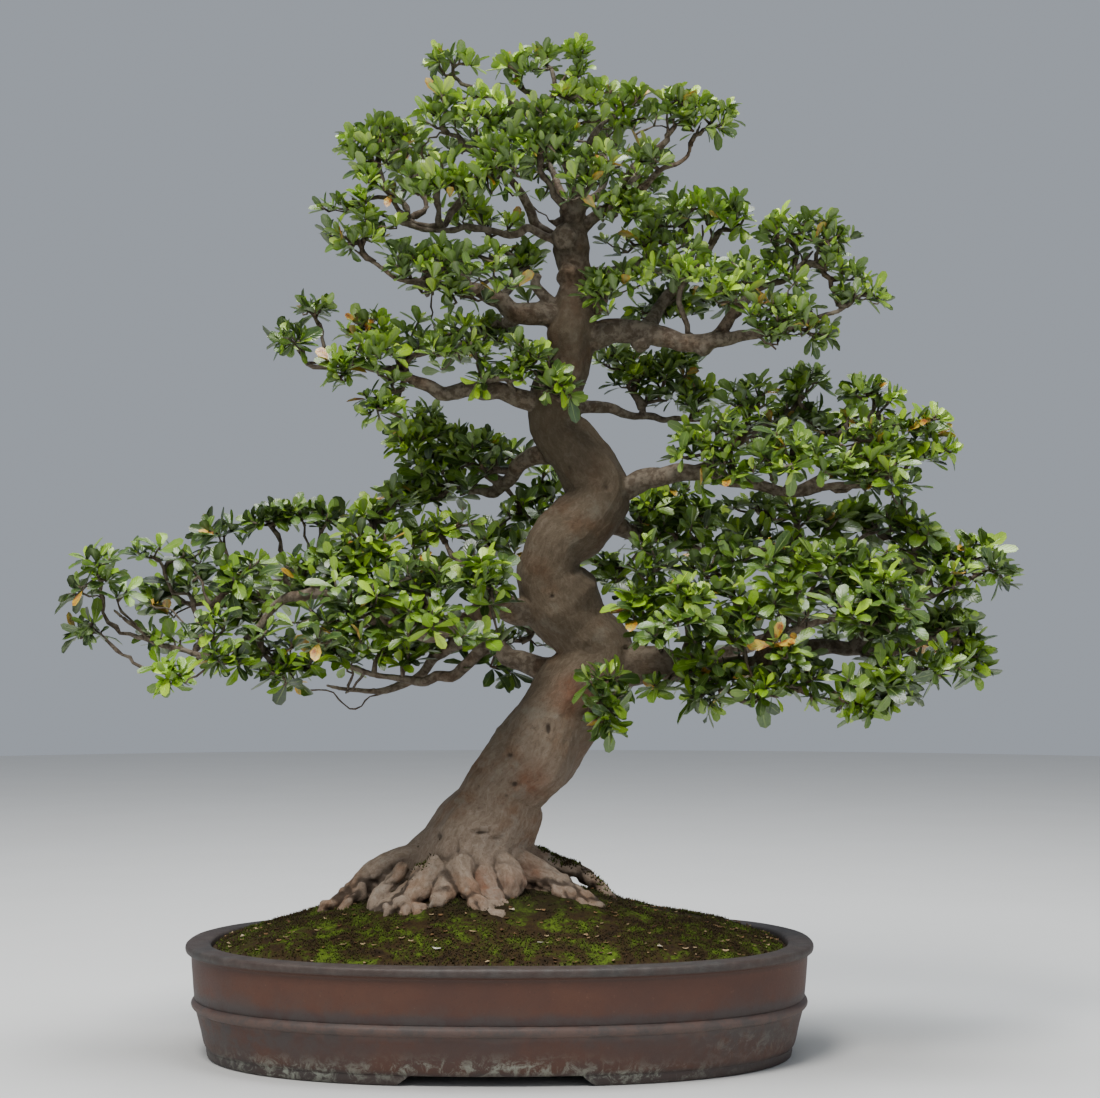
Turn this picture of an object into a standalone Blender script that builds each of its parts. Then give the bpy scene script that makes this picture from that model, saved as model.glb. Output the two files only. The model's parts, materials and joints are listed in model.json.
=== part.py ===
"""Satsuki azalea bonsai, informal upright, in an unglazed oval stoneware pot.

Metres, +Z up, the front of the tree towards -Y. The layout tables give places in
millimetres from the middle of the pot's foot, as (across, depth, height), and the tree is
then moved as a whole so that the origin lies under the middle of its outline.
"""
import math
import random

import bmesh
import bpy
from mathutils import Matrix, Vector
from mathutils.bvhtree import BVHTree

MM = 0.001
GAP = 0.0003

# The whole object is moved by this much, so that its outline is centred on the origin
CENTRING = (-0.0305, -0.0080, 0.0)

# The tables of the tree are a front elevation, drawn as it looks from this eye point.
# A place nearer or further than the pot's middle is moved along its line of sight.
EYE_ACROSS = 0.0368
EYE_DISTANCE = 1.563
EYE_HEIGHT = 0.301

# Pot
POT_LENGTH = 0.460
POT_DEPTH = 0.300
POT_HEIGHT = 0.081
OVAL_POWER = 2.35
POT_SIDES = 36
FLOOR_HEIGHT = 0.016
UNDERSIDE = 0.0065
# Each is a height and an inset from the rim's edge
INNER_LIP = (0.0795, 0.0186)
INNER_WALL = (0.0400, 0.0215)
INNER_FOOT = (FLOOR_HEIGHT, 0.0250)
# Up the outside, over the lip and down the inside
POT_PROFILE = [
    (UNDERSIDE, 0.0150), (0.0197, 0.0115), (0.0330, 0.0080), (0.0352, 0.0064),
    (0.0382, 0.0042), (0.0412, 0.0061), (0.0738, 0.0040), (0.0757, 0.0004),
    (0.0800, 0.0000), (POT_HEIGHT, 0.0014), (POT_HEIGHT, 0.0168), INNER_LIP,
    INNER_WALL, INNER_FOOT]
SHARP_ANGLE = 35

# Feet: four curved runs of foot ring, with a long notch at the front and back
FOOT_OUTER_INSET = 0.0152
FOOT_TAPER = 0.0008
FOOT_WIDTH = 0.0120
FOOT_SINK = 0.0020
FOOT_STATIONS = 5
NOTCH_FRONT_TOP = 0.058
NOTCH_FRONT_FOOT = 0.070
NOTCH_END_TOP = 0.030
NOTCH_END_FOOT = 0.038

# Drain holes and the mesh squares over them
DRAIN_OFFSET = 0.095
DRAIN_RADIUS = 0.011
DRAIN_SIDES = 12
MESH_SIDE = 0.034
MESH_THICKNESS = 0.0010
MESH_HOLE = 0.0100
MESH_HOLES_ACROSS = 2

# Soil and moss
BED_SIDES = 18
BED_RINGS = [0.88, 0.64, 0.34]
BED_EDGE_HEIGHT = 0.0755
BED_EDGE_INSET = 0.0190
MOUND_HEIGHT = 0.026
MOUND_POWER = 3.0
WALL_CLEARANCE = 0.0005
MOSS_THICKNESS = 0.0032
MOSS_BUMP = 0.0011
TRUNK_CLEARANCE = 0.0007

# Trunk, roots and limbs: (across, depth, height, radius). Under every root runs a web
# of wood, lower by this share of the root's height over the bed and fatter by this factor.
WEB_DROP = 0.45
WEB_FATTER = 1.15
WEB_BASE = 92
TRUNK = [
    (-26, 6, 84, 52), (-26, 6, 104, 52), (-25, 5, 122, 47), (-20, 4, 142, 41),
    (-13, 2, 159, 37), (-3, 0, 175, 33), (3, -3, 192, 31), (12, -5, 203, 33),
    (23, -6, 214, 37),
    (33, -5, 229, 35), (43, -2, 244, 31), (57, 2, 264, 31), (74, 6, 282, 28),
    (72, 7, 297, 27), (58, 5, 312, 25), (44, 0, 331, 30), (35, -6, 349, 24),
    (37, -8, 361, 22), (43, -8, 375, 23), (57, -5, 384, 25), (70, 0, 399, 22),
    (73, 5, 414, 23), (59, 8, 436, 22), (45, 7, 455, 22), (41, 4, 466, 19),
    (41, 2, 477, 19), (44, 0, 489, 18), (52, -2, 509, 15), (52, -2, 528, 19),
    (55, 0, 548, 16), (57, 2, 569, 11), (54, 3, 584, 12), (53, 3, 594, 14),
    (53, 2, 606, 12), (50, 2, 614, 9)]
ROOTS = {
    "far_left": [(-39, 2, 136, 18), (-73, -6, 145, 11), (-96, -12, 134, 9.5),
                 (-112, -16, 118, 8), (-126, -20, 102, 6), (-134, -22, 88, 4)],
    "left_front": [(-34, -12, 128, 18.5), (-58, -34, 113, 13.5), (-84, -48, 99, 9),
                   (-98, -54, 88, 5)],
    "front": [(-29, -22, 131, 18), (-38, -42, 116, 11), (-45, -56, 99, 7.5),
              (-48, -64, 86, 5)],
    "front_right": [(-17, -22, 128, 18.5), (-6, -46, 109, 10.5), (5, -62, 92, 6.5),
                    (9, -68, 80, 4.5)],
    "front_bulge": [(-8, -10, 131, 18), (0, -26, 116, 14), (4, -34, 104, 9)],
    "right": [(0, -6, 143, 20), (34, -18, 128, 10.5), (59, -26, 115, 8), (80, -33, 99, 5),
              (88, -36, 88, 4)],
    "upper_right": [(6, 8, 151, 18), (43, 12, 139, 8), (63, 14, 130, 6.5),
                    (80, 16, 110, 4.8), (88, 17, 88, 4)],
    "rear": [(-23, 22, 136, 21), (-33, 50, 121, 13.5), (-45, 76, 104, 8), (-50, 86, 88, 5)],
    "rear_right": [(-2, 24, 137, 18.5), (29, 52, 121, 10.5), (52, 72, 104, 6.5),
                   (60, 80, 86, 4.5)],
    "rear_left": [(-44, 18, 133, 16.5), (-73, 42, 116, 9), (-97, 60, 100, 5.5),
                  (-106, 66, 84, 4)],
}
LIMBS = {
    "low_left_front": [(22, -8, 322, 12), (3, -22, 326, 11), (-15, -32, 322, 10.5),
                       (-38, -45, 312, 9.5), (-60, -55, 308, 9), (-86, -62, 314, 8),
                       (-112, -66, 327, 7.5), (-134, -66, 337, 6.5), (-158, -60, 333, 5),
                       (-178, -52, 312, 4.5), (-198, -42, 295, 4), (-224, -32, 290, 3.5),
                       (-242, -26, 295, 3.5), (-261, -20, 301, 3), (-279, -16, 316, 2.5)],
    "low_left_back": [(59, 8, 280, 9.5), (33, 25, 279, 10.5), (15, 35, 286, 9.5),
                      (0, 42, 294, 9), (-14, 50, 298, 8), (-34, 62, 297, 6.5),
                      (-49, 72, 289, 6), (-57, 80, 277, 5), (-73, 86, 268, 5),
                      (-96, 90, 263, 3.5), (-119, 94, 265, 2.5)],
    "low_left_loop": [(-11, 48, 295, 6), (-23, 46, 285, 6), (-36, 48, 274, 5.5),
                      (-56, 54, 270, 5), (-79, 60, 273, 3.5), (-108, 62, 280, 3),
                      (-134, 62, 290, 2.5)],
    "low_left_rear": [(-23, 56, 297, 6), (-52, 88, 312, 5), (-86, 104, 325, 4.5),
                      (-123, 110, 332, 3.5), (-160, 108, 334, 3)],
    "low_right": [(83, 4, 283, 19.5), (111, -12, 284, 15.5), (134, -20, 280, 13.5),
                  (156, -28, 277, 11), (178, -34, 281, 10.5), (204, -38, 289, 9.5),
                  (234, -38, 295, 9), (260, -35, 294, 7.5), (286, -30, 292, 6),
                  (312, -25, 297, 4.5), (335, -20, 308, 3.5)],
    "low_right_rise": [(193, -36, 286, 6.5), (205, -40, 308, 6), (215, -36, 331, 5),
                       (223, -28, 349, 4), (215, -20, 369, 3)],
    "low_right_outer": [(260, -35, 294, 6), (286, -30, 312, 5), (309, -22, 329, 4),
                        (333, -12, 341, 3.5), (357, -6, 350, 2.5)],
    "low_right_rear": [(128, -18, 281, 8), (162, 15, 290, 6.5), (195, 48, 301, 6),
                       (232, 74, 314, 5), (269, 88, 326, 4), (303, 94, 337, 3)],
    "rear_right": [(68, 8, 390, 9.5), (93, 32, 383, 8), (111, 54, 378, 6.5),
                   (135, 76, 371, 6), (162, 90, 368, 5), (192, 97, 368, 4.5),
                   (224, 100, 369, 3.5)],
    "right_mid": [(78, 4, 414, 11), (100, 0, 417, 9.5), (119, -6, 422, 8),
                  (137, -12, 426, 8), (156, -16, 426, 7.5), (182, -20, 419, 6.5),
                  (212, -20, 411, 5), (238, -18, 414, 4), (268, -14, 416, 3.5),
                  (291, -10, 423, 2.5)],
    "right_mid_rise": [(148, -14, 427, 6), (167, -4, 442, 5), (189, 12, 457, 4),
                       (214, 22, 468, 3.5), (227, 18, 483, 2.5)],
    "right_mid_outer": [(221, -19, 412, 4.5), (251, -10, 431, 3.5), (271, 0, 456, 3),
                        (280, 4, 476, 2.5)],
    "rear_left": [(44, 10, 439, 9), (15, 32, 433, 7), (6, 46, 420, 6.5),
                  (-5, 56, 411, 6.5), (-23, 67, 413, 5), (-45, 77, 416, 3.5),
                  (-64, 83, 413, 3)],
    "rear_left_rise": [(3, 48, 417, 5), (-15, 58, 428, 4), (-34, 66, 436, 3.5),
                       (-52, 70, 442, 2.5)],
    "left_mid": [(41, 2, 477, 10.5), (11, -6, 483, 8.5), (-12, -10, 486, 8),
                 (-34, -14, 486, 7.5), (-52, -18, 490, 6.5), (-71, -20, 498, 5),
                 (-93, -22, 503, 4.5), (-116, -24, 508, 3.5), (-134, -24, 508, 2.5)],
    "right_upper": [(53, -1, 527, 12.5), (82, -3, 532, 11), (104, -6, 532, 9.5),
                    (126, -10, 527, 9.5), (148, -14, 523, 9), (169, -16, 526, 7.5),
                    (193, -16, 530, 5), (217, -12, 535, 4), (242, -8, 544, 3),
                    (260, -6, 552, 2.5)],
    "right_upper_rise": [(160, -15, 525, 6.5), (175, -9, 547, 5), (190, -2, 562, 4.5),
                         (212, 2, 570, 3.5), (227, 3, 584, 3)],
    "right_upper_rear": [(104, -5, 532, 6.5), (119, 22, 550, 5.5), (137, 36, 569, 5),
                         (154, 43, 587, 3.5), (162, 40, 602, 3)],
    "left_upper": [(50, 0, 538, 11), (18, -5, 545, 9.5), (0, -9, 555, 8.5),
                   (-15, -13, 562, 7.5), (-34, -16, 564, 5), (-52, -18, 565, 4.5),
                   (-71, -19, 570, 3.5), (-86, -20, 577, 3), (-101, -20, 587, 2.5)],
    "left_upper_rear": [(20, -3, 544, 6), (0, 30, 538, 5), (-21, 50, 527, 4),
                        (-41, 60, 517, 3.5)],
    "rear_thin": [(49, 8, 474, 6), (82, 26, 474, 5), (100, 36, 468, 4),
                  (122, 43, 465, 3.5), (141, 47, 465, 3)],
    "rear_upper": [(56, 2, 572, 7.5), (83, 16, 576, 6), (100, 29, 582, 5),
                   (116, 38, 591, 3.5)],
    "leader": [(52, 2, 612, 9), (55, 0, 626, 9), (53, -3, 642, 7.5), (46, -6, 662, 6),
               (37, -8, 684, 4.5), (34, -8, 703, 3.5), (46, -6, 721, 2.5)],
    "apex_left": [(50, 3, 600, 8), (33, 6, 607, 7), (23, 6, 620, 6.5), (15, 2, 636, 5.5),
                  (0, -5, 652, 5), (-15, -10, 666, 4), (-29, -14, 677, 3)],
    "apex_pale": [(46, 0, 600, 5), (20, -12, 610, 4.5), (6, -16, 604, 4.5),
                  (-9, -19, 608, 4), (-26, -20, 611, 3.5), (-45, -20, 608, 3.5),
                  (-66, -20, 611, 3.5), (-84, -18, 618, 3), (-103, -14, 626, 2.5)],
    "apex_pale_rise": [(-66, -19, 611, 3.5), (-79, -12, 627, 3), (-87, -5, 642, 2.5)],
    "apex_right": [(59, 3, 608, 7.5), (78, 3, 623, 6.5), (93, 2, 632, 6),
                   (108, 0, 641, 5), (122, -3, 655, 3.5), (140, -4, 664, 3),
                   (146, -4, 679, 2.5)],
    "apex_rear": [(53, 8, 609, 7.5), (49, 28, 629, 6), (41, 43, 647, 4.5),
                  (33, 53, 664, 3.5)],
    "apex_rear_right": [(55, 14, 618, 5), (74, 36, 636, 4.5), (83, 50, 658, 3.5)],
}
TUBE_SIDES = 14
TUBE_STEP = 0.006
LUMPINESS = 0.07
TRUNK_VOXEL = 0.0016
TRUNK_TRIANGLES = 2200

# Leafy sprays: name, the limb that carries it, and where its rosettes of leaves are
SPRAYS = [
    ("left_low_01", "low_left_front", [(-294, -15, 352), (-324, -22, 317)]),
    ("left_low_02", "low_left_front", [(-251, -38, 277)]),
    ("left_low_03", "low_left_front", [(-235, 25, 349), (-210, 14, 384), (-261, 5, 367)]),
    ("left_low_04", "low_left_front", [(-207, -66, 297), (-157, -50, 281)]),
    ("left_low_05", "low_left_front", [(-151, -38, 353), (-112, -98, 316)]),
    ("left_low_06", "low_left_front", [(-103, -48, 364), (-97, -2, 393)]),
    ("left_low_07", "low_left_front", [(-17, -66, 347), (-56, -92, 332)]),
    ("left_low_08", "low_left_rear", [(-155, 32, 394), (-190, 70, 329), (-157, 135, 342)]),
    ("left_low_09", "low_left_rear", [(-61, 95, 349), (-96, 142, 327), (-123, 80, 359)]),
    ("left_low_10", "low_left_loop", [(-66, 66, 294), (-125, 60, 292)]),
    ("left_low_11", "low_left_back", [(-3, 55, 377)]),
    ("mid_left_01", "rear_left_rise", [(-64, 52, 455), (-66, 84, 411)]),
    ("mid_left_02", "rear_left", [(-17, 50, 445)]),
    ("left_mid_01", "left_mid", [(-155, -30, 527), (-141, -16, 552)]),
    ("left_mid_02", "left_mid", [(-103, -42, 515), (-93, -8, 533), (-90, -42, 477)]),
    ("left_mid_03", "left_mid", [(-30, -38, 521), (23, -46, 509)]),
    ("left_mid_04", "left_upper_rear", [(-6, 42, 530), (-45, 72, 518)]),
    ("right_mid_01", "right_mid_rise", [(184, 2, 476), (225, 16, 497)]),
    ("right_mid_02", "right_mid_outer", [(277, 5, 492), (315, 0, 468)]),
    ("right_mid_03", "right_mid", [(160, -38, 450), (215, -52, 441)]),
    ("right_mid_04", "right_mid", [(274, -40, 438), (317, 0, 439)]),
    ("right_mid_05", "right_mid_outer", [(254, 66, 459), (197, 70, 450)]),
    ("mid_right_01", "rear_thin", [(111, 62, 503), (140, 50, 481)]),
    ("right_low_01", "rear_right", [(141, 48, 384), (141, 120, 356)]),
    ("right_low_02", "low_right_rise", [(195, 18, 389), (221, -14, 389)]),
    ("right_low_03", "low_right_outer", [(301, 2, 385), (251, 12, 383)]),
    ("right_low_04", "low_right_outer", [(341, -20, 347), (372, -10, 359)]),
    ("right_low_05", "low_right", [(141, -96, 332), (113, -70, 346)]),
    ("right_low_06", "low_right_rise", [(180, -72, 331), (171, -40, 361)]),
    ("right_low_07", "low_right_rise", [(217, -62, 362), (260, -55, 361)]),
    ("right_low_08", "low_right", [(286, -84, 282), (286, -80, 331), (269, -70, 256)]),
    ("right_low_09", "low_right", [(323, -12, 310), (346, 14, 294)]),
    ("right_low_10", "low_right", [(199, -74, 270), (153, -70, 262)]),
    ("right_low_11", "low_right_rear", [(193, 84, 322), (223, 130, 361)]),
    ("right_low_12", "low_right_rear", [(264, 100, 310), (301, 78, 352)]),
    ("trunk_front", "trunk", [(79, -56, 260)]),
    ("right_upper_01", "right_upper_rear", [(119, 28, 604), (143, 52, 625), (173, 30, 623)]),
    ("right_upper_02", "right_upper_rise", [(160, -36, 577)]),
    ("right_upper_03", "right_upper_rise", [(224, 2, 608), (265, 0, 566)]),
    ("right_upper_04", "right_upper", [(214, -42, 550), (234, -8, 529)]),
    ("right_upper_05", "right_upper_rear", [(125, 52, 553), (169, 60, 562)]),
    ("right_upper_06", "rear_upper", [(90, -30, 569)]),
    ("left_upper_01", "left_upper", [(-56, -38, 586), (-112, -24, 603)]),
    ("left_upper_02", "left_upper", [(-20, -52, 586)]),
    ("left_upper_03", "left_upper", [(15, 34, 585), (-45, 52, 582)]),
    ("apex_01", "leader", [(-8, -22, 698), (-34, -5, 731)]),
    ("apex_02", "leader", [(22, 8, 728), (59, -5, 734)]),
    ("apex_03", "apex_left", [(-4, -44, 663), (-48, -14, 698)]),
    ("apex_04", "leader", [(40, -42, 684), (90, 20, 687)]),
    ("apex_05", "apex_right", [(104, -18, 661), (145, -5, 701)]),
    ("apex_06", "apex_left", [(-41, -32, 650), (-64, 48, 660)]),
    ("apex_07", "apex_pale_rise", [(-93, 0, 676), (-129, -11, 632)]),
    ("apex_08", "apex_rear", [(22, 66, 666), (-18, 52, 675)]),
    ("apex_09", "apex_rear_right", [(76, 68, 673), (104, 50, 643)]),
]

# Shoots: a twig that ends in a hub with a whorl of leaves
LEAVES_PER_SHOOT = 5
LEAF_LENGTH = 0.0240
LEAF_WIDTH = 0.0098
LEAF_THICKNESS = 0.0008
LEAF_WIDEST = 0.62
LEAF_TIP_WIDTH = 0.46
LEAF_LIFT = (18, 44)
LEAF_DROOP = 20
HUB_RADIUS = 0.0020
HUB_HEIGHT = 0.0020
TWIG_ROOT_RADIUS = 0.0021
TWIG_RADIUS_PER_ROSETTE = 0.0004
LONG_TWIG = 0.048
SEAT_GAP = 0.00035
SEAT_FACING = 0.45
SEAT_REACH = 2.4
WALK_COST = 0.12
TWIG_BEND = 0.36
TIP_RISE = 0.75
TIP_STRAY = 0.25
FORK_THINNING = 0.85
TRIES_PER_SEAT = 4
TRIES_PER_FORK = 6
AIM_STRAY = 0.0004
TEST_MARGIN = 0.0005
TRIES = 60


def clear_scene():
    for found in list(bpy.data.objects):
        bpy.data.objects.remove(found, do_unlink=True)


def material(name, colour, roughness, metallic=0.0):
    made = bpy.data.materials.new(name)
    made.use_nodes = True
    shader = made.node_tree.nodes["Principled BSDF"]
    shader.inputs["Base Color"].default_value = (*colour, 1.0)
    shader.inputs["Roughness"].default_value = roughness
    shader.inputs["Metallic"].default_value = metallic
    return made


def add_object(name, mesh, finish=None):
    made = bpy.data.objects.new(name, mesh)
    bpy.context.scene.collection.objects.link(made)
    if finish:
        mesh.materials.clear()
        mesh.materials.append(finish)
    return made


def mesh_of(name, points, faces):
    """A mesh with its faces turned outward."""
    mesh = bpy.data.meshes.new(name)
    mesh.from_pydata([tuple(point) for point in points], [], faces)
    shell = bmesh.new()
    shell.from_mesh(mesh)
    bmesh.ops.recalc_face_normals(shell, faces=shell.faces)
    shell.to_mesh(mesh)
    shell.free()
    return mesh


def loft(name, rings):
    """A closed skin over rings of equally many points, with flat ends."""
    count = len(rings[0])
    points = [point for ring in rings for point in ring]
    faces = []
    for level in range(len(rings) - 1):
        for i in range(count):
            j = (i + 1) % count
            faces.append((level * count + i, level * count + j,
                          (level + 1) * count + j, (level + 1) * count + i))
    faces.append(tuple(reversed(range(count))))
    faces.append(tuple(range((len(rings) - 1) * count, len(rings) * count)))
    return mesh_of(name, points, faces)


def evaluated(subject):
    """The subject's mesh as its modifiers leave it."""
    bpy.context.view_layer.update()
    graph = bpy.context.evaluated_depsgraph_get()
    return bpy.data.meshes.new_from_object(subject.evaluated_get(graph))


def bake(subject):
    """Put the result of the subject's modifiers into its own mesh."""
    result = evaluated(subject)
    subject.modifiers.clear()
    subject.data = result


def boolean(subject, others, operation, solver="EXACT"):
    """Join or cut the subject with the other objects, which are then removed."""
    group = bpy.data.collections.new("operands")
    bpy.context.scene.collection.children.link(group)
    for other in others:
        bpy.context.scene.collection.objects.unlink(other)
        group.objects.link(other)
    step = subject.modifiers.new("join", "BOOLEAN")
    step.operation = operation
    step.solver = solver
    step.operand_type = "COLLECTION"
    step.collection = group
    bake(subject)
    for other in others:
        bpy.data.objects.remove(other, do_unlink=True)
    bpy.data.collections.remove(group)


def pieces_of(shell):
    """The separate bodies of a bmesh, as lists of faces."""
    unseen = set(shell.faces)
    found = []
    while unseen:
        first = unseen.pop()
        body = [first]
        queue = [first]
        while queue:
            for edge in queue.pop().edges:
                for face in edge.link_faces:
                    if face in unseen:
                        unseen.remove(face)
                        body.append(face)
                        queue.append(face)
        found.append(body)
    return found


def keep_largest(mesh):
    """Drop loose scraps and sealed hollows, and split the faces into triangles."""
    shell = bmesh.new()
    shell.from_mesh(mesh)
    bodies = sorted(pieces_of(shell), key=lambda body: -sum(f.calc_area() for f in body))
    for body in bodies[1:]:
        bmesh.ops.delete(shell, geom=body, context="FACES")
    bmesh.ops.triangulate(shell, faces=shell.faces)
    shell.to_mesh(mesh)
    shell.free()


def surface_of(mesh):
    """A search tree over a mesh's triangles."""
    mesh.calc_loop_triangles()
    points = [vertex.co.copy() for vertex in mesh.vertices]
    return BVHTree.FromPolygons(points, [tuple(t.vertices) for t in mesh.loop_triangles])


def sighted(across, depth, height, radius=0.0):
    """A place of the front elevation, moved along the line of sight to its depth."""
    scale = (EYE_DISTANCE + depth * MM) / EYE_DISTANCE
    place = Vector((EYE_ACROSS + (across * MM - EYE_ACROSS) * scale, depth * MM,
                    EYE_HEIGHT + (height * MM - EYE_HEIGHT) * scale))
    return place, radius * MM * scale


# Pot

def oval(angle, inset, height):
    """A point of the pot's plan, a rounded oval drawn in from the rim by the inset."""
    c = math.cos(angle)
    s = math.sin(angle)
    reach = 2.0 / OVAL_POWER
    return Vector(((POT_LENGTH / 2 - inset) * math.copysign(abs(c) ** reach, c),
                   (POT_DEPTH / 2 - inset) * math.copysign(abs(s) ** reach, s), height))


def oval_ring(inset, height, count):
    return [oval(2 * math.pi * i / count, inset, height) for i in range(count)]


def foot(side_x, side_y):
    """One of the four runs of foot ring, its ends sloping under the notches."""
    length = POT_LENGTH / 2 - FOOT_OUTER_INSET
    depth = POT_DEPTH / 2 - FOOT_OUTER_INSET
    top = (math.asin((NOTCH_END_TOP / depth) ** (OVAL_POWER / 2)),
           math.acos((NOTCH_FRONT_TOP / length) ** (OVAL_POWER / 2)))
    low = (math.asin((NOTCH_END_FOOT / depth) ** (OVAL_POWER / 2)),
           math.acos((NOTCH_FRONT_FOOT / length) ** (OVAL_POWER / 2)))
    rings = []
    for i in range(FOOT_STATIONS):
        t = i / (FOOT_STATIONS - 1)
        ring = []
        for span, inset, height in ((low, FOOT_OUTER_INSET + FOOT_TAPER, 0.0),
                                    (top, FOOT_OUTER_INSET, UNDERSIDE + FOOT_SINK),
                                    (top, FOOT_OUTER_INSET + FOOT_WIDTH, UNDERSIDE + FOOT_SINK),
                                    (low, FOOT_OUTER_INSET + FOOT_WIDTH, 0.0)):
            point = oval(span[0] + (span[1] - span[0]) * t, inset, height)
            ring.append(Vector((point.x * side_x, point.y * side_y, point.z)))
        rings.append(ring)
    return add_object("foot", loft("foot", rings))


def drain_cutter(side):
    rings = [[Vector((side * DRAIN_OFFSET + DRAIN_RADIUS * math.cos(a),
                      DRAIN_RADIUS * math.sin(a), height))
              for a in (2 * math.pi * i / DRAIN_SIDES for i in range(DRAIN_SIDES))]
             for height in (-0.01, FLOOR_HEIGHT + 0.01)]
    return add_object("drain", loft("drain", rings))


def make_pot():
    rings = [oval_ring(inset, height, POT_SIDES) for height, inset in POT_PROFILE]
    pot = add_object("pot", loft("pot", rings))
    feet = [foot(x, y) for x in (1, -1) for y in (1, -1)]
    boolean(pot, feet, "UNION")
    boolean(pot, [drain_cutter(side) for side in (-1, 1)], "DIFFERENCE")
    keep_largest(pot.data)
    pot.data.materials.append(material("stoneware", (0.117, 0.054, 0.036), 0.62))
    pot.data.shade_smooth()
    pot.data.set_sharp_from_angle(angle=math.radians(SHARP_ANGLE))
    return pot


# Drain mesh

def block(name, middle, size):
    """A plain box, by its middle and its full size."""
    mesh = bpy.data.meshes.new(name)
    shell = bmesh.new()
    bmesh.ops.create_cube(shell, size=1.0)
    bmesh.ops.transform(shell, matrix=Matrix.Translation(middle) @ Matrix.Diagonal((*size, 1)),
                        verts=shell.verts)
    shell.to_mesh(mesh)
    shell.free()
    return add_object(name, mesh)


def mesh_middle(side):
    return Vector((side * DRAIN_OFFSET, 0.0, FLOOR_HEIGHT + GAP + MESH_THICKNESS / 2))


def make_drain_mesh(name, side, finish):
    middle = mesh_middle(side)
    plate = block(name, middle, (MESH_SIDE, MESH_SIDE, MESH_THICKNESS))
    pitch = MESH_SIDE / (MESH_HOLES_ACROSS + 0.35)
    first = -(MESH_HOLES_ACROSS - 1) / 2
    holes = []
    for i in range(MESH_HOLES_ACROSS):
        for j in range(MESH_HOLES_ACROSS):
            shift = Vector(((first + i) * pitch, (first + j) * pitch, 0.0))
            holes.append(block("hole", middle + shift, (MESH_HOLE, MESH_HOLE, 0.01)))
    boolean(plate, holes, "DIFFERENCE")
    keep_largest(plate.data)
    plate.data.materials.clear()
    plate.data.materials.append(finish)
    return plate


# Soil and moss

def mound(point):
    """Height of the soil's surface over a point of the plan."""
    reach = max(abs(point.x) / (POT_LENGTH / 2 - BED_EDGE_INSET), 1e-9) ** OVAL_POWER
    reach += max(abs(point.y) / (POT_DEPTH / 2 - BED_EDGE_INSET), 1e-9) ** OVAL_POWER
    out = min(reach ** (1 / OVAL_POWER), 1.0)
    return BED_EDGE_HEIGHT + MOUND_HEIGHT * (1 - out ** MOUND_POWER)


def bump(point):
    """The low cushions of the moss."""
    x = point.x / MM
    y = point.y / MM
    return MOSS_BUMP * (math.sin(x / 9.1 + 1.3) * math.sin(y / 11.3 + 0.4)
                        + 0.6 * math.sin(x / 21.0 - y / 17.0))


def bed_rings(inset, lift, bumpy=False):
    """Rings of the bed's surface from its edge inward, and the middle point."""
    edge = oval_ring(inset, 0.0, BED_SIDES)
    rings = []
    for factor in [1.0] + BED_RINGS:
        ring = []
        for point in edge:
            flat = Vector((point.x * factor, point.y * factor, 0.0))
            rise = lift + (bump(flat) if bumpy and factor < 1 else 0.0)
            ring.append(Vector((flat.x, flat.y, mound(flat) + rise)))
        rings.append(ring)
    middle = Vector((0.0, 0.0, mound(Vector((0, 0, 0))) + lift))
    return rings, middle


def fan_faces(first, count, levels, middle, flip):
    """Triangles over rings of points that close on a middle point."""
    faces = []
    for level in range(levels - 1):
        a = first + level * count
        b = a + count
        for i in range(count):
            j = (i + 1) % count
            faces.append((a + i, a + j, b + j))
            faces.append((a + i, b + j, b + i))
    a = first + (levels - 1) * count
    faces += [(a + i, a + (i + 1) % count, middle) for i in range(count)]
    return [tuple(reversed(face)) for face in faces] if flip else faces


def make_soil(trunk_cutter, mesh_cutters):
    rings, middle = bed_rings(BED_EDGE_INSET + WALL_CLEARANCE, 0.0)
    walls = [oval_ring(INNER_WALL[1] + WALL_CLEARANCE, INNER_WALL[0], BED_SIDES),
             oval_ring(INNER_FOOT[1] + WALL_CLEARANCE, INNER_FOOT[0] + GAP, BED_SIDES)]
    points = [p for ring in reversed(walls) for p in ring] + [p for ring in rings for p in ring]
    points.append(middle)
    faces = []
    for level in (0, 1):
        for i in range(BED_SIDES):
            j = (i + 1) % BED_SIDES
            a = level * BED_SIDES
            faces.append((a + i, a + j, a + BED_SIDES + j, a + BED_SIDES + i))
    faces.append(tuple(reversed(range(BED_SIDES))))
    faces += fan_faces(2 * BED_SIDES, BED_SIDES, len(rings), len(points) - 1, False)
    soil = add_object("soil", mesh_of("soil", points, faces))
    boolean(soil, mesh_cutters + [trunk_cutter], "DIFFERENCE")
    keep_largest(soil.data)
    soil.data.materials.clear()
    soil.data.materials.append(material("soil", (0.045, 0.026, 0.014), 0.95))
    return soil


def make_moss(trunk_cutter):
    inset = BED_EDGE_INSET + WALL_CLEARANCE
    low, low_middle = bed_rings(inset, GAP)
    high, high_middle = bed_rings(inset, GAP + MOSS_THICKNESS, True)
    levels = len(low)
    points = [p for ring in low for p in ring] + [low_middle]
    start = len(points)
    points += [p for ring in high for p in ring] + [high_middle]
    faces = fan_faces(0, BED_SIDES, levels, start - 1, True)
    faces += fan_faces(start, BED_SIDES, levels, len(points) - 1, False)
    for i in range(BED_SIDES):
        j = (i + 1) % BED_SIDES
        faces.append((i, j, start + j, start + i))
    moss = add_object("moss", mesh_of("moss", points, faces))
    boolean(moss, [trunk_cutter], "DIFFERENCE")
    keep_largest(moss.data)
    moss.data.materials.clear()
    moss.data.materials.append(material("moss", (0.056, 0.089, 0.010), 0.95))
    return moss


# Trunk

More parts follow.
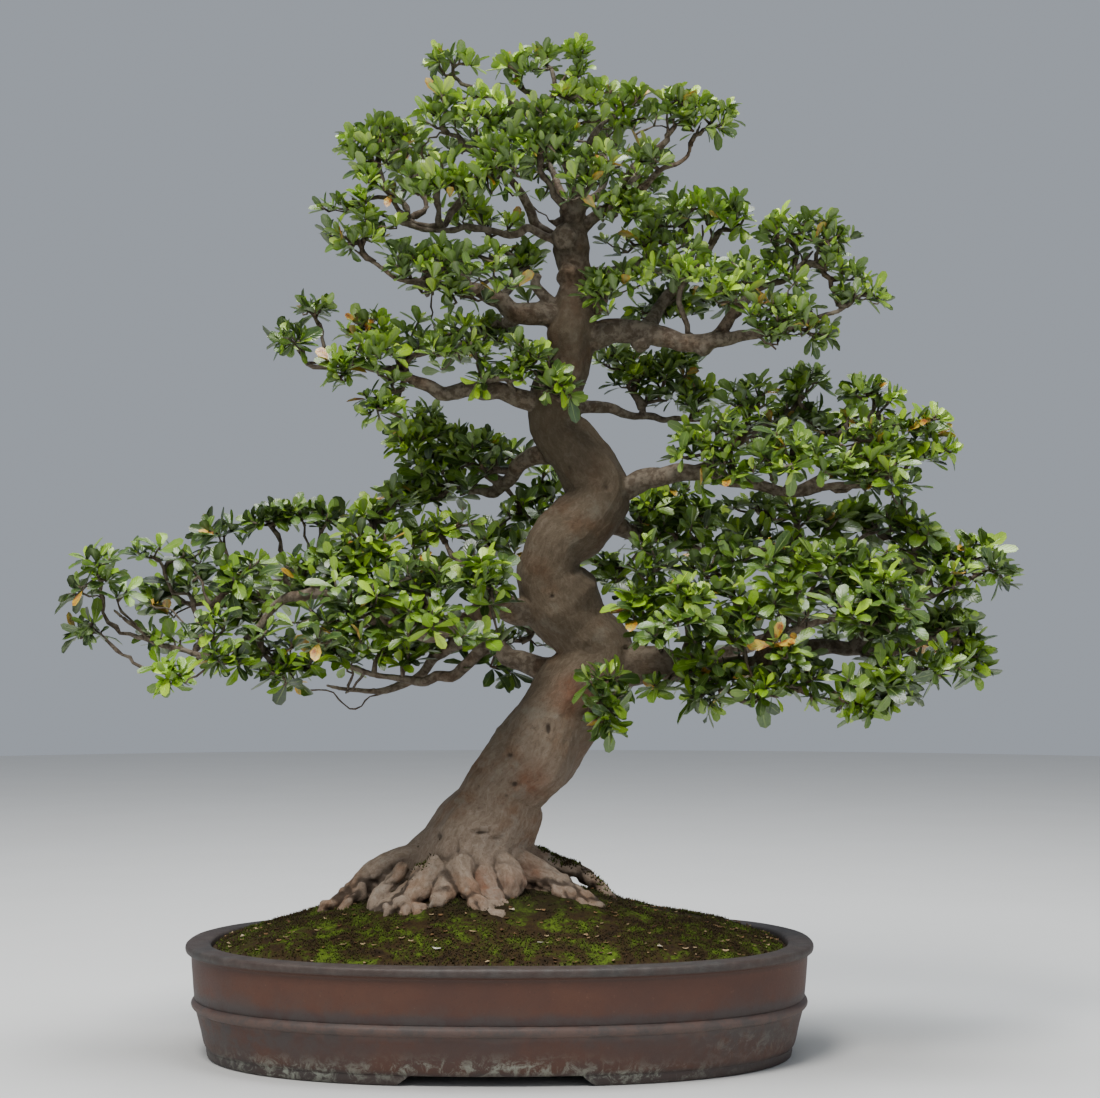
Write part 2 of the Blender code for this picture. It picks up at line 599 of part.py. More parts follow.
def smooth_route(stations):
    """Points and radii along a smooth curve through the stations."""
    placed = [sighted(*station) for station in stations]
    route = []
    last = len(placed) - 1
    for i in range(last):
        before, here = placed[max(i - 1, 0)], placed[i]
        there, after = placed[i + 1], placed[min(i + 2, last)]
        steps = max(2, round((there[0] - here[0]).length / TUBE_STEP))
        for step in range(steps):
            t = step / steps
            point = 0.5 * (2 * here[0] + (there[0] - before[0]) * t
                           + (2 * before[0] - 5 * here[0] + 4 * there[0] - after[0]) * t ** 2
                           + (3 * here[0] - before[0] - 3 * there[0] + after[0]) * t ** 3)
            route.append((point, here[1] + (there[1] - here[1]) * t))
    route.append(placed[-1])
    return route


def turned_frames(points):
    """A direction and two steady crosswise axes at each point of a route."""
    count = len(points)
    frames = []
    side = None
    for i in range(count):
        ahead = (points[min(i + 1, count - 1)] - points[max(i - 1, 0)]).normalized()
        side = side or ahead.orthogonal()
        side = (side - ahead * side.dot(ahead)).normalized()
        frames.append((ahead, side, ahead.cross(side)))
    return frames


def tube(name, stations, draw):
    """A round, slightly lumpy tube along the stations."""
    route = smooth_route(stations)
    frames = turned_frames([point for point, radius in route])
    waves = [(draw.uniform(0, 6.3), draw.uniform(60, 140), k) for k in (2, 3, 5)]
    rings = []
    walked = 0.0
    for i, (point, radius) in enumerate(route):
        if i:
            walked += (point - route[i - 1][0]).length
        ring = []
        for j in range(TUBE_SIDES):
            a = 2 * math.pi * j / TUBE_SIDES
            swell = sum(math.sin(k * a + phase + walked * rate) for phase, rate, k in waves)
            reach = radius * (1 + LUMPINESS * swell / 1.8)
            ring.append(point + (frames[i][1] * math.cos(a) + frames[i][2] * math.sin(a)) * reach)
        rings.append(ring)
    return add_object(name, loft(name, rings))


def joined(name, objects):
    """One object that holds the meshes of all the given ones."""
    shell = bmesh.new()
    for found in objects:
        shell.from_mesh(found.data)
    mesh = bpy.data.meshes.new(name)
    shell.to_mesh(mesh)
    shell.free()
    for found in objects:
        bpy.data.objects.remove(found, do_unlink=True)
    return add_object(name, mesh)


def web(stations):
    """Stations of the wood that fills the space between a root and the bed."""
    return [(across, depth, height - WEB_DROP * max(height - WEB_BASE, 0), radius * WEB_FATTER)
            for across, depth, height, radius in stations]


def make_trunk():
    """Trunk, roots and limbs, grown together into one skin."""
    draw = random.Random(7)
    tubes = [tube("trunk_tube", TRUNK, draw)]
    tubes += [tube(name, stations, draw) for name, stations in {**ROOTS, **LIMBS}.items()]
    tubes += [tube(name + "_web", web(stations), draw) for name, stations in ROOTS.items()]
    trunk = joined("trunk", tubes)
    skin = trunk.modifiers.new("skin", "REMESH")
    skin.mode = "VOXEL"
    skin.voxel_size = TRUNK_VOXEL
    skin.adaptivity = 0.0
    bake(trunk)
    thin = trunk.modifiers.new("thin", "DECIMATE")
    thin.ratio = TRUNK_TRIANGLES / (2 * len(trunk.data.polygons))
    thin.use_collapse_triangulate = True
    bake(trunk)
    keep_largest(trunk.data)
    trunk.data.materials.clear()
    trunk.data.materials.append(material("bark", (0.102, 0.067, 0.044), 0.85))
    return trunk


def trunk_cutter(trunk):
    """The trunk's copy, a little fatter, that leaves its hole in the bed."""
    cutter = add_object("trunk_cutter", trunk.data.copy())
    for vertex, normal in zip(cutter.data.vertices, [v.normal.copy() for v in trunk.data.vertices]):
        vertex.co += normal * TRUNK_CLEARANCE
    return cutter


# Leafy sprays

def bezier(start, start_way, end, end_way, t):
    """Point and direction on a curved twig."""
    reach = (end - start).length * TWIG_BEND
    a, b, c, d = start, start + start_way * reach, end - end_way * reach, end
    point = a * (1 - t) ** 3 + b * 3 * t * (1 - t) ** 2 + c * 3 * t ** 2 * (1 - t) + d * t ** 3
    way = (b - a) * (1 - t) ** 2 + (c - b) * 2 * t * (1 - t) + (d - c) * t ** 2
    return point, way.normalized()


def leaf_faces(points, low, high, root_side, root_up, way, lift, plan):
    """Add one leaf to the points, out of the hub's side between two pairs of points."""
    length, width, thickness = plan
    out = way.normalized()
    across = root_side
    first = out * math.cos(lift) + root_up * math.sin(lift)
    second_lift = lift - math.radians(LEAF_DROOP)
    second = out * math.cos(second_lift) + root_up * math.sin(second_lift)
    upward = first.cross(across)
    if upward.dot(root_up) < 0:
        upward = -upward
    root = (points[low[0]] + points[low[1]] + points[high[0]] + points[high[1]]) / 4
    wide = root + first * length * LEAF_WIDEST
    tip = wide + second * length * (1 - LEAF_WIDEST)
    n = len(points)
    half = across * width / 2
    lie = upward * thickness / 2
    points += [wide - half - lie, wide + half - lie, wide + half + lie, wide - half + lie,
               tip - half * LEAF_TIP_WIDTH, tip + half * LEAF_TIP_WIDTH]
    a, b, d, c = low[0], low[1], high[0], high[1]
    e, f, g, h, k, m = range(n, n + 6)
    return [(a, b, f), (a, f, e), (d, g, c), (d, h, g), (b, c, g), (b, g, f), (d, a, e), (d, e, h),
            (e, f, m), (e, m, k), (h, m, g), (h, k, m), (f, g, m), (h, e, k)]


def shoot_mesh(route, radii, spin, lifts, lengths, margin):
    """A twig along the route, whose end is a hub with a leaf on every side."""
    count = LEAVES_PER_SHOOT
    points = []
    ways = [way for point, way in route]
    side = ways[0].orthogonal().normalized()
    for i, (point, way) in enumerate(route):
        side = (side - way * side.dot(way)).normalized()
        other = way.cross(side)
        turn = spin * i / (len(route) - 1)
        for j in range(count):
            a = turn + 2 * math.pi * j / count
            points.append(point + (side * math.cos(a) + other * math.sin(a)) * (radii[i] + margin))
    end = route[-1][1]
    base = (len(route) - 1) * count
    for j in range(count):
        points.append(points[base + j] + end * (HUB_HEIGHT + margin))
    faces = [tuple(reversed(range(count)))]
    for i in range(len(route) - 1):
        for j in range(count):
            a = i * count + j
            b = i * count + (j + 1) % count
            faces += [(a, b, b + count), (a, b + count, a + count)]
    faces.append(tuple(range(base + count, base + 2 * count)))
    for j in range(count):
        low = (base + j, base + (j + 1) % count)
        high = (low[0] + count, low[1] + count)
        across = (points[low[1]] - points[low[0]]).normalized()
        plan = (lengths[j] + margin, LEAF_WIDTH * lengths[j] / LEAF_LENGTH + 2 * margin,
                LEAF_THICKNESS + 2 * margin)
        faces += leaf_faces(points, low, high, across, end, across.cross(end), lifts[j], plan)
    return points, faces


def limb_stations(name):
    """Points, directions and radii close together along a limb."""
    route = smooth_route(TRUNK if name == "trunk" else LIMBS[name])
    frames = turned_frames([point for point, radius in route])
    return [(point, frame[0], radius) for (point, radius), frame in zip(route, frames)]


def seats(limb, target, bark):
    """Places on the limb's bark where a twig for the target may start, best first."""
    found = []
    walked = 0.0
    stations = limb_stations(limb)
    for i, (point, along, radius) in enumerate(stations):
        if i:
            walked += (point - stations[i - 1][0]).length
        way = (target - point).normalized()
        way = (way - along * way.dot(along) * 0.8).normalized()
        place, normal, index, distance = bark.ray_cast(point, way)
        if place is None or distance > SEAT_REACH * radius or normal.dot(way) < SEAT_FACING:
            continue
        cost = (target - place).length + (WALK_COST * walked if limb != "trunk" else 0.0)
        found.append((cost, i, place + normal * SEAT_GAP, normal))
    return [(place, normal) for cost, i, place, normal in sorted(found, key=lambda f: f[:2])]


def end_way(start, target, draw):
    """The direction in which a shoot's end looks: up and outward."""
    out = (target - start).normalized()
    way = Vector((0, 0, TIP_RISE)) + out * TIP_RISE
    way += Vector((draw.uniform(-TIP_STRAY, TIP_STRAY), draw.uniform(-TIP_STRAY, TIP_STRAY), 0))
    return way.normalized()


def overlaps(points, faces, others):
    """Whether a shoot crosses itself or any of the others."""
    tree = BVHTree.FromPolygons(points, faces)
    if any(not set(faces[a]) & set(faces[b]) for a, b in tree.overlap(tree)):
        return True
    return any(tree.overlap(other) for other in others)


def grow(start, start_way, target, root_radius, draw, others):
    """A shoot from a start to a target that crosses none of the others, or None."""
    tip_way = end_way(start, target, draw)
    span = (target - start).length
    stops = [0, 0.34, 0.70, 1] if span > LONG_TWIG else [0, 0.5, 1]
    route = [bezier(start, start_way, target - tip_way * HUB_HEIGHT, tip_way, t) for t in stops]
    radii = [root_radius + (HUB_RADIUS - root_radius) * t for t in stops]
    spin = draw.uniform(0, 2 * math.pi / LEAVES_PER_SHOOT)
    lifts = [math.radians(draw.uniform(*LEAF_LIFT)) for i in range(LEAVES_PER_SHOOT)]
    lengths = [LEAF_LENGTH * draw.uniform(0.86, 1.08) for i in range(LEAVES_PER_SHOOT)]
    wide = shoot_mesh(route, radii, spin, lifts, lengths, TEST_MARGIN)
    if overlaps(*wide, others):
        return None
    return route, radii, shoot_mesh(route, radii, spin, lifts, lengths, 0.0)


def forks(grown, target):
    """Places on the twigs grown so far where another may fork off, nearest first."""
    found = []
    for route, radii in grown:
        for i in range(len(route) - 1):
            for t in (0.25, 0.6):
                point = route[i][0].lerp(route[i + 1][0], t)
                along = route[i][1].lerp(route[i + 1][1], t).normalized()
                way = (target - point).normalized()
                way = (way - along * way.dot(along) * 0.5).normalized()
                radius = radii[i] + (radii[i + 1] - radii[i]) * t
                found.append(((target - point).length, len(found), point, way, radius))
    return [entry[2:] for entry in sorted(found, key=lambda f: f[:2])]


def make_spray(name, limb, rosettes, number, bark, others, finish):
    """One leafy spray: a first shoot seated on the limb and the shoots that fork off it."""
    draw = random.Random(100 + number)
    grown = []
    shoots = []
    for rosette in rosettes:
        target = sighted(*rosette)[0]
        for attempt in range(TRIES):
            aim = target + Vector([draw.uniform(-1, 1) for i in range(3)]) * AIM_STRAY * attempt
            if grown:
                choices = forks(grown, aim)
                point, way, radius = choices[(attempt // TRIES_PER_FORK) % len(choices)]
                radius = min(radius * FORK_THINNING, TWIG_ROOT_RADIUS)
            else:
                choices = seats(limb, aim, bark)
                point, way = choices[(attempt // TRIES_PER_SEAT) % len(choices)]
                radius = TWIG_ROOT_RADIUS + TWIG_RADIUS_PER_ROSETTE * len(rosettes)
            shoot = grow(point, way, aim, radius, draw, others)
            if shoot:
                grown.append(shoot[:2])
                shoots.append(add_object("shoot", mesh_of("shoot", *shoot[2])))
                break
    spray = shoots[0]
    spray.name = name
    if shoots[1:]:
        boolean(spray, shoots[1:], "UNION", "MANIFOLD")
    keep_largest(spray.data)
    spray.data.name = name
    spray.data.materials.clear()
    spray.data.materials.append(finish)
    return spray


def make_sprays(trunk, others):
    bark = surface_of(trunk.data)
    trees = [bark] + [surface_of(other.data) for other in others]
    finish = material("leaf", (0.082, 0.150, 0.030), 0.45)
    made = []
    for number, (name, limb, rosettes) in enumerate(SPRAYS):
        spray = make_spray("spray_" + name, limb, rosettes, number, bark, trees, finish)
        trees.append(surface_of(spray.data))
        made.append(spray)
    return made


def main():
    clear_scene()
    trunk = make_trunk()
    pot = make_pot()
    plastic = material("black_plastic", (0.02, 0.02, 0.02), 0.5)
    meshes = [make_drain_mesh("drain_mesh_left", -1, plastic),
              make_drain_mesh("drain_mesh_right", 1, plastic)]
    pockets = [block("pocket", mesh_middle(side),
                     (MESH_SIDE + 4 * GAP, MESH_SIDE + 4 * GAP, MESH_THICKNESS + 2 * GAP))
               for side in (-1, 1)]
    soil = make_soil(trunk_cutter(trunk), pockets)
    moss = make_moss(trunk_cutter(trunk))
    sprays = make_sprays(trunk, [pot, soil, moss])
    middle = bpy.data.objects.new("bonsai", None)
    bpy.context.scene.collection.objects.link(middle)
    middle.location = CENTRING
    for piece in [pot, soil, moss, trunk] + meshes + sprays:
        piece.parent = middle


main()
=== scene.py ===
"""Looks of the satsuki azalea bonsai: bark, leaves, moss, stoneware, light and camera.

Metres, +Z up, the front of the tree towards -Y. As in the part's own source, the tables give
places in millimetres from the middle of the pot's foot, as (across, depth, height).
"""

import json
import math
import random

import bpy
import numpy as np
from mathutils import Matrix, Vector
from mathutils.bvhtree import BVHTree

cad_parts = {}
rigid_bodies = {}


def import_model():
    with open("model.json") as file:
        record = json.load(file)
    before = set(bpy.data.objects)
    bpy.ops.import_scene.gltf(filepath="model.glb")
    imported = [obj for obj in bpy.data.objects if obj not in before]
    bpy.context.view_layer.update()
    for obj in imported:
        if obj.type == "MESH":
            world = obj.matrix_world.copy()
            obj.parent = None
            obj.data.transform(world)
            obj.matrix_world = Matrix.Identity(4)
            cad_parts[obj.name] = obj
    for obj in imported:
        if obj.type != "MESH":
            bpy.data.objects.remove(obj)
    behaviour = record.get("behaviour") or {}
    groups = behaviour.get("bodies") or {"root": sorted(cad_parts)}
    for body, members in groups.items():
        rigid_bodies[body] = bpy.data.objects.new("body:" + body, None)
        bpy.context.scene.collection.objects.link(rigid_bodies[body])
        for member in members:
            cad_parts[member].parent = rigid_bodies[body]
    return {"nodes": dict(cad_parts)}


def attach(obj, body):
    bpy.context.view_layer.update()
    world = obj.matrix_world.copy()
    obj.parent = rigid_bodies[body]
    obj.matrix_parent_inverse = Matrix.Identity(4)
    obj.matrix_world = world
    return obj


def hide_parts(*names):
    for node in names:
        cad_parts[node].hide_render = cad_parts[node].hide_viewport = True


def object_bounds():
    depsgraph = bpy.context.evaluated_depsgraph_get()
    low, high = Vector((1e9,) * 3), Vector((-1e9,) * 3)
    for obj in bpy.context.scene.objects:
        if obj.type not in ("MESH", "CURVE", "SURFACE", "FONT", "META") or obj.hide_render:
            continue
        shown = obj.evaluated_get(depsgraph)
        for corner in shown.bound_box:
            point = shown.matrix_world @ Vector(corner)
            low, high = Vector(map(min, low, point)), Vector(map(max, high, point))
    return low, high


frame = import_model()
cad_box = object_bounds()

MM = 0.001
GOLDEN_ANGLE = math.pi * (3 - math.sqrt(5))

# The tables are a front elevation, seen from the eye point, where the camera also is
CENTRING = (-0.0305, -0.0080, 0.0)
EYE_ACROSS = 0.0368
EYE_DISTANCE = 1.563
EYE_HEIGHT = 0.301
CAMERA_LENS = 68.73
CAMERA_PITCH = 2.481

# Pot
POT_LENGTH = 0.460
POT_DEPTH = 0.300
POT_HEIGHT = 0.081
OVAL_POWER = 2.35
POT_COLUMNS = 288
FLOOR_HEIGHT = 0.016
UNDERSIDE = 0.0065
GROOVE = (0.0071, 0.0150)
# Up the outside, over the lip and down the inside, each a height and an inset from the rim's edge
POT_PROFILE = [
    (UNDERSIDE, 0.0400), (UNDERSIDE, 0.0190), (0.0068, 0.0168), GROOVE, (0.0086, 0.0140), (0.0104, 0.0133),
    (0.0140, 0.0124), (0.0197, 0.0112), (0.0250, 0.0099), (0.0300, 0.0086), (0.0328, 0.0078),
    (0.0341, 0.0079), (0.0346, 0.0069), (0.0356, 0.0055), (0.0368, 0.0046), (0.0382, 0.0042),
    (0.0396, 0.0046), (0.0407, 0.0055), (0.0415, 0.0068), (0.0420, 0.0072), (0.0430, 0.0065),
    (0.0500, 0.0058), (0.0580, 0.0052), (0.0660, 0.0046), (0.0722, 0.0043), (0.0736, 0.0040),
    (0.0744, 0.0028), (0.0751, 0.0014), (0.0758, 0.0006), (0.0768, 0.0002), (0.0780, 0.0000),
    (0.0792, 0.0001), (0.0801, 0.0005), (0.0807, 0.0012), (POT_HEIGHT, 0.0023), (POT_HEIGHT, 0.0070),
    (POT_HEIGHT, 0.0120), (POT_HEIGHT, 0.0158), (0.0808, 0.0170), (0.0803, 0.0179), (0.0795, 0.0185),
    (0.0760, 0.0188), (0.0680, 0.0193), (0.0540, 0.0204), (0.0400, 0.0215), (0.0260, 0.0232),
    (0.0190, 0.0246), (FLOOR_HEIGHT, 0.0300)]
FOOT_INSET = 0.0152
FOOT_WIDTH = 0.0120
FOOT_STATIONS = 64
NOTCH_FRONT_TOP = 0.058
NOTCH_FRONT_FOOT = 0.070
NOTCH_END_TOP = 0.030
NOTCH_END_FOOT = 0.038
DRAIN_OFFSET = 0.095
DRAIN_RADIUS = 0.011
DRAIN_SIDES = 32
# A cutter stands this far past the floor that it cuts
CUT_PAST = 0.01

# Bed
BED_EDGE_HEIGHT = 0.0755
BED_EDGE_INSET = 0.0190
MOUND_HEIGHT = 0.026
MOUND_POWER = 3.0
# Earth and moss heaped round the roots: middle and half axes, where the heap ends and how long
# its slope is, both in half axes, and its height
HEAP_MIDDLE = (-0.016, -0.002)
HEAP_REACH = (0.128, 0.090)
HEAP_EDGE = 1.2
HEAP_SLOPE = 0.85
HEAP_HEIGHT = 0.0165
BED_COLUMNS = 360
BED_RINGS = 60
# Moss over the soil: its depth, and the rise of its broad, small and fine cushions
MOSS_DEPTH = 0.0022
CUSHION_RISES = (0.0013, 0.0009, 0.0003)

# Trunk, roots and limbs: (across, depth, height, radius)
WEB_DROP = 0.45
WEB_BASE = 92
TRUNK = [
    (-26, 6, 84, 52), (-26, 6, 104, 52), (-25, 5, 122, 47), (-20, 4, 142, 41),
    (-13, 2, 159, 37), (-3, 0, 175, 33), (4, -3, 192, 29), (14, -5, 203, 30.5),
    (25, -6, 214, 34),
    (34, -5, 229, 32.5), (43, -2, 244, 30), (57, 2, 264, 30), (74, 6, 282, 28),
    (72, 7, 297, 27), (58, 5, 312, 25), (44, 0, 331, 30), (35, -6, 349, 24),
    (37, -8, 361, 22), (43, -8, 375, 23), (57, -5, 384, 25), (70, 0, 399, 22),
    (73, 5, 414, 23), (59, 8, 436, 22), (45, 7, 455, 22), (41, 4, 466, 19),
    (41, 2, 477, 19), (44, 0, 489, 18), (52, -2, 509, 15), (52, -2, 528, 19),
    (55, 0, 548, 16), (57, 2, 569, 11), (54, 3, 584, 12), (53, 3, 594, 14),
    (53, 2, 606, 12), (50, 2, 614, 9)]
ROOTS = {
    "far_left": [(-39, 2, 136, 18), (-73, -6, 138, 10), (-96, -12, 128, 8),
                 (-112, -16, 114, 6.5), (-126, -20, 101, 5), (-134, -22, 88, 4)],
    "left_front": [(-34, -12, 128, 18.5), (-58, -34, 113, 13.5), (-84, -48, 99, 9),
                   (-98, -54, 88, 5)],
    "front": [(-29, -22, 131, 18), (-38, -42, 116, 11), (-45, -56, 99, 7.5),
              (-48, -64, 86, 5)],
    "front_right": [(-17, -22, 128, 18.5), (-6, -46, 109, 10.5), (5, -62, 92, 6.5),
                    (9, -68, 80, 4.5)],
    "front_bulge": [(-8, -10, 131, 18), (0, -26, 116, 14), (4, -34, 104, 9)],
    "right": [(0, -6, 140, 18), (18, -12, 133, 11), (34, -18, 126, 8.5), (54, -25, 116, 6.5),
              (70, -30, 106, 5), (80, -33, 97, 4), (88, -36, 88, 3)],
    "upper_right": [(6, 8, 143, 15), (24, 10, 141, 8), (43, 12, 135, 6), (60, 14, 129, 5.5),
                    (72, 15, 118, 4.8), (80, 16, 106, 4.4), (88, 17, 88, 3.5)],
    "rear": [(-23, 22, 136, 21), (-33, 50, 121, 13.5), (-45, 76, 104, 8), (-50, 86, 88, 5)],
    "rear_right": [(-2, 24, 137, 18.5), (29, 52, 121, 10.5), (52, 72, 104, 6.5),
                   (60, 80, 86, 4.5)],
    "rear_left": [(-44, 18, 133, 16.5), (-73, 42, 116, 9), (-97, 60, 100, 5.5),
                  (-106, 66, 84, 4)],
}
LIMBS = {
    "low_left_front": [(22, -8, 322, 12), (3, -22, 326, 11), (-15, -32, 322, 10.5),
                       (-38, -45, 312, 9.5), (-60, -55, 308, 9), (-86, -62, 314, 8),
                       (-112, -66, 327, 7.5), (-134, -66, 337, 6.5), (-158, -60, 333, 5),
                       (-178, -52, 312, 4.5), (-198, -42, 295, 4), (-224, -32, 290, 3.5),
                       (-242, -26, 295, 3.5), (-261, -20, 301, 3), (-279, -16, 316, 2.5)],
    "low_left_back": [(59, 8, 280, 9.5), (33, 25, 279, 10.5), (15, 35, 286, 9.5),
                      (0, 42, 294, 9), (-14, 50, 298, 8), (-34, 62, 297, 6.5),
                      (-49, 72, 289, 6), (-57, 80, 277, 5), (-73, 86, 268, 5),
                      (-96, 90, 263, 3.5), (-119, 94, 265, 2.5)],
    "low_left_loop": [(-11, 48, 295, 6), (-23, 46, 285, 6), (-36, 48, 274, 5.5),
                      (-56, 54, 270, 5), (-79, 60, 273, 3.5), (-108, 62, 280, 3),
                      (-134, 62, 290, 2.5)],
    "low_left_rear": [(-23, 56, 297, 6), (-52, 88, 312, 5), (-86, 104, 325, 4.5),
                      (-123, 110, 332, 3.5), (-160, 108, 334, 3)],
    "low_right": [(83, 4, 283, 19.5), (111, -12, 284, 15.5), (134, -20, 280, 13.5),
                  (156, -28, 277, 11), (178, -34, 281, 10.5), (204, -38, 289, 9.5),
                  (234, -38, 295, 9), (260, -35, 294, 7.5), (286, -30, 292, 6),
                  (312, -25, 297, 4.5), (335, -20, 308, 3.5)],
    "low_right_rise": [(193, -36, 286, 6.5), (205, -40, 308, 6), (215, -36, 331, 5),
                       (223, -28, 349, 4), (215, -20, 369, 3)],
    "low_right_outer": [(260, -35, 294, 6), (286, -30, 312, 5), (309, -22, 329, 4),
                        (333, -12, 341, 3.5), (357, -6, 350, 2.5)],
    "low_right_rear": [(128, -18, 281, 8), (162, 15, 290, 6.5), (195, 48, 301, 6),
                       (232, 74, 314, 5), (269, 88, 326, 4), (303, 94, 337, 3)],
    "rear_right": [(68, 8, 390, 9.5), (93, 32, 383, 8), (111, 54, 378, 6.5),
                   (135, 76, 371, 6), (162, 90, 368, 5), (192, 97, 368, 4.5),
                   (224, 100, 369, 3.5)],
    "right_mid": [(78, 4, 414, 11), (100, 0, 417, 9.5), (119, -6, 422, 8),
                  (137, -12, 426, 8), (156, -16, 426, 7.5), (182, -20, 419, 6.5),
                  (212, -20, 411, 5), (238, -18, 414, 4), (268, -14, 416, 3.5),
                  (291, -10, 423, 2.5)],
    "right_mid_rise": [(148, -14, 427, 6), (167, -4, 442, 5), (189, 12, 457, 4),
                       (214, 22, 468, 3.5), (227, 18, 483, 2.5)],
    "right_mid_outer": [(221, -19, 412, 4.5), (251, -10, 431, 3.5), (271, 0, 456, 3),
                        (280, 4, 476, 2.5)],
    "rear_left": [(44, 10, 439, 9), (15, 32, 433, 7), (6, 46, 420, 6.5),
                  (-5, 56, 411, 6.5), (-23, 67, 413, 5), (-45, 77, 416, 3.5),
                  (-64, 83, 413, 3)],
    "rear_left_rise": [(3, 48, 417, 5), (-15, 58, 428, 4), (-34, 66, 436, 3.5),
                       (-52, 70, 442, 2.5)],
    "left_mid": [(41, 2, 477, 10.5), (11, -6, 483, 8.5), (-12, -10, 486, 8),
                 (-34, -14, 486, 7.5), (-52, -18, 490, 6.5), (-71, -20, 498, 5),
                 (-93, -22, 503, 4.5), (-116, -24, 508, 3.5), (-134, -24, 508, 2.5)],
    "right_upper": [(53, -1, 527, 12.5), (82, -3, 532, 11), (104, -6, 532, 9.5),
                    (126, -10, 527, 9.5), (148, -14, 523, 9), (169, -16, 526, 7.5),
                    (193, -16, 530, 5), (217, -12, 535, 4), (242, -8, 544, 3),
                    (260, -6, 552, 2.5)],
    "right_upper_rise": [(160, -15, 525, 6.5), (175, -9, 547, 5), (190, -2, 562, 4.5),
                         (212, 2, 570, 3.5), (227, 3, 584, 3)],
    "right_upper_rear": [(104, -5, 532, 6.5), (119, 22, 550, 5.5), (137, 36, 569, 5),
                         (154, 43, 587, 3.5), (162, 40, 602, 3)],
    "left_upper": [(50, 0, 538, 11), (18, -5, 545, 9.5), (0, -9, 555, 8.5),
                   (-15, -13, 562, 7.5), (-34, -16, 564, 5), (-52, -18, 565, 4.5),
                   (-71, -19, 570, 3.5), (-86, -20, 577, 3), (-101, -20, 587, 2.5)],
    "left_upper_rear": [(20, -3, 544, 6), (0, 30, 538, 5), (-21, 50, 527, 4),
                        (-41, 60, 517, 3.5)],
    "rear_thin": [(49, 8, 474, 6), (82, 26, 474, 5), (100, 36, 468, 4),
                  (122, 43, 465, 3.5), (141, 47, 465, 3)],
    "rear_upper": [(56, 2, 572, 7.5), (83, 16, 576, 6), (100, 29, 582, 5),
                   (116, 38, 591, 3.5)],
    "leader": [(52, 2, 612, 8), (55, 0, 626, 7), (53, -3, 642, 5), (46, -6, 662, 4),
               (37, -8, 684, 3.2), (34, -8, 703, 2.7), (46, -6, 721, 2.2)],
    "apex_left": [(50, 3, 600, 6), (33, 6, 607, 5.4), (23, 6, 620, 4.8), (15, 2, 636, 4.2),
                  (0, -5, 652, 3.6), (-15, -10, 666, 3), (-29, -14, 677, 2.4)],
    "apex_pale": [(46, 0, 600, 4.4), (20, -12, 610, 3.7), (6, -16, 604, 3.5),
                  (-9, -19, 608, 3.3), (-26, -20, 611, 3.1), (-45, -20, 608, 3),
                  (-66, -20, 611, 2.8), (-84, -18, 618, 2.5), (-103, -14, 626, 2.1)],
    "apex_pale_rise": [(-66, -19, 611, 2.8), (-79, -12, 627, 2.4), (-87, -5, 642, 2)],
    "apex_right": [(59, 3, 608, 6), (78, 3, 623, 5), (93, 2, 632, 4.4),
                   (108, 0, 641, 3.8), (122, -3, 655, 3), (140, -4, 664, 2.6),
                   (146, -4, 679, 2.2)],
    "apex_rear": [(53, 8, 609, 6), (49, 28, 629, 5), (41, 43, 647, 4), (33, 53, 664, 3)],
    "apex_rear_right": [(55, 14, 618, 4.6), (74, 36, 636, 3.9), (83, 50, 658, 3)],
}

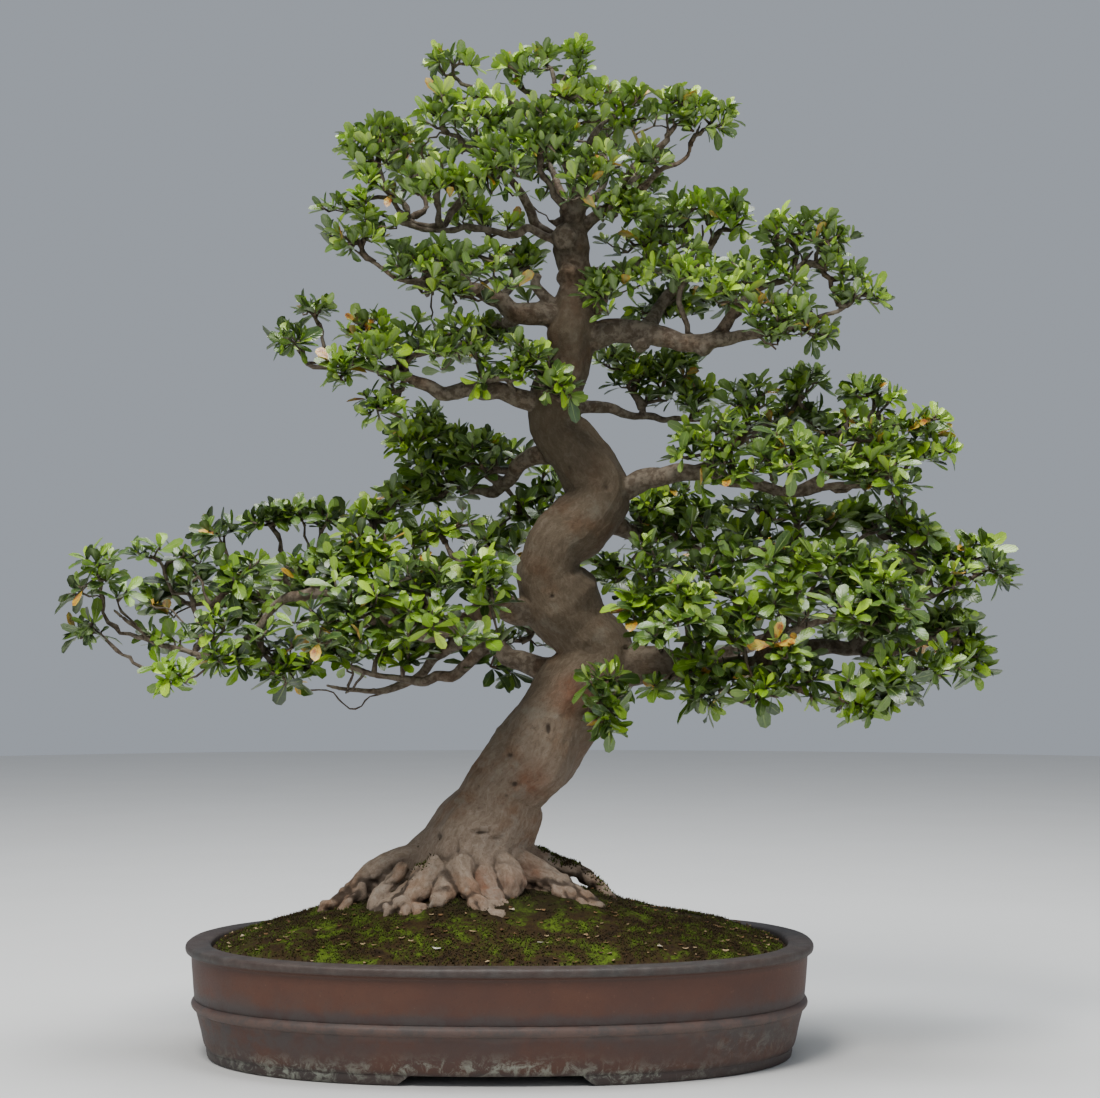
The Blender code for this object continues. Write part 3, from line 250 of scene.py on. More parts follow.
# Leafy sprays: name, the limb that carries it, and its tufts, each a middle, three half
# sizes and a number of rosettes
SPRAYS = [
    ("left_low_01", "low_left_front", [(-294, -15, 352, 20, 18, 15, 5), (-324, -22, 317, 16, 14, 9, 3)]),
    ("left_low_02", "low_left_front", [(-251, -38, 277, 15, 14, 11, 3), (-250, -8, 310, 18, 16, 8, 3)]),
    ("left_low_03", "low_left_front", [(-235, 25, 349, 19, 20, 13, 4), (-210, 14, 384, 12, 12, 7, 2),
        (-261, 5, 367, 18, 14, 8, 3), (-197, -10, 359, 21, 18, 12, 4)]),
    ("left_low_04", "low_left_front", [(-207, -66, 297, 22, 16, 11, 4), (-157, -50, 281, 21, 18, 13, 4)]),
    ("left_low_05", "low_left_front", [(-151, -38, 353, 21, 20, 13, 5), (-112, -98, 316, 24, 18, 15, 5)]),
    ("left_low_06", "low_left_front", [(-103, -48, 364, 22, 20, 13, 4), (-97, -2, 393, 21, 18, 10, 4)]),
    ("left_low_07", "low_left_front", [(-17, -66, 347, 20, 18, 15, 5), (-56, -92, 332, 24, 20, 18, 6),
        (-52, -12, 375, 24, 20, 13, 5)]),
    ("left_low_08", "low_left_rear", [(-155, 32, 394, 25, 16, 6, 4), (-190, 70, 329, 24, 22, 13, 5),
        (-157, 135, 342, 21, 16, 15, 4), (-246, 52, 332, 18, 16, 10, 3)]),
    ("left_low_09", "low_left_rear", [(-61, 95, 349, 25, 24, 16, 5), (-96, 142, 327, 25, 16, 16, 4),
        (-123, 80, 359, 24, 22, 15, 5)]),
    ("left_low_10", "low_left_loop", [(-66, 66, 294, 25, 16, 7, 3), (-125, 60, 292, 22, 18, 8, 3)]),
    ("left_low_11", "low_left_back", [(-3, 55, 377, 19, 20, 10, 4), (20, 78, 307, 13, 16, 10, 3)]),
    ("mid_left_01", "rear_left_rise", [(-64, 52, 455, 16, 16, 9, 4), (-66, 84, 411, 21, 16, 7, 4),
        (-52, 70, 431, 19, 16, 7, 3)]),
    ("mid_left_02", "rear_left", [(-17, 50, 445, 19, 16, 11, 5), (25, 85, 405, 18, 20, 15, 5),
        (0, 100, 433, 18, 16, 12, 3)]),
    ("left_mid_01", "left_mid", [(-155, -30, 527, 13, 10, 6, 3), (-141, -16, 552, 7, 8, 4, 2)]),
    ("left_mid_02", "left_mid", [(-103, -42, 515, 22, 14, 7, 4), (-93, -8, 533, 18, 14, 9, 4),
        (-90, -42, 477, 18, 16, 9, 4)]),
    ("left_mid_03", "left_mid", [(-30, -38, 521, 21, 16, 11, 5), (23, -46, 509, 15, 12, 13, 4),
        (-67, -10, 532, 10, 12, 9, 2)]),
    ("left_mid_04", "left_upper_rear", [(-6, 42, 530, 19, 20, 12, 4), (-45, 72, 518, 19, 18, 12, 4)]),
    ("right_mid_01", "right_mid_rise", [(184, 2, 476, 20, 18, 11, 4), (225, 16, 497, 12, 12, 8, 3),
        (223, 32, 468, 19, 18, 10, 3)]),
    ("right_mid_02", "right_mid_outer", [(277, 5, 492, 15, 12, 9, 3), (315, 0, 468, 17, 14, 9, 4)]),
    ("right_mid_03", "right_mid", [(160, -38, 450, 21, 16, 13, 4), (215, -52, 441, 21, 16, 12, 5),
        (148, -48, 430, 10, 8, 5, 1)]),
    ("right_mid_04", "right_mid", [(274, -40, 438, 22, 16, 11, 5), (317, 0, 439, 17, 16, 12, 4)]),
    ("right_mid_05", "right_mid_outer", [(254, 66, 459, 22, 18, 13, 5), (197, 70, 450, 22, 20, 13, 4)]),
    ("mid_right_01", "rear_thin", [(111, 62, 503, 22, 20, 11, 5), (140, 50, 481, 13, 14, 10, 3)]),
    ("right_low_01", "rear_right", [(141, 48, 384, 25, 24, 12, 5), (141, 120, 356, 24, 16, 16, 4),
        (83, 88, 352, 10, 16, 13, 3), (125, 42, 407, 21, 18, 9, 4)]),
    ("right_low_02", "low_right_rise", [(195, 18, 389, 21, 20, 10, 4), (221, -14, 389, 12, 12, 10, 2)]),
    ("right_low_03", "low_right_outer", [(301, 2, 385, 17, 14, 9, 4), (251, 12, 383, 15, 14, 7, 3),
        (274, 36, 387, 18, 14, 7, 3)]),
    ("right_low_04", "low_right_outer", [(341, -20, 347, 21, 16, 10, 5), (372, -10, 359, 7, 10, 7, 2),
        (342, 14, 369, 18, 14, 7, 3)]),
    ("right_low_05", "low_right", [(141, -96, 332, 19, 16, 13, 4), (113, -70, 346, 16, 14, 14, 4)]),
    ("right_low_06", "low_right_rise", [(180, -72, 331, 19, 16, 12, 4), (171, -40, 361, 22, 18, 13, 5)]),
    ("right_low_07", "low_right_rise", [(217, -62, 362, 20, 16, 12, 4), (260, -55, 361, 21, 16, 12, 5)]),
    ("right_low_08", "low_right", [(286, -84, 282, 21, 16, 12, 4), (286, -80, 331, 22, 16, 13, 5),
        (269, -70, 256, 18, 14, 7, 4)]),
    ("right_low_09", "low_right", [(323, -12, 310, 19, 18, 11, 5), (346, 14, 294, 13, 12, 12, 3),
        (327, -48, 284, 18, 14, 7, 3)]),
    ("right_low_10", "low_right", [(199, -74, 270, 19, 14, 10, 4), (153, -70, 262, 20, 14, 10, 4),
        (215, -84, 301, 16, 14, 10, 3), (160, -64, 295, 19, 14, 9, 3)]),
    ("right_low_11", "low_right_rear", [(193, 84, 322, 25, 22, 13, 5), (223, 130, 361, 24, 16, 16, 5)]),
    ("right_low_12", "low_right_rear", [(264, 100, 310, 24, 20, 13, 5), (301, 78, 352, 22, 20, 13, 5)]),
    ("trunk_front", "trunk", [(79, -56, 260, 16, 8, 16, 4)]),
    ("right_upper_01", "right_upper_rear", [(119, 28, 604, 19, 16, 9, 4), (143, 52, 625, 15, 14, 7, 3),
        (173, 30, 623, 10, 12, 10, 3)]),
    ("right_upper_02", "right_upper_rise", [(174, -36, 571, 19, 14, 10, 4),
        (141, -30, 578, 21, 16, 10, 5)]),
    ("right_upper_03", "right_upper_rise", [(224, 2, 608, 21, 16, 10, 6), (265, 0, 566, 16, 12, 9, 5),
        (199, 6, 582, 16, 12, 6, 3)]),
    ("right_upper_04", "right_upper", [(214, -42, 550, 22, 14, 10, 5), (234, -8, 529, 21, 12, 5, 3)]),
    ("right_upper_05", "right_upper_rear", [(125, 52, 553, 19, 18, 10, 4), (169, 60, 562, 21, 18, 13, 5)]),
    ("right_upper_06", "rear_upper", [(90, -30, 569, 13, 10, 7, 2)]),
    ("left_upper_01", "left_upper", [(-56, -38, 586, 21, 14, 9, 5), (-112, -24, 603, 14, 10, 6, 3)]),
    ("left_upper_02", "left_upper", [(-20, -52, 586, 19, 14, 12, 5), (-41, -34, 556, 15, 12, 6, 2)]),
    ("left_upper_03", "left_upper", [(15, 34, 585, 15, 14, 7, 3), (-45, 52, 582, 24, 20, 13, 5),
        (-15, 16, 616, 14, 12, 6, 3)]),
    ("apex_01", "leader", [(-8, -22, 698, 18, 14, 7, 3), (-34, -5, 731, 19, 12, 7, 4)]),
    ("apex_02", "leader", [(22, 8, 728, 16, 14, 9, 4), (59, -5, 734, 10, 10, 10, 3)]),
    ("apex_03", "apex_left", [(-4, -44, 663, 20, 14, 12, 5), (-48, -14, 698, 15, 12, 7, 3)]),
    ("apex_04", "leader", [(33, -42, 681, 21, 14, 12, 5), (61, -14, 694, 19, 14, 10, 4),
        (90, 20, 687, 19, 16, 10, 5), (74, -50, 654, 19, 12, 10, 4)]),
    ("apex_05", "apex_right", [(104, -18, 661, 19, 14, 8, 4), (145, -5, 701, 20, 14, 10, 5),
        (93, -26, 630, 14, 12, 8, 3)]),
    ("apex_06", "apex_left", [(-41, -32, 650, 21, 16, 10, 5), (-64, 48, 660, 19, 16, 13, 4)]),
    ("apex_07", "apex_pale_rise", [(-93, 0, 676, 21, 16, 10, 5), (-129, -11, 632, 10, 8, 6, 2),
        (-100, -16, 649, 11, 10, 7, 2)]),
    ("apex_08", "apex_rear", [(22, 66, 666, 24, 18, 15, 5), (-18, 52, 675, 21, 18, 13, 5)]),
    ("apex_09", "apex_rear_right", [(76, 68, 673, 22, 18, 15, 5), (104, 50, 643, 16, 14, 12, 3)]),
]

# Whorls of leaves that show on the front: across, height and, for some, how far they lean to
# the right in degrees. First come those round the trunk's top and some of the left tier, then
# the rest tier by tier
WHORLS = [
    (11, 655), (-5, 658), (3, 644), (28, 663), (23, 647), (-13, 647), (-22, 638), (45, 663), (54, 647),
    (67, 644), (78, 652), (92, 627), (100, 619), (89, 638), (83, 616), (94, 602), (111, 614), (-16, 625),
    (-155, 336), (-142, 324), (-129, 314), (-113, 324), (-155, 314), (-136, 301), (-120, 291),
    (-191, 324), (-174, 308), (-200, 340), (-181, 336), (-123, 343), (-104, 301), (-91, 291), (-94, 324),
    (-78, 298), (-52, 311), (-46, 343), (-223, 314), (-213, 308), (-110, 362), (-97, 352), (-166, 330),
    (-146, 340), (-11, 616), (9, 616), (-33, 613), (36, 641), (70, 627), (78, 600), (89, 591), (92, 578),
    (72, 572), (78, 564), (12, 636), (30, 632), (50, 632), (62, 634), (-2, 586), (11, 580), (22, 589),
    (6, 566), (64, 561), (103, 650), (-46, 641), (-31, 644), (-58, 636), (-309, 362, -20), (-300, 360),
    (-291, 362, 10), (-302, 357, -60), (-299, 349, 10), (-293, 345, 20), (-313, 340, -35),
    (-319, 335, -70), (-285, 334, 10), (-278, 338, 35), (-264, 332, -40), (-258, 330, -5), (-254, 340),
    (-308, 312, -75), (-304, 314, -30), (-306, 308, 170), (-271, 366, -25), (-261, 364), (-254, 370, 10),
    (-243, 364), (-236, 364, 5), (-223, 360), (-228, 352), (-233, 341), (-222, 345, 10), (-245, 345, -10),
    (-209, 380), (-217, 382, -30), (-200, 384, 30), (-212, 381, -70), (-212, 358, -20), (-204, 356),
    (-194, 354, 5), (-186, 358, 20), (-180, 360, 30), (-199, 348), (-190, 346, 10), (-201, 338, -50),
    (-206, 330, -60), (-195, 336), (-188, 326, 10), (-196, 318, -10), (-184, 314), (-212, 318, -10),
    (-205, 314), (-256, 302, -30), (-262, 306, -60), (-238, 301), (-230, 304, 20), (-246, 304, -20),
    (-243, 275), (-248, 276, -40), (-238, 276, 20), (-246, 268, -165), (-254, 284, -20), (-209, 289),
    (-216, 292, -40), (-202, 290, 20), (-212, 285, -100), (-209, 284, 180), (-194, 280, 170),
    (-195, 284, 60), (-164, 278, -30), (-159, 283), (-151, 282, 20), (-170, 276, -60), (-160, 268, -150),
    (-152, 270, 180), (-172, 296, -10), (-183, 303), (-155, 297), (-151, 358), (-160, 356, -30),
    (-143, 358, 20), (-150, 346), (-138, 344, 10), (-179, 392, -25), (-171, 393), (-166, 394, 5),
    (-158, 394), (-150, 396), (-141, 397), (-133, 396, 10), (-183, 388, -70), (-129, 393, 10),
    (-124, 394, 30), (-109, 393, -25), (-102, 395), (-94, 394, 5), (-86, 392, 20), (-95, 401),
    (-82, 389, 40), (-113, 381, -70), (-106, 380, -30), (-86, 377, -10), (-77, 379), (-69, 381),
    (-60, 383), (-54, 381, 5), (-46, 383, 10), (-56, 373), (-66, 371), (-46, 389, 20), (-30, 390, 5),
    (-22, 387, 70), (-135, 362), (-126, 361), (-118, 367), (-112, 370), (-106, 364), (-99, 367, 5),
    (-92, 366), (-83, 364, 10), (-110, 356, -15), (-102, 354), (-92, 356), (-123, 350, -10), (-116, 347),
    (-130, 351), (-92, 347), (-83, 344), (-87, 338, 10), (-63, 358), (-54, 356), (-46, 353, 10),
    (-69, 353, -10), (-60, 350), (-67, 338, -10), (-59, 340), (-50, 338), (-41, 341, 15), (-47, 344),
    (-69, 324, -10), (-60, 322), (-51, 321, 10), (-44, 323, 30), (-20, 341), (-27, 344, -30),
    (-12, 344, 20), (-17, 350), (-7, 347, 10), (-2, 341, 40), (-10, 358), (-17, 358, -10),
    (-25, 360, -20), (2, 356, 20), (-14, 360), (-11, 374), (-5, 374, 10), (2, 379), (8, 374, 10),
    (11, 367), (-16, 377, -20), (-5, 328, 60), (-15, 328), (-113, 331, -20), (-123, 332, -10), (-92, 335),
    (-102, 328), (-93, 324, 60), (-115, 318, -60), (-106, 321), (-112, 314, -45), (-128, 308, -60),
    (-103, 310, 20), (-135, 317, -50), (-50, 308, 150), (-69, 305), (-80, 302), (-84, 298),
    (-87, 295, 160), (-95, 294), (-128, 294), (-118, 291, 10), (-109, 294), (-135, 289, -20), (-145, 282),
    (-141, 285, 10), (-74, 284), (-69, 289), (-57, 294), (-51, 297, 10), (-64, 293), (-26, 305),
    (-17, 304), (-11, 303), (3, 304), (8, 276, 175), (-4, 281, 60), (-23, 284), (5, 396, -60),
    (43, 416, 40), (18, 406), (24, 412), (32, 400, 10), (39, 403, 30), (12, 394, -20), (22, 393),
    (29, 412), (-82, 412, -30), (-74, 413), (-66, 413), (-57, 412, 10), (-69, 405), (-60, 403),
    (-51, 406, 20), (-79, 405, -10), (106, 406, -20), (115, 410), (124, 407), (132, 410, 20),
    (102, 399, -30), (114, 400), (127, 400, 10), (140, 414, 40), (151, 417, 60), (147, 394, -10),
    (155, 396), (166, 391, 10), (173, 400, 10), (138, 393), (132, 390), (121, 390, -10), (112, 391),
    (105, 389, -20), (109, 383), (119, 381), (132, 380), (144, 383), (138, 373), (124, 371), (112, 370),
    (104, 370, -10), (151, 376), (185, 400, -10), (190, 403), (197, 400, 5), (206, 399), (212, 404),
    (219, 400), (229, 402, 10), (232, 394, 30), (223, 390), (204, 390), (193, 384), (161, 386),
    (170, 386, 5), (177, 381), (178, 373), (170, 370), (161, 366), (173, 361), (180, 361, 5),
    (155, 358, -10), (166, 354), (152, 351, -15), (188, 377), (197, 377), (207, 379), (217, 377),
    (227, 377), (237, 379), (190, 366), (201, 364), (212, 367), (222, 364), (233, 366), (197, 356),
    (209, 356), (220, 354), (232, 356), (242, 393), (249, 393), (245, 386), (253, 394, 10), (262, 396),
    (266, 399), (243, 366), (252, 364), (260, 366), (245, 356), (256, 356), (265, 356), (101, 353, -10),
    (109, 351), (115, 357, 10), (99, 338, -20), (108, 340), (116, 341, 10), (114, 333), (102, 330, -10),
    (95, 328, -20), (99, 324, -10), (108, 324, 10), (132, 333, -20), (138, 334), (144, 333, 10),
    (132, 341), (124, 338, -20), (141, 344, 10), (151, 333, 30), (138, 326), (132, 324, -20), (170, 334),
    (162, 338, -20), (178, 334, 20), (174, 343), (186, 324, 10), (191, 321, 20), (181, 318), (204, 343),
    (214, 344), (223, 338), (224, 330), (214, 333), (204, 330), (229, 321), (222, 320), (81, 357),
    (86, 353), (78, 347), (85, 343), (70, 360), (99, 318), (109, 307), (114, 304), (121, 314), (132, 313),
    (141, 316), (151, 316), (161, 314), (167, 310), (155, 305), (144, 301), (174, 301), (183, 302),
    (181, 308), (128, 291, 60), (145, 269, -30), (152, 269), (161, 269, 10), (155, 278), (165, 276, 10),
    (173, 272, 40), (138, 272, -50), (149, 285), (160, 286), (149, 258, 170), (159, 258, 160),
    (141, 258, -80), (156, 252, 120), (114, 268), (114, 264, 175), (73, 275), (66, 271, -60),
    (88, 273, 60), (81, 275, 10), (79, 261, -10), (86, 258, 30), (73, 258, -40), (79, 249, 160),
    (73, 245, -100), (85, 245, 100), (78, 239, 180), (81, 235, 150), (190, 269, -20), (197, 267),
    (206, 270, 20), (187, 276, -10), (208, 276, 10), (204, 259, 110), (193, 256, 170), (185, 262, -110),
    (216, 267, 60), (210, 288), (210, 295), (220, 289, 10), (204, 300, -10), (217, 298, 10),
    (224, 272, 30), (233, 272, 60), (229, 279, 10), (231, 258, 175), (244, 260, 175), (262, 393),
    (268, 397), (275, 393), (288, 394), (280, 386), (268, 385), (290, 386), (301, 393, 10), (295, 390),
    (307, 390), (314, 390, 20), (302, 383), (311, 383, 10), (319, 382, 30), (288, 367), (298, 369),
    (307, 370), (317, 370), (325, 373, 10), (294, 360), (305, 360), (315, 362), (323, 365),
    (290, 346, 10), (284, 347, -30), (295, 347, 30), (302, 352, 20), (267, 363), (275, 360), (267, 351),
    (276, 350), (333, 367, -10), (341, 368), (349, 370), (337, 362), (346, 363), (329, 366, -10),
    (354, 371, 20), (359, 374, 40), (362, 370, 30), (366, 358, 20), (372, 358, 40), (368, 352, 50),
    (373, 347, 110), (358, 364, 20), (354, 344, 160), (329, 351), (337, 352), (346, 352), (326, 342),
    (337, 340), (339, 326, 150), (347, 324, 130), (334, 328), (315, 342), (310, 334), (275, 331, -10),
    (283, 335), (288, 330, 10), (279, 324), (271, 340), (291, 323, 20), (299, 334, 40), (305, 324, 60),
    (246, 348), (255, 348), (247, 336), (259, 342), (252, 327), (243, 326), (262, 328), (262, 320),
    (259, 314), (267, 314), (275, 311, 10), (283, 314), (254, 316, -20), (271, 303, 20), (280, 304, 20),
    (290, 307), (301, 314), (302, 305), (295, 310), (307, 316), (317, 316), (325, 318), (333, 316),
    (329, 310), (322, 307, -20), (337, 314, 20), (317, 310, -20), (326, 293, -40), (319, 295, -30),
    (333, 295), (329, 292, -60), (342, 304, -10), (349, 307, 10), (354, 303, 30), (343, 295),
    (351, 296, 20), (355, 288, 60), (347, 288, 10), (339, 287, -10), (342, 279, 140), (350, 280, 150),
    (353, 277, 160), (310, 280, -60), (319, 283, -20), (327, 285), (333, 283, 20), (325, 279, 60),
    (326, 275, 140), (287, 280), (294, 276, 50), (283, 281, -20), (288, 285), (291, 291, 10),
    (296, 281, 40), (262, 271), (258, 272, -15), (280, 267, -50), (286, 268, -5), (283, 261),
    (291, 257, 100), (287, 255, 170), (262, 259, -30), (267, 259), (274, 257, 20), (260, 251, -140),
    (267, 251, 180), (274, 248, 170), (280, 253, 150), (256, 255, -100), (234, 273, 60), (294, 264, 150),
    (302, 269, 160), (109, 485), (114, 501), (107, 499), (123, 510, 10), (128, 504, 10), (136, 507),
    (140, 501, 40), (137, 487), (131, 488, -10), (152, 487, 20), (156, 483, 40), (147, 488, 10),
    (140, 479), (144, 476), (174, 487, -20), (183, 488), (193, 490, 20), (199, 487, 60), (169, 479, -30),
    (179, 479), (188, 477), (198, 477, 30), (183, 472), (190, 493, -15), (226, 498), (221, 496, -20),
    (231, 498, 20), (236, 499, 40), (215, 495, -60), (239, 493, 90), (221, 487, -50), (226, 491),
    (272, 485, -10), (277, 487), (282, 488, 20), (264, 485, -30), (269, 493), (291, 482, 50),
    (295, 483, 60), (263, 487, -75), (269, 472), (271, 464), (266, 468, -30), (214, 476, -10), (221, 477),
    (231, 472, 20), (239, 471, 60), (209, 472, -40), (215, 466), (225, 468), (234, 463, 10),
    (244, 463, 10), (156, 468, -10), (166, 466), (175, 464), (185, 466), (194, 466), (202, 464),
    (160, 458), (172, 456), (183, 458), (194, 455), (206, 456), (152, 458, -20), (140, 456, -80),
    (139, 449, -40), (142, 441, -30), (134, 438, -80), (147, 449), (144, 453, -20), (150, 437),
    (156, 445), (166, 444), (175, 444), (158, 434), (167, 434), (175, 431), (163, 423), (180, 425, 160),
    (188, 428), (172, 421), (193, 442, -30), (202, 445), (212, 445), (221, 449), (226, 447, 10),
    (206, 434, -30), (217, 433), (226, 437, 10), (236, 444), (218, 428, 170), (231, 434, 20), (209, 428),
    (198, 431), (239, 437), (245, 436, 60), (242, 428), (252, 426), (242, 456), (248, 452),
    (253, 447, -10), (247, 460), (256, 458), (263, 453), (264, 456), (274, 456), (282, 453), (293, 452),
    (301, 450, 10), (287, 447), (277, 461), (285, 461, 20), (299, 445, 40), (298, 463, -5), (307, 464),
    (317, 466, 20), (325, 468, 40), (328, 466, 60), (310, 458), (320, 458, 20), (326, 455, 60),
    (302, 458), (309, 442), (318, 445, 10), (326, 444, 30), (333, 444, 60), (336, 441, 80),
    (323, 437, 60), (310, 436), (302, 437), (261, 439), (269, 439), (275, 436), (283, 439), (291, 441),
    (295, 433), (283, 426), (264, 426), (271, 426), (256, 434), (256, 422), (267, 422, -20),
    (274, 420, 30), (290, 428), (277, 417, 85), (294, 418), (301, 423), (307, 418, 50), (294, 410, -100),
    (299, 412, 90), (301, 407, 30), (-123, 505, -10), (-120, 496, -60), (-93, 504), (-96, 478, -20),
    (-90, 479), (-83, 478, 10), (-101, 483, -40), (-88, 473), (-80, 472, 30), (-99, 470, -70),
    (-84, 495, 10), (-78, 495, 30), (-91, 467, 180), (-71, 468, -20), (-65, 465), (-59, 469),
    (-51, 470, 20), (-50, 466, 80), (-75, 460, -20), (-69, 457, -10), (-62, 459), (-56, 459),
    (-47, 457, 10), (-75, 451, -50), (-69, 450, -20), (-62, 450), (-55, 451, 10), (-77, 445, -80),
    (-70, 443, -60), (-62, 442), (-31, 456), (-35, 451, -30), (-28, 452, 10), (-25, 447), (-33, 445, -20),
    (-13, 445), (-8, 446, 20), (-3, 446, 40), (-20, 441, -10), (17, 439, -10), (-39, 438, -20),
    (-31, 437), (-24, 434), (-15, 434), (-7, 432), (-38, 432, -30), (-3, 428, 20), (3, 429, 50),
    (-11, 426), (-62, 434, -50), (-55, 434), (-50, 433, 20), (-55, 426, -10), (-59, 424, -30),
    (-79, 414, -70), (-75, 412, -20), (-69, 415), (-62, 417), (-57, 416), (-50, 415, 20), (-66, 407),
    (-60, 405), (-53, 407, 10), (-83, 402, -10), (-75, 403), (-39, 417), (-30, 419), (-25, 421),
    (-37, 411), (-24, 415), (32, 426), (39, 421, 20), (46, 416, 50), (-13, 495, -20), (-11, 496, 30),
    (-17, 492, 170), (42, 492), (45, 494, 40), (46, 491, 80), (37, 492, -20), (39, 500), (34, 486, -160),
    (52, 483, 150), (88, 634), (94, 633), (101, 629, 10), (108, 626, 30), (85, 628, -10), (93, 621),
    (101, 618, 20), (117, 618), (116, 610, -10), (124, 613), (130, 611, 10), (108, 608, -20),
    (103, 603, -20), (112, 602), (122, 600), (132, 600, 10), (104, 597), (137, 597, 30), (145, 595, 60),
    (129, 631, -20), (134, 629), (140, 626), (130, 621), (139, 620), (141, 615, 175), (150, 633),
    (147, 628, -10), (155, 629, 10), (160, 628, 20), (152, 621), (160, 620, 20), (165, 618, 30),
    (157, 613), (173, 629), (170, 623, -20), (178, 625, 20), (176, 618), (183, 618, 50), (173, 611),
    (181, 608, 150), (216, 615), (204, 613, -50), (209, 618, -20), (224, 616), (230, 616), (237, 615, 10),
    (245, 616, 20), (248, 611, 40), (199, 608, -60), (207, 607, -20), (217, 607), (227, 607), (237, 605),
    (245, 603, 20), (252, 603, 50), (255, 600, 80), (201, 600, -50), (211, 600, -10), (224, 598),
    (234, 600), (247, 593), (245, 585), (252, 590, 10), (247, 579, -10), (255, 580, 35), (266, 574),
    (273, 572, 30), (257, 571, -10), (257, 562, -20), (265, 561), (273, 562, 20), (281, 564, 50),
    (276, 557, 60), (283, 557, 80), (255, 554), (263, 554, 10), (173, 584, -50), (183, 585),
    (180, 579, -20), (189, 582), (198, 585), (206, 584), (211, 585, 20), (216, 580, 30), (199, 577),
    (193, 575), (209, 577), (216, 572), (222, 571, 60), (109, 589), (117, 587, -10), (127, 589),
    (137, 587), (147, 589), (153, 582, 10), (160, 580, 20), (130, 579), (140, 579), (150, 575),
    (124, 582, -20), (114, 579), (134, 571), (144, 571), (70, 572, -20), (76, 571), (85, 572), (93, 569),
    (99, 572), (104, 577), (108, 569), (85, 564), (73, 564, -20), (72, 557, -80), (76, 559), (80, 546),
    (101, 549, -110), (106, 546), (117, 559), (126, 559), (134, 557), (140, 553), (121, 551), (130, 549),
    (126, 543), (135, 544), (112, 561, -10), (144, 546), (157, 572), (166, 572), (175, 569),
    (183, 571, 10), (191, 569, 30), (158, 562), (168, 562), (176, 559, 10), (183, 561, 20), (153, 554),
    (163, 553), (175, 551), (171, 551, 180), (204, 553), (193, 553, -20), (186, 546, -10), (194, 544),
    (209, 549, 10), (216, 549), (224, 551, 20), (216, 543), (207, 541), (224, 543, 10), (230, 536),
    (235, 536, 30), (240, 538, 60), (227, 539, -20), (237, 530, 60), (245, 528, 80), (234, 523, 150),
    (191, 536), (199, 531), (209, 533), (219, 533), (225, 530), (207, 526), (76, 516), (85, 518, 20),
    (88, 515, 60), (72, 510, -20), (80, 510), (91, 508), (98, 510), (106, 508), (114, 508), (122, 510),
    (101, 515), (86, 494), (94, 494), (103, 495), (111, 497), (117, 494), (121, 500), (132, 510),
    (139, 507, 20), (140, 508, 70), (134, 515), (-126, 626, -10), (-121, 629, 10), (-134, 625, -60),
    (-116, 622, 30), (-105, 634), (-106, 627, -20), (-101, 619), (-121, 605, -30), (-114, 605),
    (-108, 603), (-103, 605, 10), (-98, 606, 30), (-119, 598, -70), (-116, 597, -80), (-113, 592, 180),
    (-95, 601, 60), (-79, 613), (-93, 611, -10), (-100, 614), (-80, 590, -20), (-71, 592, -10),
    (-61, 589), (-53, 589), (-79, 582, -50), (-71, 580, -10), (-61, 579), (-53, 579), (-66, 587),
    (-74, 574, -30), (-45, 597), (-37, 593), (-45, 587), (-35, 584), (-27, 587), (-19, 589), (-11, 593),
    (-3, 590, 10), (-42, 577), (-32, 576), (-22, 577), (-13, 579), (-3, 579), (-50, 574), (-51, 564),
    (-40, 566), (-32, 564), (-29, 561), (-37, 551, -80), (-38, 560), (-3, 563), (5, 590), (13, 589),
    (21, 593), (26, 589, 10), (16, 582), (8, 580), (23, 580), (20, 556, -20), (-35, 616), (-27, 618),
    (-16, 621), (-8, 619), (-13, 614), (8, 613), (5, 613, -20), (-22, 626), (15, 608), (-139, 548),
    (-143, 550, -30), (-134, 550, 30), (-147, 548, -60), (-134, 550, 80), (-158, 529, -30),
    (-163, 527, -60), (-153, 532), (-148, 530, 30), (-151, 524, 60), (-155, 521, 170), (-166, 524, -90),
    (-126, 511, -20), (-119, 506), (-124, 501, -50), (-121, 498, -80), (-116, 505, 20), (-108, 539, -20),
    (-100, 540), (-93, 542), (-89, 540, 10), (-110, 530, -20), (-101, 530), (-93, 530), (-87, 534),
    (-105, 524, -60), (-93, 522), (-84, 530, 10), (-79, 521, 20), (-87, 521, -10), (-71, 532), (-61, 540),
    (-63, 524), (-110, 514), (-100, 513), (-90, 513), (-80, 514), (-72, 516), (-61, 521), (-53, 524),
    (-45, 522), (-37, 521), (-51, 516), (-42, 514), (-45, 534), (-35, 537), (-27, 537), (-18, 535),
    (-8, 535), (-32, 527), (-22, 524), (-13, 526), (-3, 530), (-27, 516), (-19, 516), (-11, 516),
    (3, 530), (12, 524), (20, 518), (24, 514), (13, 510), (20, 506), (29, 514, 20), (8, 500), (16, 497),
    (11, 509), (16, 505), (-35, 729), (-39, 732, -10), (-31, 732, 15), (-47, 730, -30), (-47, 735, -20),
    (-49, 729, -75), (-48, 727, -120), (-23, 729, 10), (-21, 727, 80), (-26, 728), (8, 727, -10),
    (4, 727, -40), (0, 727, -75), (16, 732), (20, 733), (26, 734, 10), (32, 735, 10), (36, 735),
    (22, 724), (16, 722, -10), (27, 725), (33, 727, 10), (15, 719, -150), (-46, 708, -20), (-45, 709),
    (-43, 709, 35), (-54, 697, -20), (-51, 698), (-58, 697, -70), (-47, 696), (-42, 698, 10),
    (-40, 702, 20), (-58, 691, -60), (-51, 689), (-46, 689), (-29, 705, -20), (-21, 708), (-14, 707),
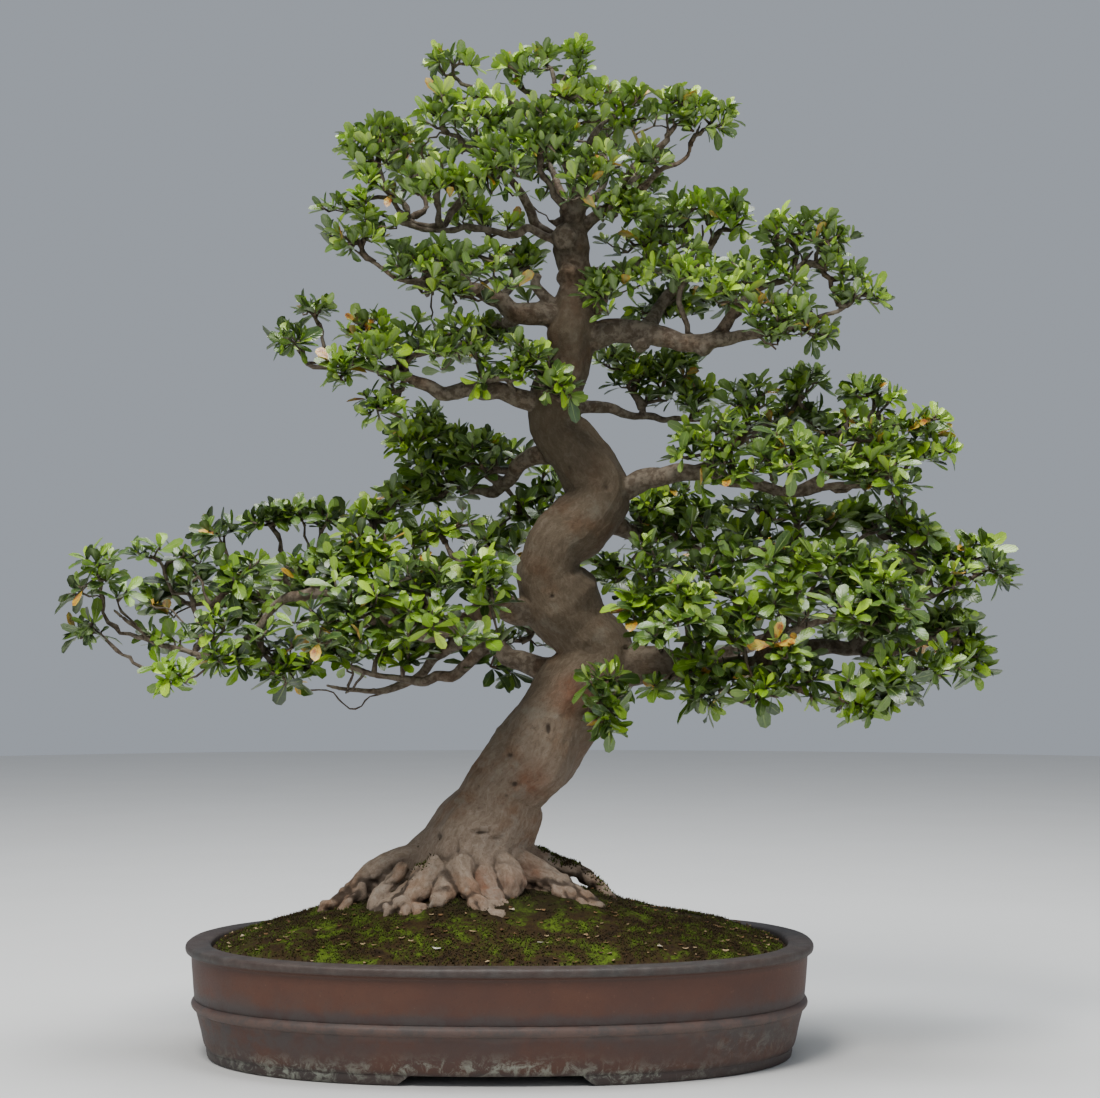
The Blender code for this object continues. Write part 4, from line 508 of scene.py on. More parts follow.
    (-6, 707), (0, 703, 10), (7, 703, 20), (-24, 698), (-15, 695, -10), (-8, 694, 10), (-1, 696, 20),
    (6, 694, 20), (-28, 692), (-35, 691), (-32, 687), (-22, 688), (-4, 685), (3, 686), (9, 685), (8, 678),
    (1, 678), (-8, 688), (17, 696, -10), (25, 701), (24, 694), (31, 698), (36, 695, 30), (22, 688),
    (30, 687), (36, 684, 10), (-15, 673), (-9, 671), (-17, 665, -20), (-13, 663), (-6, 664), (1, 667),
    (7, 669), (-6, 657), (0, 656), (-15, 654), (7, 660), (-18, 649, -10), (10, 675), (17, 677), (24, 676),
    (31, 677), (38, 678), (19, 669), (27, 668), (34, 669), (41, 671), (22, 662), (30, 661),
    (-114, 677, -50), (-110, 679, -20), (-103, 683, -10), (-96, 687), (-89, 687), (-83, 687, 5),
    (-79, 684, 40), (-99, 678), (-91, 679), (-85, 678), (-78, 678, 20), (-72, 681, 20), (-66, 683, 10),
    (-61, 681, 40), (-117, 670, -70), (-111, 670, -30), (-105, 669), (-98, 671), (-90, 671), (-82, 670),
    (-75, 671), (-70, 675), (-64, 676), (-112, 663, -30), (-105, 662), (-99, 663), (-86, 662), (-80, 661),
    (-73, 662), (-66, 664), (-106, 654, -75), (-102, 653), (-98, 649), (-101, 645, -10), (-105, 636, -20),
    (-102, 631), (-88, 640), (-65, 654, -40), (-71, 652, -60), (-59, 668), (-54, 665), (-45, 661),
    (-37, 662, 10), (-51, 649, -25), (-42, 644), (-47, 648), (-35, 648, 10), (-38, 655), (-30, 648, 20),
    (-58, 647, -40), (-54, 643, -10), (-33, 644, 20), (-28, 644, 20), (-64, 645, -20), (-80, 637),
    (-73, 640), (-66, 637), (-59, 636), (-54, 635), (-38, 635), (-31, 635), (-24, 636), (-21, 639),
    (-28, 627), (-14, 641), (-7, 636), (-105, 617, -20), (-99, 621), (-78, 614), (56, 737),
    (53, 738, -25), (60, 741, 5), (62, 737, 20), (55, 733, -30), (61, 732, 20), (59, 725), (61, 721, 60),
    (55, 721, -20), (47, 708, -10), (51, 709, 10), (45, 710, -20), (60, 710), (64, 711), (70, 711),
    (76, 711), (83, 710), (88, 710), (95, 708), (101, 708), (106, 708, 10), (56, 703), (63, 703),
    (71, 703), (78, 704), (85, 703), (92, 703), (97, 702), (104, 702, 10), (39, 696, -20), (46, 695),
    (53, 694), (49, 689), (43, 689, -10), (55, 682), (60, 694), (68, 694), (76, 692), (84, 693),
    (91, 694, 10), (96, 692, 10), (78, 687), (85, 686), (93, 686), (100, 685), (73, 684), (65, 692),
    (110, 694), (114, 693), (108, 691, -20), (118, 695, 20), (132, 708, 5), (122, 705, -20), (128, 705),
    (135, 703, 10), (142, 705, 10), (148, 702, 10), (154, 702), (159, 698, 10), (125, 697, -30),
    (132, 696), (140, 696), (146, 694), (153, 694, 10), (145, 688), (136, 693, -20), (159, 692, 10),
    (168, 695), (170, 699, 5), (167, 689, 30), (172, 694, 50), (165, 685, 100), (143, 684, -60),
    (156, 685, 100), (29, 683), (36, 683, 10), (43, 683), (48, 684), (56, 680), (33, 673), (25, 672),
    (44, 676), (51, 672), (48, 665), (56, 665), (63, 664), (71, 667), (79, 668), (61, 656), (69, 656),
    (76, 657), (83, 660), (64, 649), (72, 649), (79, 650), (55, 649), (54, 643), (65, 643), (105, 671),
    (112, 672), (106, 663), (113, 664), (119, 663, 20), (121, 660, 60), (102, 662), (93, 648), (101, 651),
    (109, 649), (117, 648, 30), (95, 643), (93, 632), (101, 633), (104, 625, 20), (96, 625),
    (109, 624, 50), (86, 631), (102, 619)]
# Bare twigs that show below the leaves: the spray that they belong to and their places
LEADS = [
    ("left_low_01", [(-248, -24, 286), (-256, -22, 280), (-264, -20, 280), (-273, -20, 284),
                     (-281, -19, 290), (-290, -19, 298), (-297, -19, 305), (-304, -20, 311)]),
    ("left_low_01", [(-270, -14, 303), (-283, -10, 306), (-292, -8, 314), (-296, -10, 326),
                     (-298, -12, 338), (-299, -14, 350)]),
    ("left_low_01", [(-282, -15, 322), (-285, -14, 330), (-288, -14, 340)]),
    ("left_low_02", [(-228, -32, 284), (-232, -34, 276), (-238, -38, 270)]),
    ("left_low_02", [(-222, -24, 300), (-230, -14, 310), (-240, -8, 318), (-250, -4, 325), (-261, 0, 327)]),
    ("left_low_03", [(-222, -18, 302), (-226, 8, 318), (-229, 16, 330), (-236, 22, 340)]),
    ("left_low_03", [(-214, -4, 326), (-221, 2, 337), (-225, 8, 348)]),
    ("left_low_03", [(-200, 0, 345), (-204, 8, 365), (-206, 12, 378)]),
    ("left_low_03", [(-244, 20, 336), (-250, 16, 350), (-254, 10, 360)]),
    ("left_low_04", [(-178, -54, 296), (-180, -56, 286), (-192, -58, 285), (-204, -60, 284),
                     (-215, -62, 281), (-226, -62, 274), (-234, -60, 269)]),
    ("left_low_08", [(-160, 60, 352), (-162, 45, 364), (-164, 38, 374), (-170, 34, 384), (-176, 32, 391)]),
    ("left_low_08", [(-146, 60, 350), (-144, 50, 358), (-143, 40, 372), (-146, 34, 386)]),
    ("left_low_08", [(-135, 48, 366), (-134, 40, 380), (-129, 34, 389), (-124, 32, 397)]),
    ("left_low_11", [(-97, 90, 259), (-103, 92, 252), (-112, 92, 250), (-117, 92, 254), (-124, 92, 262),
                     (-135, 90, 264), (-148, 88, 264)]),
    ("left_mid_01", [(-140, -26, 505), (-147, -28, 511), (-150, -30, 520)]),
    ("left_mid_01", [(-133, -22, 515), (-134, -18, 527), (-136, -16, 537), (-138, -16, 544)]),
    ("left_mid_02", [(-74, -24, 488), (-84, -34, 486), (-92, -40, 482)]),
    ("left_upper_02", [(-52, -20, 556), (-51, -22, 546), (-50, -24, 536), (-52, -26, 526)]),
    ("apex_07", [(-110, -12, 626), (-119, -12, 622), (-129, -11, 622)]),
    ("apex_07", [(-70, -20, 618), (-71, -18, 625), (-78, -14, 632), (-88, -10, 640), (-92, -6, 652),
                 (-92, -4, 664)]),
    ("apex_06", [(-47, -22, 616), (-47, -24, 626), (-48, -28, 636), (-50, -30, 642)]),
    ("apex_03", [(-30, -14, 674), (-36, -14, 680), (-46, -14, 682), (-54, -12, 678), (-59, -10, 671),
                 (-58, -8, 662)]),
    ("apex_01", [(22, -8, 698), (14, -8, 701), (6, -8, 706), (-2, -7, 710), (-12, -6, 713), (-22, -6, 716),
                 (-30, -5, 719), (-36, -5, 724)]),
    ("apex_02", [(30, -4, 706), (22, 0, 711), (14, 4, 716), (9, 6, 722)]),
    ("apex_02", [(40, -4, 711), (40, -2, 722), (38, 0, 730)]),
    ("apex_05", [(146, -4, 680), (152, -5, 684), (160, -5, 686), (167, -5, 689)]),
    ("apex_05", [(112, -4, 660), (118, -6, 670), (125, -8, 676), (128, -8, 683), (132, -8, 688),
                 (140, -8, 689)]),
    ("apex_05", [(121, -8, 687), (109, -10, 684), (101, -10, 680)]),
    ("right_upper_03", [(222, 4, 590), (217, 4, 600)]),
    ("right_upper_03", [(236, 4, 584), (238, 3, 592), (242, 2, 600)]),
    ("right_upper_03", [(241, 2, 580), (247, 2, 571), (250, 2, 561), (252, 0, 552)]),
    ("right_upper_01", [(164, 38, 608), (172, 34, 608), (180, 30, 613)]),
    ("right_upper_04", [(190, -18, 529), (198, -20, 523), (206, -20, 518)]),
    ("right_mid_02", [(284, 4, 472), (291, 4, 479)]),
    ("right_mid_03", [(206, -22, 413), (203, -24, 420), (200, -28, 430)]),
    ("right_mid_04", [(286, -12, 417), (292, -14, 410), (296, -16, 402)]),
    ("right_low_07", [(228, -44, 318), (233, -48, 332), (243, -52, 337), (253, -54, 341), (262, -56, 350)]),
    ("right_low_09", [(312, -36, 280), (322, -42, 276), (330, -46, 272)]),
    ("right_low_10", [(150, -50, 272), (162, -62, 265), (174, -68, 260), (186, -72, 254)]),
    ("right_low_10", [(204, -56, 272), (216, -64, 264), (228, -70, 260), (240, -72, 258), (252, -72, 257)]),
    ("mid_left_01", [(-40, 72, 412), (-48, 74, 405), (-46, 70, 398), (-42, 66, 393)]),
    ("mid_left_01", [(-43, 66, 444), (-45, 62, 452), (-50, 60, 460)]),
    ("left_low_07", [(-38, -5, 383), (-30, 0, 388), (-28, 0, 400)]),
    ("left_low_07", [(-30, 30, 378), (-22, 40, 372), (-20, 20, 362)]),
    ("left_low_10", [(-113, 87, 265), (-111, 80, 272), (-111, 70, 282)]),
    ("left_upper_01", [(-104, -20, 591), (-104, -20, 600), (-98, -20, 607)]),
    ("apex_06", [(-70, -15, 616), (-62, -12, 622), (-54, -10, 626)]),
    ("apex_06", [(-56, -8, 626), (-60, -2, 636), (-62, 4, 646)]),
    ("apex_04", [(28, 4, 622), (18, 0, 632), (8, -6, 642), (0, -12, 653)]),
    ("apex_04", [(50, 0, 620), (40, -12, 634), (32, -24, 648), (30, -34, 662), (26, -36, 676)]),
    ("apex_04", [(55, 0, 626), (62, -14, 640), (70, -26, 650), (74, -34, 662)]),
    ("apex_04", [(53, 0, 640), (60, 0, 655), (66, 0, 670), (72, 4, 684), (84, 8, 694)]),
    ("apex_04", [(60, 2, 632), (50, -8, 650), (46, -14, 668), (52, -16, 684)]),
    ("apex_05", [(96, 2, 634), (94, -8, 646), (98, -12, 656), (104, -14, 664)]),
    ("apex_05", [(96, 2, 634), (104, -8, 642), (112, -12, 646)]),
    ("right_upper_01", [(140, 50, 590), (139, 50, 606), (133, 52, 615)]),
    ("right_upper_01", [(150, 50, 598), (151, 52, 612)]),
    ("right_upper_01", [(116, 34, 590), (110, 32, 600), (106, 30, 612), (98, 28, 622)]),
    ("right_upper_02", [(180, -8, 550), (176, -20, 558), (170, -28, 566)]),
    ("right_upper_02", [(140, -14, 530), (136, -22, 546), (134, -26, 560), (138, -28, 572)]),
    ("right_upper_04", [(214, -14, 534), (212, -26, 540), (214, -34, 548)]),
    ("right_mid_01", [(225, 10, 475), (224, 14, 482), (225, 16, 489)]),
    ("right_mid_02", [(277, 2, 462), (277, 4, 470), (279, 5, 478)]),
    ("right_mid_03", [(168, -18, 424), (166, -28, 434), (160, -34, 444)]),
    ("right_mid_03", [(212, -22, 414), (216, -36, 424), (218, -44, 434)]),
    ("right_mid_04", [(262, -16, 416), (268, -28, 426), (274, -34, 436)]),
    ("right_low_06", [(182, -36, 286), (178, -50, 300), (172, -56, 316), (176, -60, 328), (170, -50, 344)]),
    ("right_low_07", [(212, -40, 312), (222, -52, 326), (216, -56, 342), (220, -58, 354)]),
    ("right_low_08", [(262, -38, 296), (272, -54, 306), (280, -66, 318), (284, -72, 330)]),
    ("right_low_08", [(270, -36, 290), (278, -54, 284), (284, -70, 276), (276, -72, 266)]),
    ("right_low_09", [(318, -24, 302), (326, -14, 310), (338, 0, 300)]),
    ("right_low_05", [(120, -18, 290), (118, -38, 308), (112, -54, 326), (116, -62, 340)]),
    ("right_low_05", [(134, -24, 286), (140, -50, 302), (138, -70, 318), (144, -82, 330)]),
    ("left_low_05", [(-122, -68, 330), (-134, -54, 340), (-146, -44, 348)]),
    ("left_low_05", [(-92, -64, 316), (-100, -80, 312), (-110, -90, 314)]),
    ("left_low_06", [(-100, -64, 322), (-104, -58, 340), (-102, -52, 356)]),
    ("left_low_06", [(-100, -58, 350), (-98, -30, 372), (-96, -10, 388)]),
    ("left_low_07", [(-42, -48, 312), (-50, -70, 320), (-56, -84, 328)]),
    ("left_low_07", [(-14, -34, 322), (-16, -52, 334), (-18, -60, 344)]),
]
# Where whorls are fresh, and where they have old leaves: across, height
FRESH = [
    (-34, 740), (57, 743), (83, 689), (-49, 652), (-121, 641), (133, 713), (11, 729), (-22, 700),
    (-5, 702), (-302, 350), (-325, 318), (-261, 368), (-243, 302), (-243, 275), (-209, 295), (-151, 365),
    (-165, 285), (-95, 397), (-46, 390), (-103, 356), (-80, 362), (-66, 322), (-50, 305), (-14, 362),
    (148, 402), (110, 405), (135, 335), (95, 325), (128, 290), (150, 268), (197, 268), (225, 275),
    (262, 255), (290, 280), (322, 296), (350, 295), (357, 382), (292, 348), (300, 402), (272, 430),
    (155, 480), (293, 485), (318, 470), (328, 445), (-65, 460), (-72, 450), (-10, 452), (50, 495),
    (215, 622), (245, 540), (284, 560), (173, 568), (145, 577), (152, 632), (174, 635), (-129, 635),
    (-105, 635), (-79, 620), (-60, 578), (-3, 567), (-25, 535), (-87, 540), (-35, 740), (-42, 652),
    (-45, 716), (-7, 705), (-60, 700), (50, 708), (133, 715), (143, 708), (92, 693), (8, 620)]
AGED = [
    (88, 672), (262, 587), (142, 608), (-203, 292), (-150, 343), (-152, 265), (-69, 360), (273, 500),
    (170, 550), (200, 550), (110, 505), (239, 605), (-107, 533), (-72, 540), (252, 247), (149, 255),
    (70, 655), (109, 657), (11, 726), (210, 295), (216, 464), (270, 457), (322, 457), (348, 372)]

# Wood that the solids leave out: the shoulder of the left root, knobs and small surface roots
SMALL_ROOTS = [
    [(-30, 4, 150, 26), (-52, 0, 142, 17), (-75, -6, 131, 11), (-92, -10, 126, 8.5), (-106, -14, 115, 7),
     (-120, -18, 108, 5.5), (-134, -22, 98, 4)],
    [(-46, -30, 130, 13), (-56, -42, 121, 10), (-62, -50, 114, 8.5), (-66, -54, 108, 8)],
    [(-66, -54, 107, 7), (-72, -56, 106, 7), (-80, -56, 102, 6), (-88, -54, 103, 4)],
    [(-70, -58, 104, 6), (-70, -61, 97, 6), (-69, -62, 88, 4)],
    [(-60, -58, 104, 6.5), (-59, -62, 96, 6.5), (-58, -63, 86, 4)],
    [(-80, -56, 102, 5.5), (-84, -58, 95, 5), (-85, -58, 86, 3.5)],
    [(-42, -40, 121, 9), (-41, -50, 116, 8), (-41, -55, 113, 8)],
    [(-41, -52, 112, 6), (-46, -58, 105, 6), (-52, -60, 98, 5)],
    [(-72, -26, 134, 6), (-78, -34, 126, 5), (-86, -40, 117, 4.5), (-92, -44, 109, 4.5), (-96, -46, 98, 3.5),
     (-97, -46, 88, 3)],
    [(-60, -34, 132, 6), (-64, -42, 123, 4.5), (-70, -48, 115, 4), (-76, -50, 108, 4)],
    [(-100, -14, 123, 6), (-104, -22, 115, 5), (-112, -26, 107, 5), (-118, -28, 97, 3.5), (-120, -28, 86, 3)],
    [(-30, -36, 132, 12), (-27, -48, 122, 8), (-20, -56, 111, 6), (-10, -62, 102, 5.5), (0, -68, 95, 4.5),
     (8, -72, 86, 3.5)],
    [(-20, -58, 109, 5), (-19, -62, 102, 5), (-18, -64, 92, 3.5)],
    [(4, -30, 127, 12), (7, -38, 120, 11), (6, -42, 113, 9), (4, -44, 104, 5)],
    [(-8, -22, 144, 10), (4, -30, 136, 7), (12, -36, 127, 6), (15, -40, 119, 5)],
    [(44, -22, 119, 6), (54, -32, 111, 5), (60, -38, 103, 4.5), (62, -40, 90, 3)],
    [(56, -26, 113, 5), (64, -32, 109, 5.5), (72, -34, 103, 5), (80, -38, 95, 4), (82, -39, 86, 3)],
    [(40, 10, 118, 11), (54, 12, 110, 10), (68, 13, 102, 9), (78, 13, 94, 6)],
    [(60, 14, 129, 5), (68, 8, 123, 5), (76, 2, 117, 4), (84, -4, 107, 4.5), (90, -10, 96, 3.5)],
    [(66, -30, 107, 4.5), (70, -37, 102, 5.5), (71, -40, 94, 4), (71, -41, 86, 3)],
    [(30, -16, 128, 6), (40, -26, 118, 5), (46, -33, 109, 4.5), (48, -36, 98, 4), (49, -37, 88, 3)],
    [(-20, 60, 122, 9), (-14, 74, 110, 6), (-10, 82, 98, 4.5), (-8, 86, 86, 3)],
    [(-74, 56, 114, 7), (-80, 68, 104, 5), (-84, 74, 92, 4)],
    [(20, 50, 124, 8), (22, 64, 112, 6), (24, 72, 100, 4.5), (25, 76, 88, 3)]]
# Knots and stubs of old cuts on trunk and limbs
STUBS = [
    [(49, -2, 604, 10), (48, -10, 602, 9.5), (47, -15, 601, 7)],
    [(52, 0, 616, 9), (57, -3, 627, 8.5), (59, -4, 635, 5)],
    [(40, 0, 551, 5), (31, -7, 560, 4.2), (25, -11, 568, 3.8), (29, -13, 575, 2.8)],
    [(66, 0, 548, 9), (74, -4, 556, 7), (77, -5, 560, 4)],
    [(52, -4, 574, 10), (49, -9, 571, 8)],
    [(36, 0, 500, 8), (32, -5, 505, 6)],
    [(78, 4, 412, 14), (90, 2, 408, 8)],
    [(30, 2, 350, 12), (19, 0, 346, 8)],
    [(84, 4, 270, 14), (92, 0, 262, 9)],
    [(148, -28, 285, 8), (150, -32, 292, 5)], [(196, -38, 281, 7), (198, -40, 275, 5)],
    [(-20, -36, 316, 8), (-22, -38, 308, 6)], [(-92, -62, 312, 6), (-95, -64, 306, 4)],
    [(104, -8, 524, 8), (106, -10, 518, 5)], [(152, -16, 519, 7), (154, -18, 516, 5)]]
# Limbs end in a point this far past their last station
LIMB_TIP = 11
TUBE_SIDES = 20
TUBE_STEP = 0.004
LUMPINESS = 0.07
WOOD_VOXEL = 0.0014
WOOD_TRIANGLES = 125000
WOOD_SMOOTHING = 5
# Places of the wood handled at a time
BATCH = 20000
# Scars, holes and creases on the front of the trunk: across, height, half width, half height,
# depth and the height of the lip around it
SCARS = [
    (35.5, 235.5, 2.0, 4.4, 2.6, 0.9), (38.5, 333.5, 1.8, 1.8, 1.8, 0.7),
    (79.0, 415.0, 2.6, 3.0, 1.3, 0.8), (94.0, 295.0, 3.0, 1.4, 1.5, 0.6),
    (11.0, 194.0, 3.2, 2.4, 1.8, 1.0), (15.5, 190.0, 2.0, 3.0, 1.5, 0.6),
    (4.5, 185.5, 1.8, 1.6, 1.0, 0.5), (-15.5, 177.0, 2.6, 1.2, 0.9, 0.5),
    (19.5, 177.5, 1.4, 1.4, 0.9, 0.4), (-13.0, 158.5, 7.0, 1.8, 1.6, 1.0),
    (-5.5, 154.5, 6.0, 1.6, 1.0, 0.5), (-22.0, 162.0, 9.0, 2.4, -1.5, 0.0),
    (-44.0, 158.0, 2.6, 3.6, 0.7, 0.8), (-31.0, 147.0, 1.6, 6.0, 0.9, 0.9),
    (20.0, 190.0, 7.0, 6.0, -1.2, 0.0), (24.0, 236.0, 2.4, 2.0, 0.7, 0.6),
    (48.0, 225.0, 1.2, 1.2, 0.7, 0.3), (46.5, 213.0, 2.0, 1.2, 0.7, 0.3),
    (57.0, 262.0, 2.4, 2.4, -1.0, 0.0), (62.0, 300.0, 6.0, 5.0, -1.2, 0.0),
    (44.5, 616.0, 3.0, 3.4, 1.6, 1.2), (58.0, 356.0, 2.4, 2.0, 0.8, 0.5),
    (49.0, 392.0, 3.6, 2.0, 0.7, 0.5), (-16.0, 204.0, 5.0, 4.0, 0.7, 0.4),
    (30.0, 268.0, 8.0, 4.0, 0.6, 0.3), (7.0, 216.0, 3.0, 2.2, 1.4, 0.7),
    (-45.0, 154.0, 3.2, 4.2, 1.6, 0.8), (52.0, 430.0, 2.4, 4.0, 0.8, 0.4)]
# Below this height, fading upward, the roots are gnarled and furrowed
GNARLED = (112, 165)
FURROW_DEPTH = 0.0034
KNOB_DEPTH = 0.0036
# The wood's other forms: the size of each one's pattern and, where one number gives it, how far
# the form stands out. Flutes, ridges and furrows are drawn out along the wood, so their patterns
# have a size across it and one along it, both in millimetres
LUMPS = (0.030, 0.0011)
KNOBS = 0.0085
FLUTES = (6.0, 46.0, 0.00045)
RIDGES = (2.2, 15.0, 0.00012)
FURROWS = (10.0, 34.0)
KNUCKLES = 0.0100
CRUMBS = (0.0042, 0.0007)
# Reddish stretches of bark: across, height and reach
RUDDY = [(5, 119, 14), (24, 132, 9), (-12, 124, 9), (52, 262, 14), (66, 214, 10), (26, 196, 12)]

# Leaves
ROSETTE_FACTOR = 2.0
TUFT_SPREAD = 1.25
# Tufts from this depth on are seen only through the gaps and from behind
BACK_DEPTH = 30
# Whorls behind those that show: how many of them have one, how many in the open crown above the
# height given, how far behind it stands and how much painted shade darkens it
COMPANION_SHARE = 0.36
HIGH_COMPANION_SHARE = COMPANION_SHARE * 0.35
OPEN_CROWN = 600
COMPANION_DEPTH = (9, 34)
COMPANION_PAINTED_SHADE = 0.32
# The topmost whorls stand this much higher than the table says
APEX_RISE = 7
# A fresh or an old place reaches this far
SPOT_REACH = 8
# Middles of whorls stay this far inside the solids' box, and at its top may be a little past it
EDGE_ROOM = (0.004, 0.013, -0.003)
# Leaves: above the first height whorls get steeper, and below the second leaves are broader
LOW_TIERS = 0.38
BROAD_LEAVED = 0.40
# Leaves of a whorl: how many there may be outside, inside and lower down, their sizes, and how
# many degrees they lift from the whorl's plane
OUTER_LEAVES = (4, 4, 5, 5)
INNER_LEAVES = (1, 2, 2)
LOWER_LEAVES = (0, 0, 1, 1, 2)
OUTER_SIZE = (0.78, 1.10)
INNER_SIZE = (0.50, 0.80)
LOWER_SIZE = (0.6, 0.95)
OUTER_LIFT = (6, 50)
INNER_LIFT = (58, 82)
LIFT_HIGH_UP = 24
# Whorls of the front: how far they stand before their tuft's middle in shares of its half depth,
# how many degrees they lean outward and how fresh they are near a fresh place
DEPTH_BY_LEVEL = 0.45
DEPTH_SPREAD = 0.35
EDGE_LEAN = 16
LEAN_SPREAD = 9
FORWARD_LEAN = (-0.45, 0.35)
FRESH_MOOD = (0.5, 0.95)
LEAF_LENGTH = (0.0128, 0.0232)
LEAF_WIDTH_SHARE = (0.39, 0.53)
LEAF_THICKNESS = 0.00045
# Rows of points along a leaf: share of its length, and of its half width
LEAF_ROWS = [(0.25, 0.48), (0.62, 1.00), (0.90, 0.72)]
LEAF_RIB_DEPTH = 0.00022
# How many leaves are old, in most whorls and near an old place
OLD_LEAF_SHARE = 0.012
AGED_SHARE = 0.16
# How many whorls have a bud, how many are young and how fresh those are
BUD_SHARE = 0.5
YOUNG_SHARE = 0.19
YOUNG_MOOD = (0.35, 0.85)
TWIG_RADIUS = 0.00074
TWIG_GROWTH = 0.37
TWIG_STEP = 0.0065
TWIG_JITTER = 0.0018
TWIG_SIDES = 5
# No twig is shorter than this, and a turn back makes one cost this share of its length more
SHORTEST_TWIG = 0.009
TURN_COST = 0.30
# Buds: two rings, each a place along the bud and a radius, then how far its ends reach
BUD_RINGS = ((-0.0016, 0.0011), (0.0010, 0.0009))
BUD_SIDES = 4
BUD_FOOT = 0.0030
BUD_POINT = 0.0032
# Share of the solids' thickness that limbs have near the trunk and at their ends, and how far
# their uneven stations stand off at most
LIMB_SLIMMING = (0.88, 0.62)
LIMB_CROOK = 3.3


def clipped(value, low=0.0, high=1.0):
    return min(max(value, low), high)


def srgb(red, green, blue):
    """A colour given as it looks on screen, 0 to 255, as Blender's linear values."""
    values = [channel / 255 for channel in (red, green, blue)]
    return [v / 12.92 if v <= 0.04045 else ((v + 0.055) / 1.055) ** 2.4 for v in values] + [1.0]


# Noise for shapes

def lattice(cells, seed):
    """A steady random number from 0 to 1 for each whole-number place."""
    mixed = cells[:, 0] * 374761393 + cells[:, 1] * 668265263 + cells[:, 2] * 1274126177 + seed * 974634777
    mixed = (mixed ^ (mixed >> 13)) & 0xFFFFFFFF
    mixed = (mixed * 1103515245) & 0xFFFFFFFF
    mixed = (mixed ^ (mixed >> 16)) & 0xFFFFFF
    return mixed / float(0xFFFFFF)


def noise(points, seed=0):
    """Smooth noise from -1 to 1 at places given in units of its own cell."""
    floor = np.floor(points)
    cells = floor.astype(np.int64)
    part = points - floor
    part = part * part * (3 - 2 * part)
    total = np.zeros(len(points))
    for dx in (0, 1):
        for dy in (0, 1):
            for dz in (0, 1):
                weight = (part[:, 0] if dx else 1 - part[:, 0])
                weight = weight * (part[:, 1] if dy else 1 - part[:, 1])
                weight = weight * (part[:, 2] if dz else 1 - part[:, 2])
                total += weight * lattice(cells + np.array([dx, dy, dz]), seed)
    return total * 2 - 1


def fractal(points, cell, octaves, seed=0):
    """Noise in several sizes, the largest with this cell."""
    total = np.zeros(len(points))
    for octave in range(octaves):
        total += noise(points / cell * 2 ** octave + 17.3 * octave, seed + octave) * 0.5 ** octave
    return total


# Meshes

def make_mesh(name, points, triangles):
    """A mesh from an array of places and one of corner numbers."""
    mesh = bpy.data.meshes.new(name)
    triangles = np.asarray(triangles, dtype=np.int32)
    count, corners = triangles.shape
    mesh.vertices.add(len(points))
    mesh.vertices.foreach_set("co", np.asarray(points, dtype=np.float32).ravel())
    mesh.loops.add(count * corners)
    mesh.loops.foreach_set("vertex_index", triangles.ravel())
    mesh.polygons.add(count)
    mesh.polygons.foreach_set("loop_start", np.arange(0, count * corners, corners, dtype=np.int32))
    mesh.update(calc_edges=True)
    mesh.validate()
    mesh.shade_smooth()
    return mesh


def set_values(mesh, name, values):
    """Keep one number, or one vector, for each vertex, for the material to read."""
    values = np.asarray(values, dtype=np.float32)
    kind = "FLOAT_VECTOR" if values.ndim == 2 else "FLOAT"
    kept = mesh.attributes.new(name, kind, "POINT")
    kept.data.foreach_set("vector" if values.ndim == 2 else "value", values.ravel())


def places_of(mesh):
    flat = np.empty(len(mesh.vertices) * 3, dtype=np.float32)
    mesh.vertices.foreach_get("co", flat)
    return flat.reshape(-1, 3).astype(np.float64)


def normals_of(mesh):
    flat = np.empty(len(mesh.vertices) * 3, dtype=np.float32)
    mesh.vertex_normals.foreach_get("vector", flat)
    return flat.reshape(-1, 3).astype(np.float64)


def put_places(mesh, places):
    mesh.vertices.foreach_set("co", places.astype(np.float32).ravel())
    mesh.update()


def add_piece(name, mesh, finish, slot, *nodes):
    """A piece of the object, which stands for CAD nodes."""
    mesh.name = name
    mesh.materials.clear()
    mesh.materials.append(finish)
    piece = bpy.data.objects.new(name, mesh)
    bpy.context.scene.collection.objects.link(piece)
    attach(piece, "root")
    if nodes:
        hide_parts(*nodes)
    return piece


def applied(name, mesh, steps):
    """The mesh after modifiers, each given as a kind and its settings."""
    subject = bpy.data.objects.new(name, mesh)
    bpy.context.scene.collection.objects.link(subject)
    for kind, settings in steps:
        step = subject.modifiers.new(kind.lower(), kind)
        for key, value in settings.items():
            setattr(step, key, value)
    bpy.context.view_layer.update()
    graph = bpy.context.evaluated_depsgraph_get()
    result = bpy.data.meshes.new_from_object(subject.evaluated_get(graph))
    bpy.data.objects.remove(subject, do_unlink=True)
    return result


def grid_triangles(rows, columns, closed=True):
    """Triangles over rows of points, which close on themselves if closed."""
    span = columns if closed else columns - 1
    row, column = np.meshgrid(np.arange(rows - 1), np.arange(span), indexing="ij")
    a = (row * columns + column).ravel()
    b = (row * columns + (column + 1) % columns).ravel()
    c = b + columns
    d = a + columns
    return np.concatenate([np.stack([a, b, c], 1), np.stack([a, c, d], 1)])


def fan_triangles(ring, middle, flip=False):
    """Triangles from a ring of point numbers to a middle point."""
    ring = np.asarray(ring)
    after = np.roll(ring, -1)
    hub = np.full(len(ring), middle)
    return np.stack([after, ring, hub] if flip else [ring, after, hub], 1)


# Materials

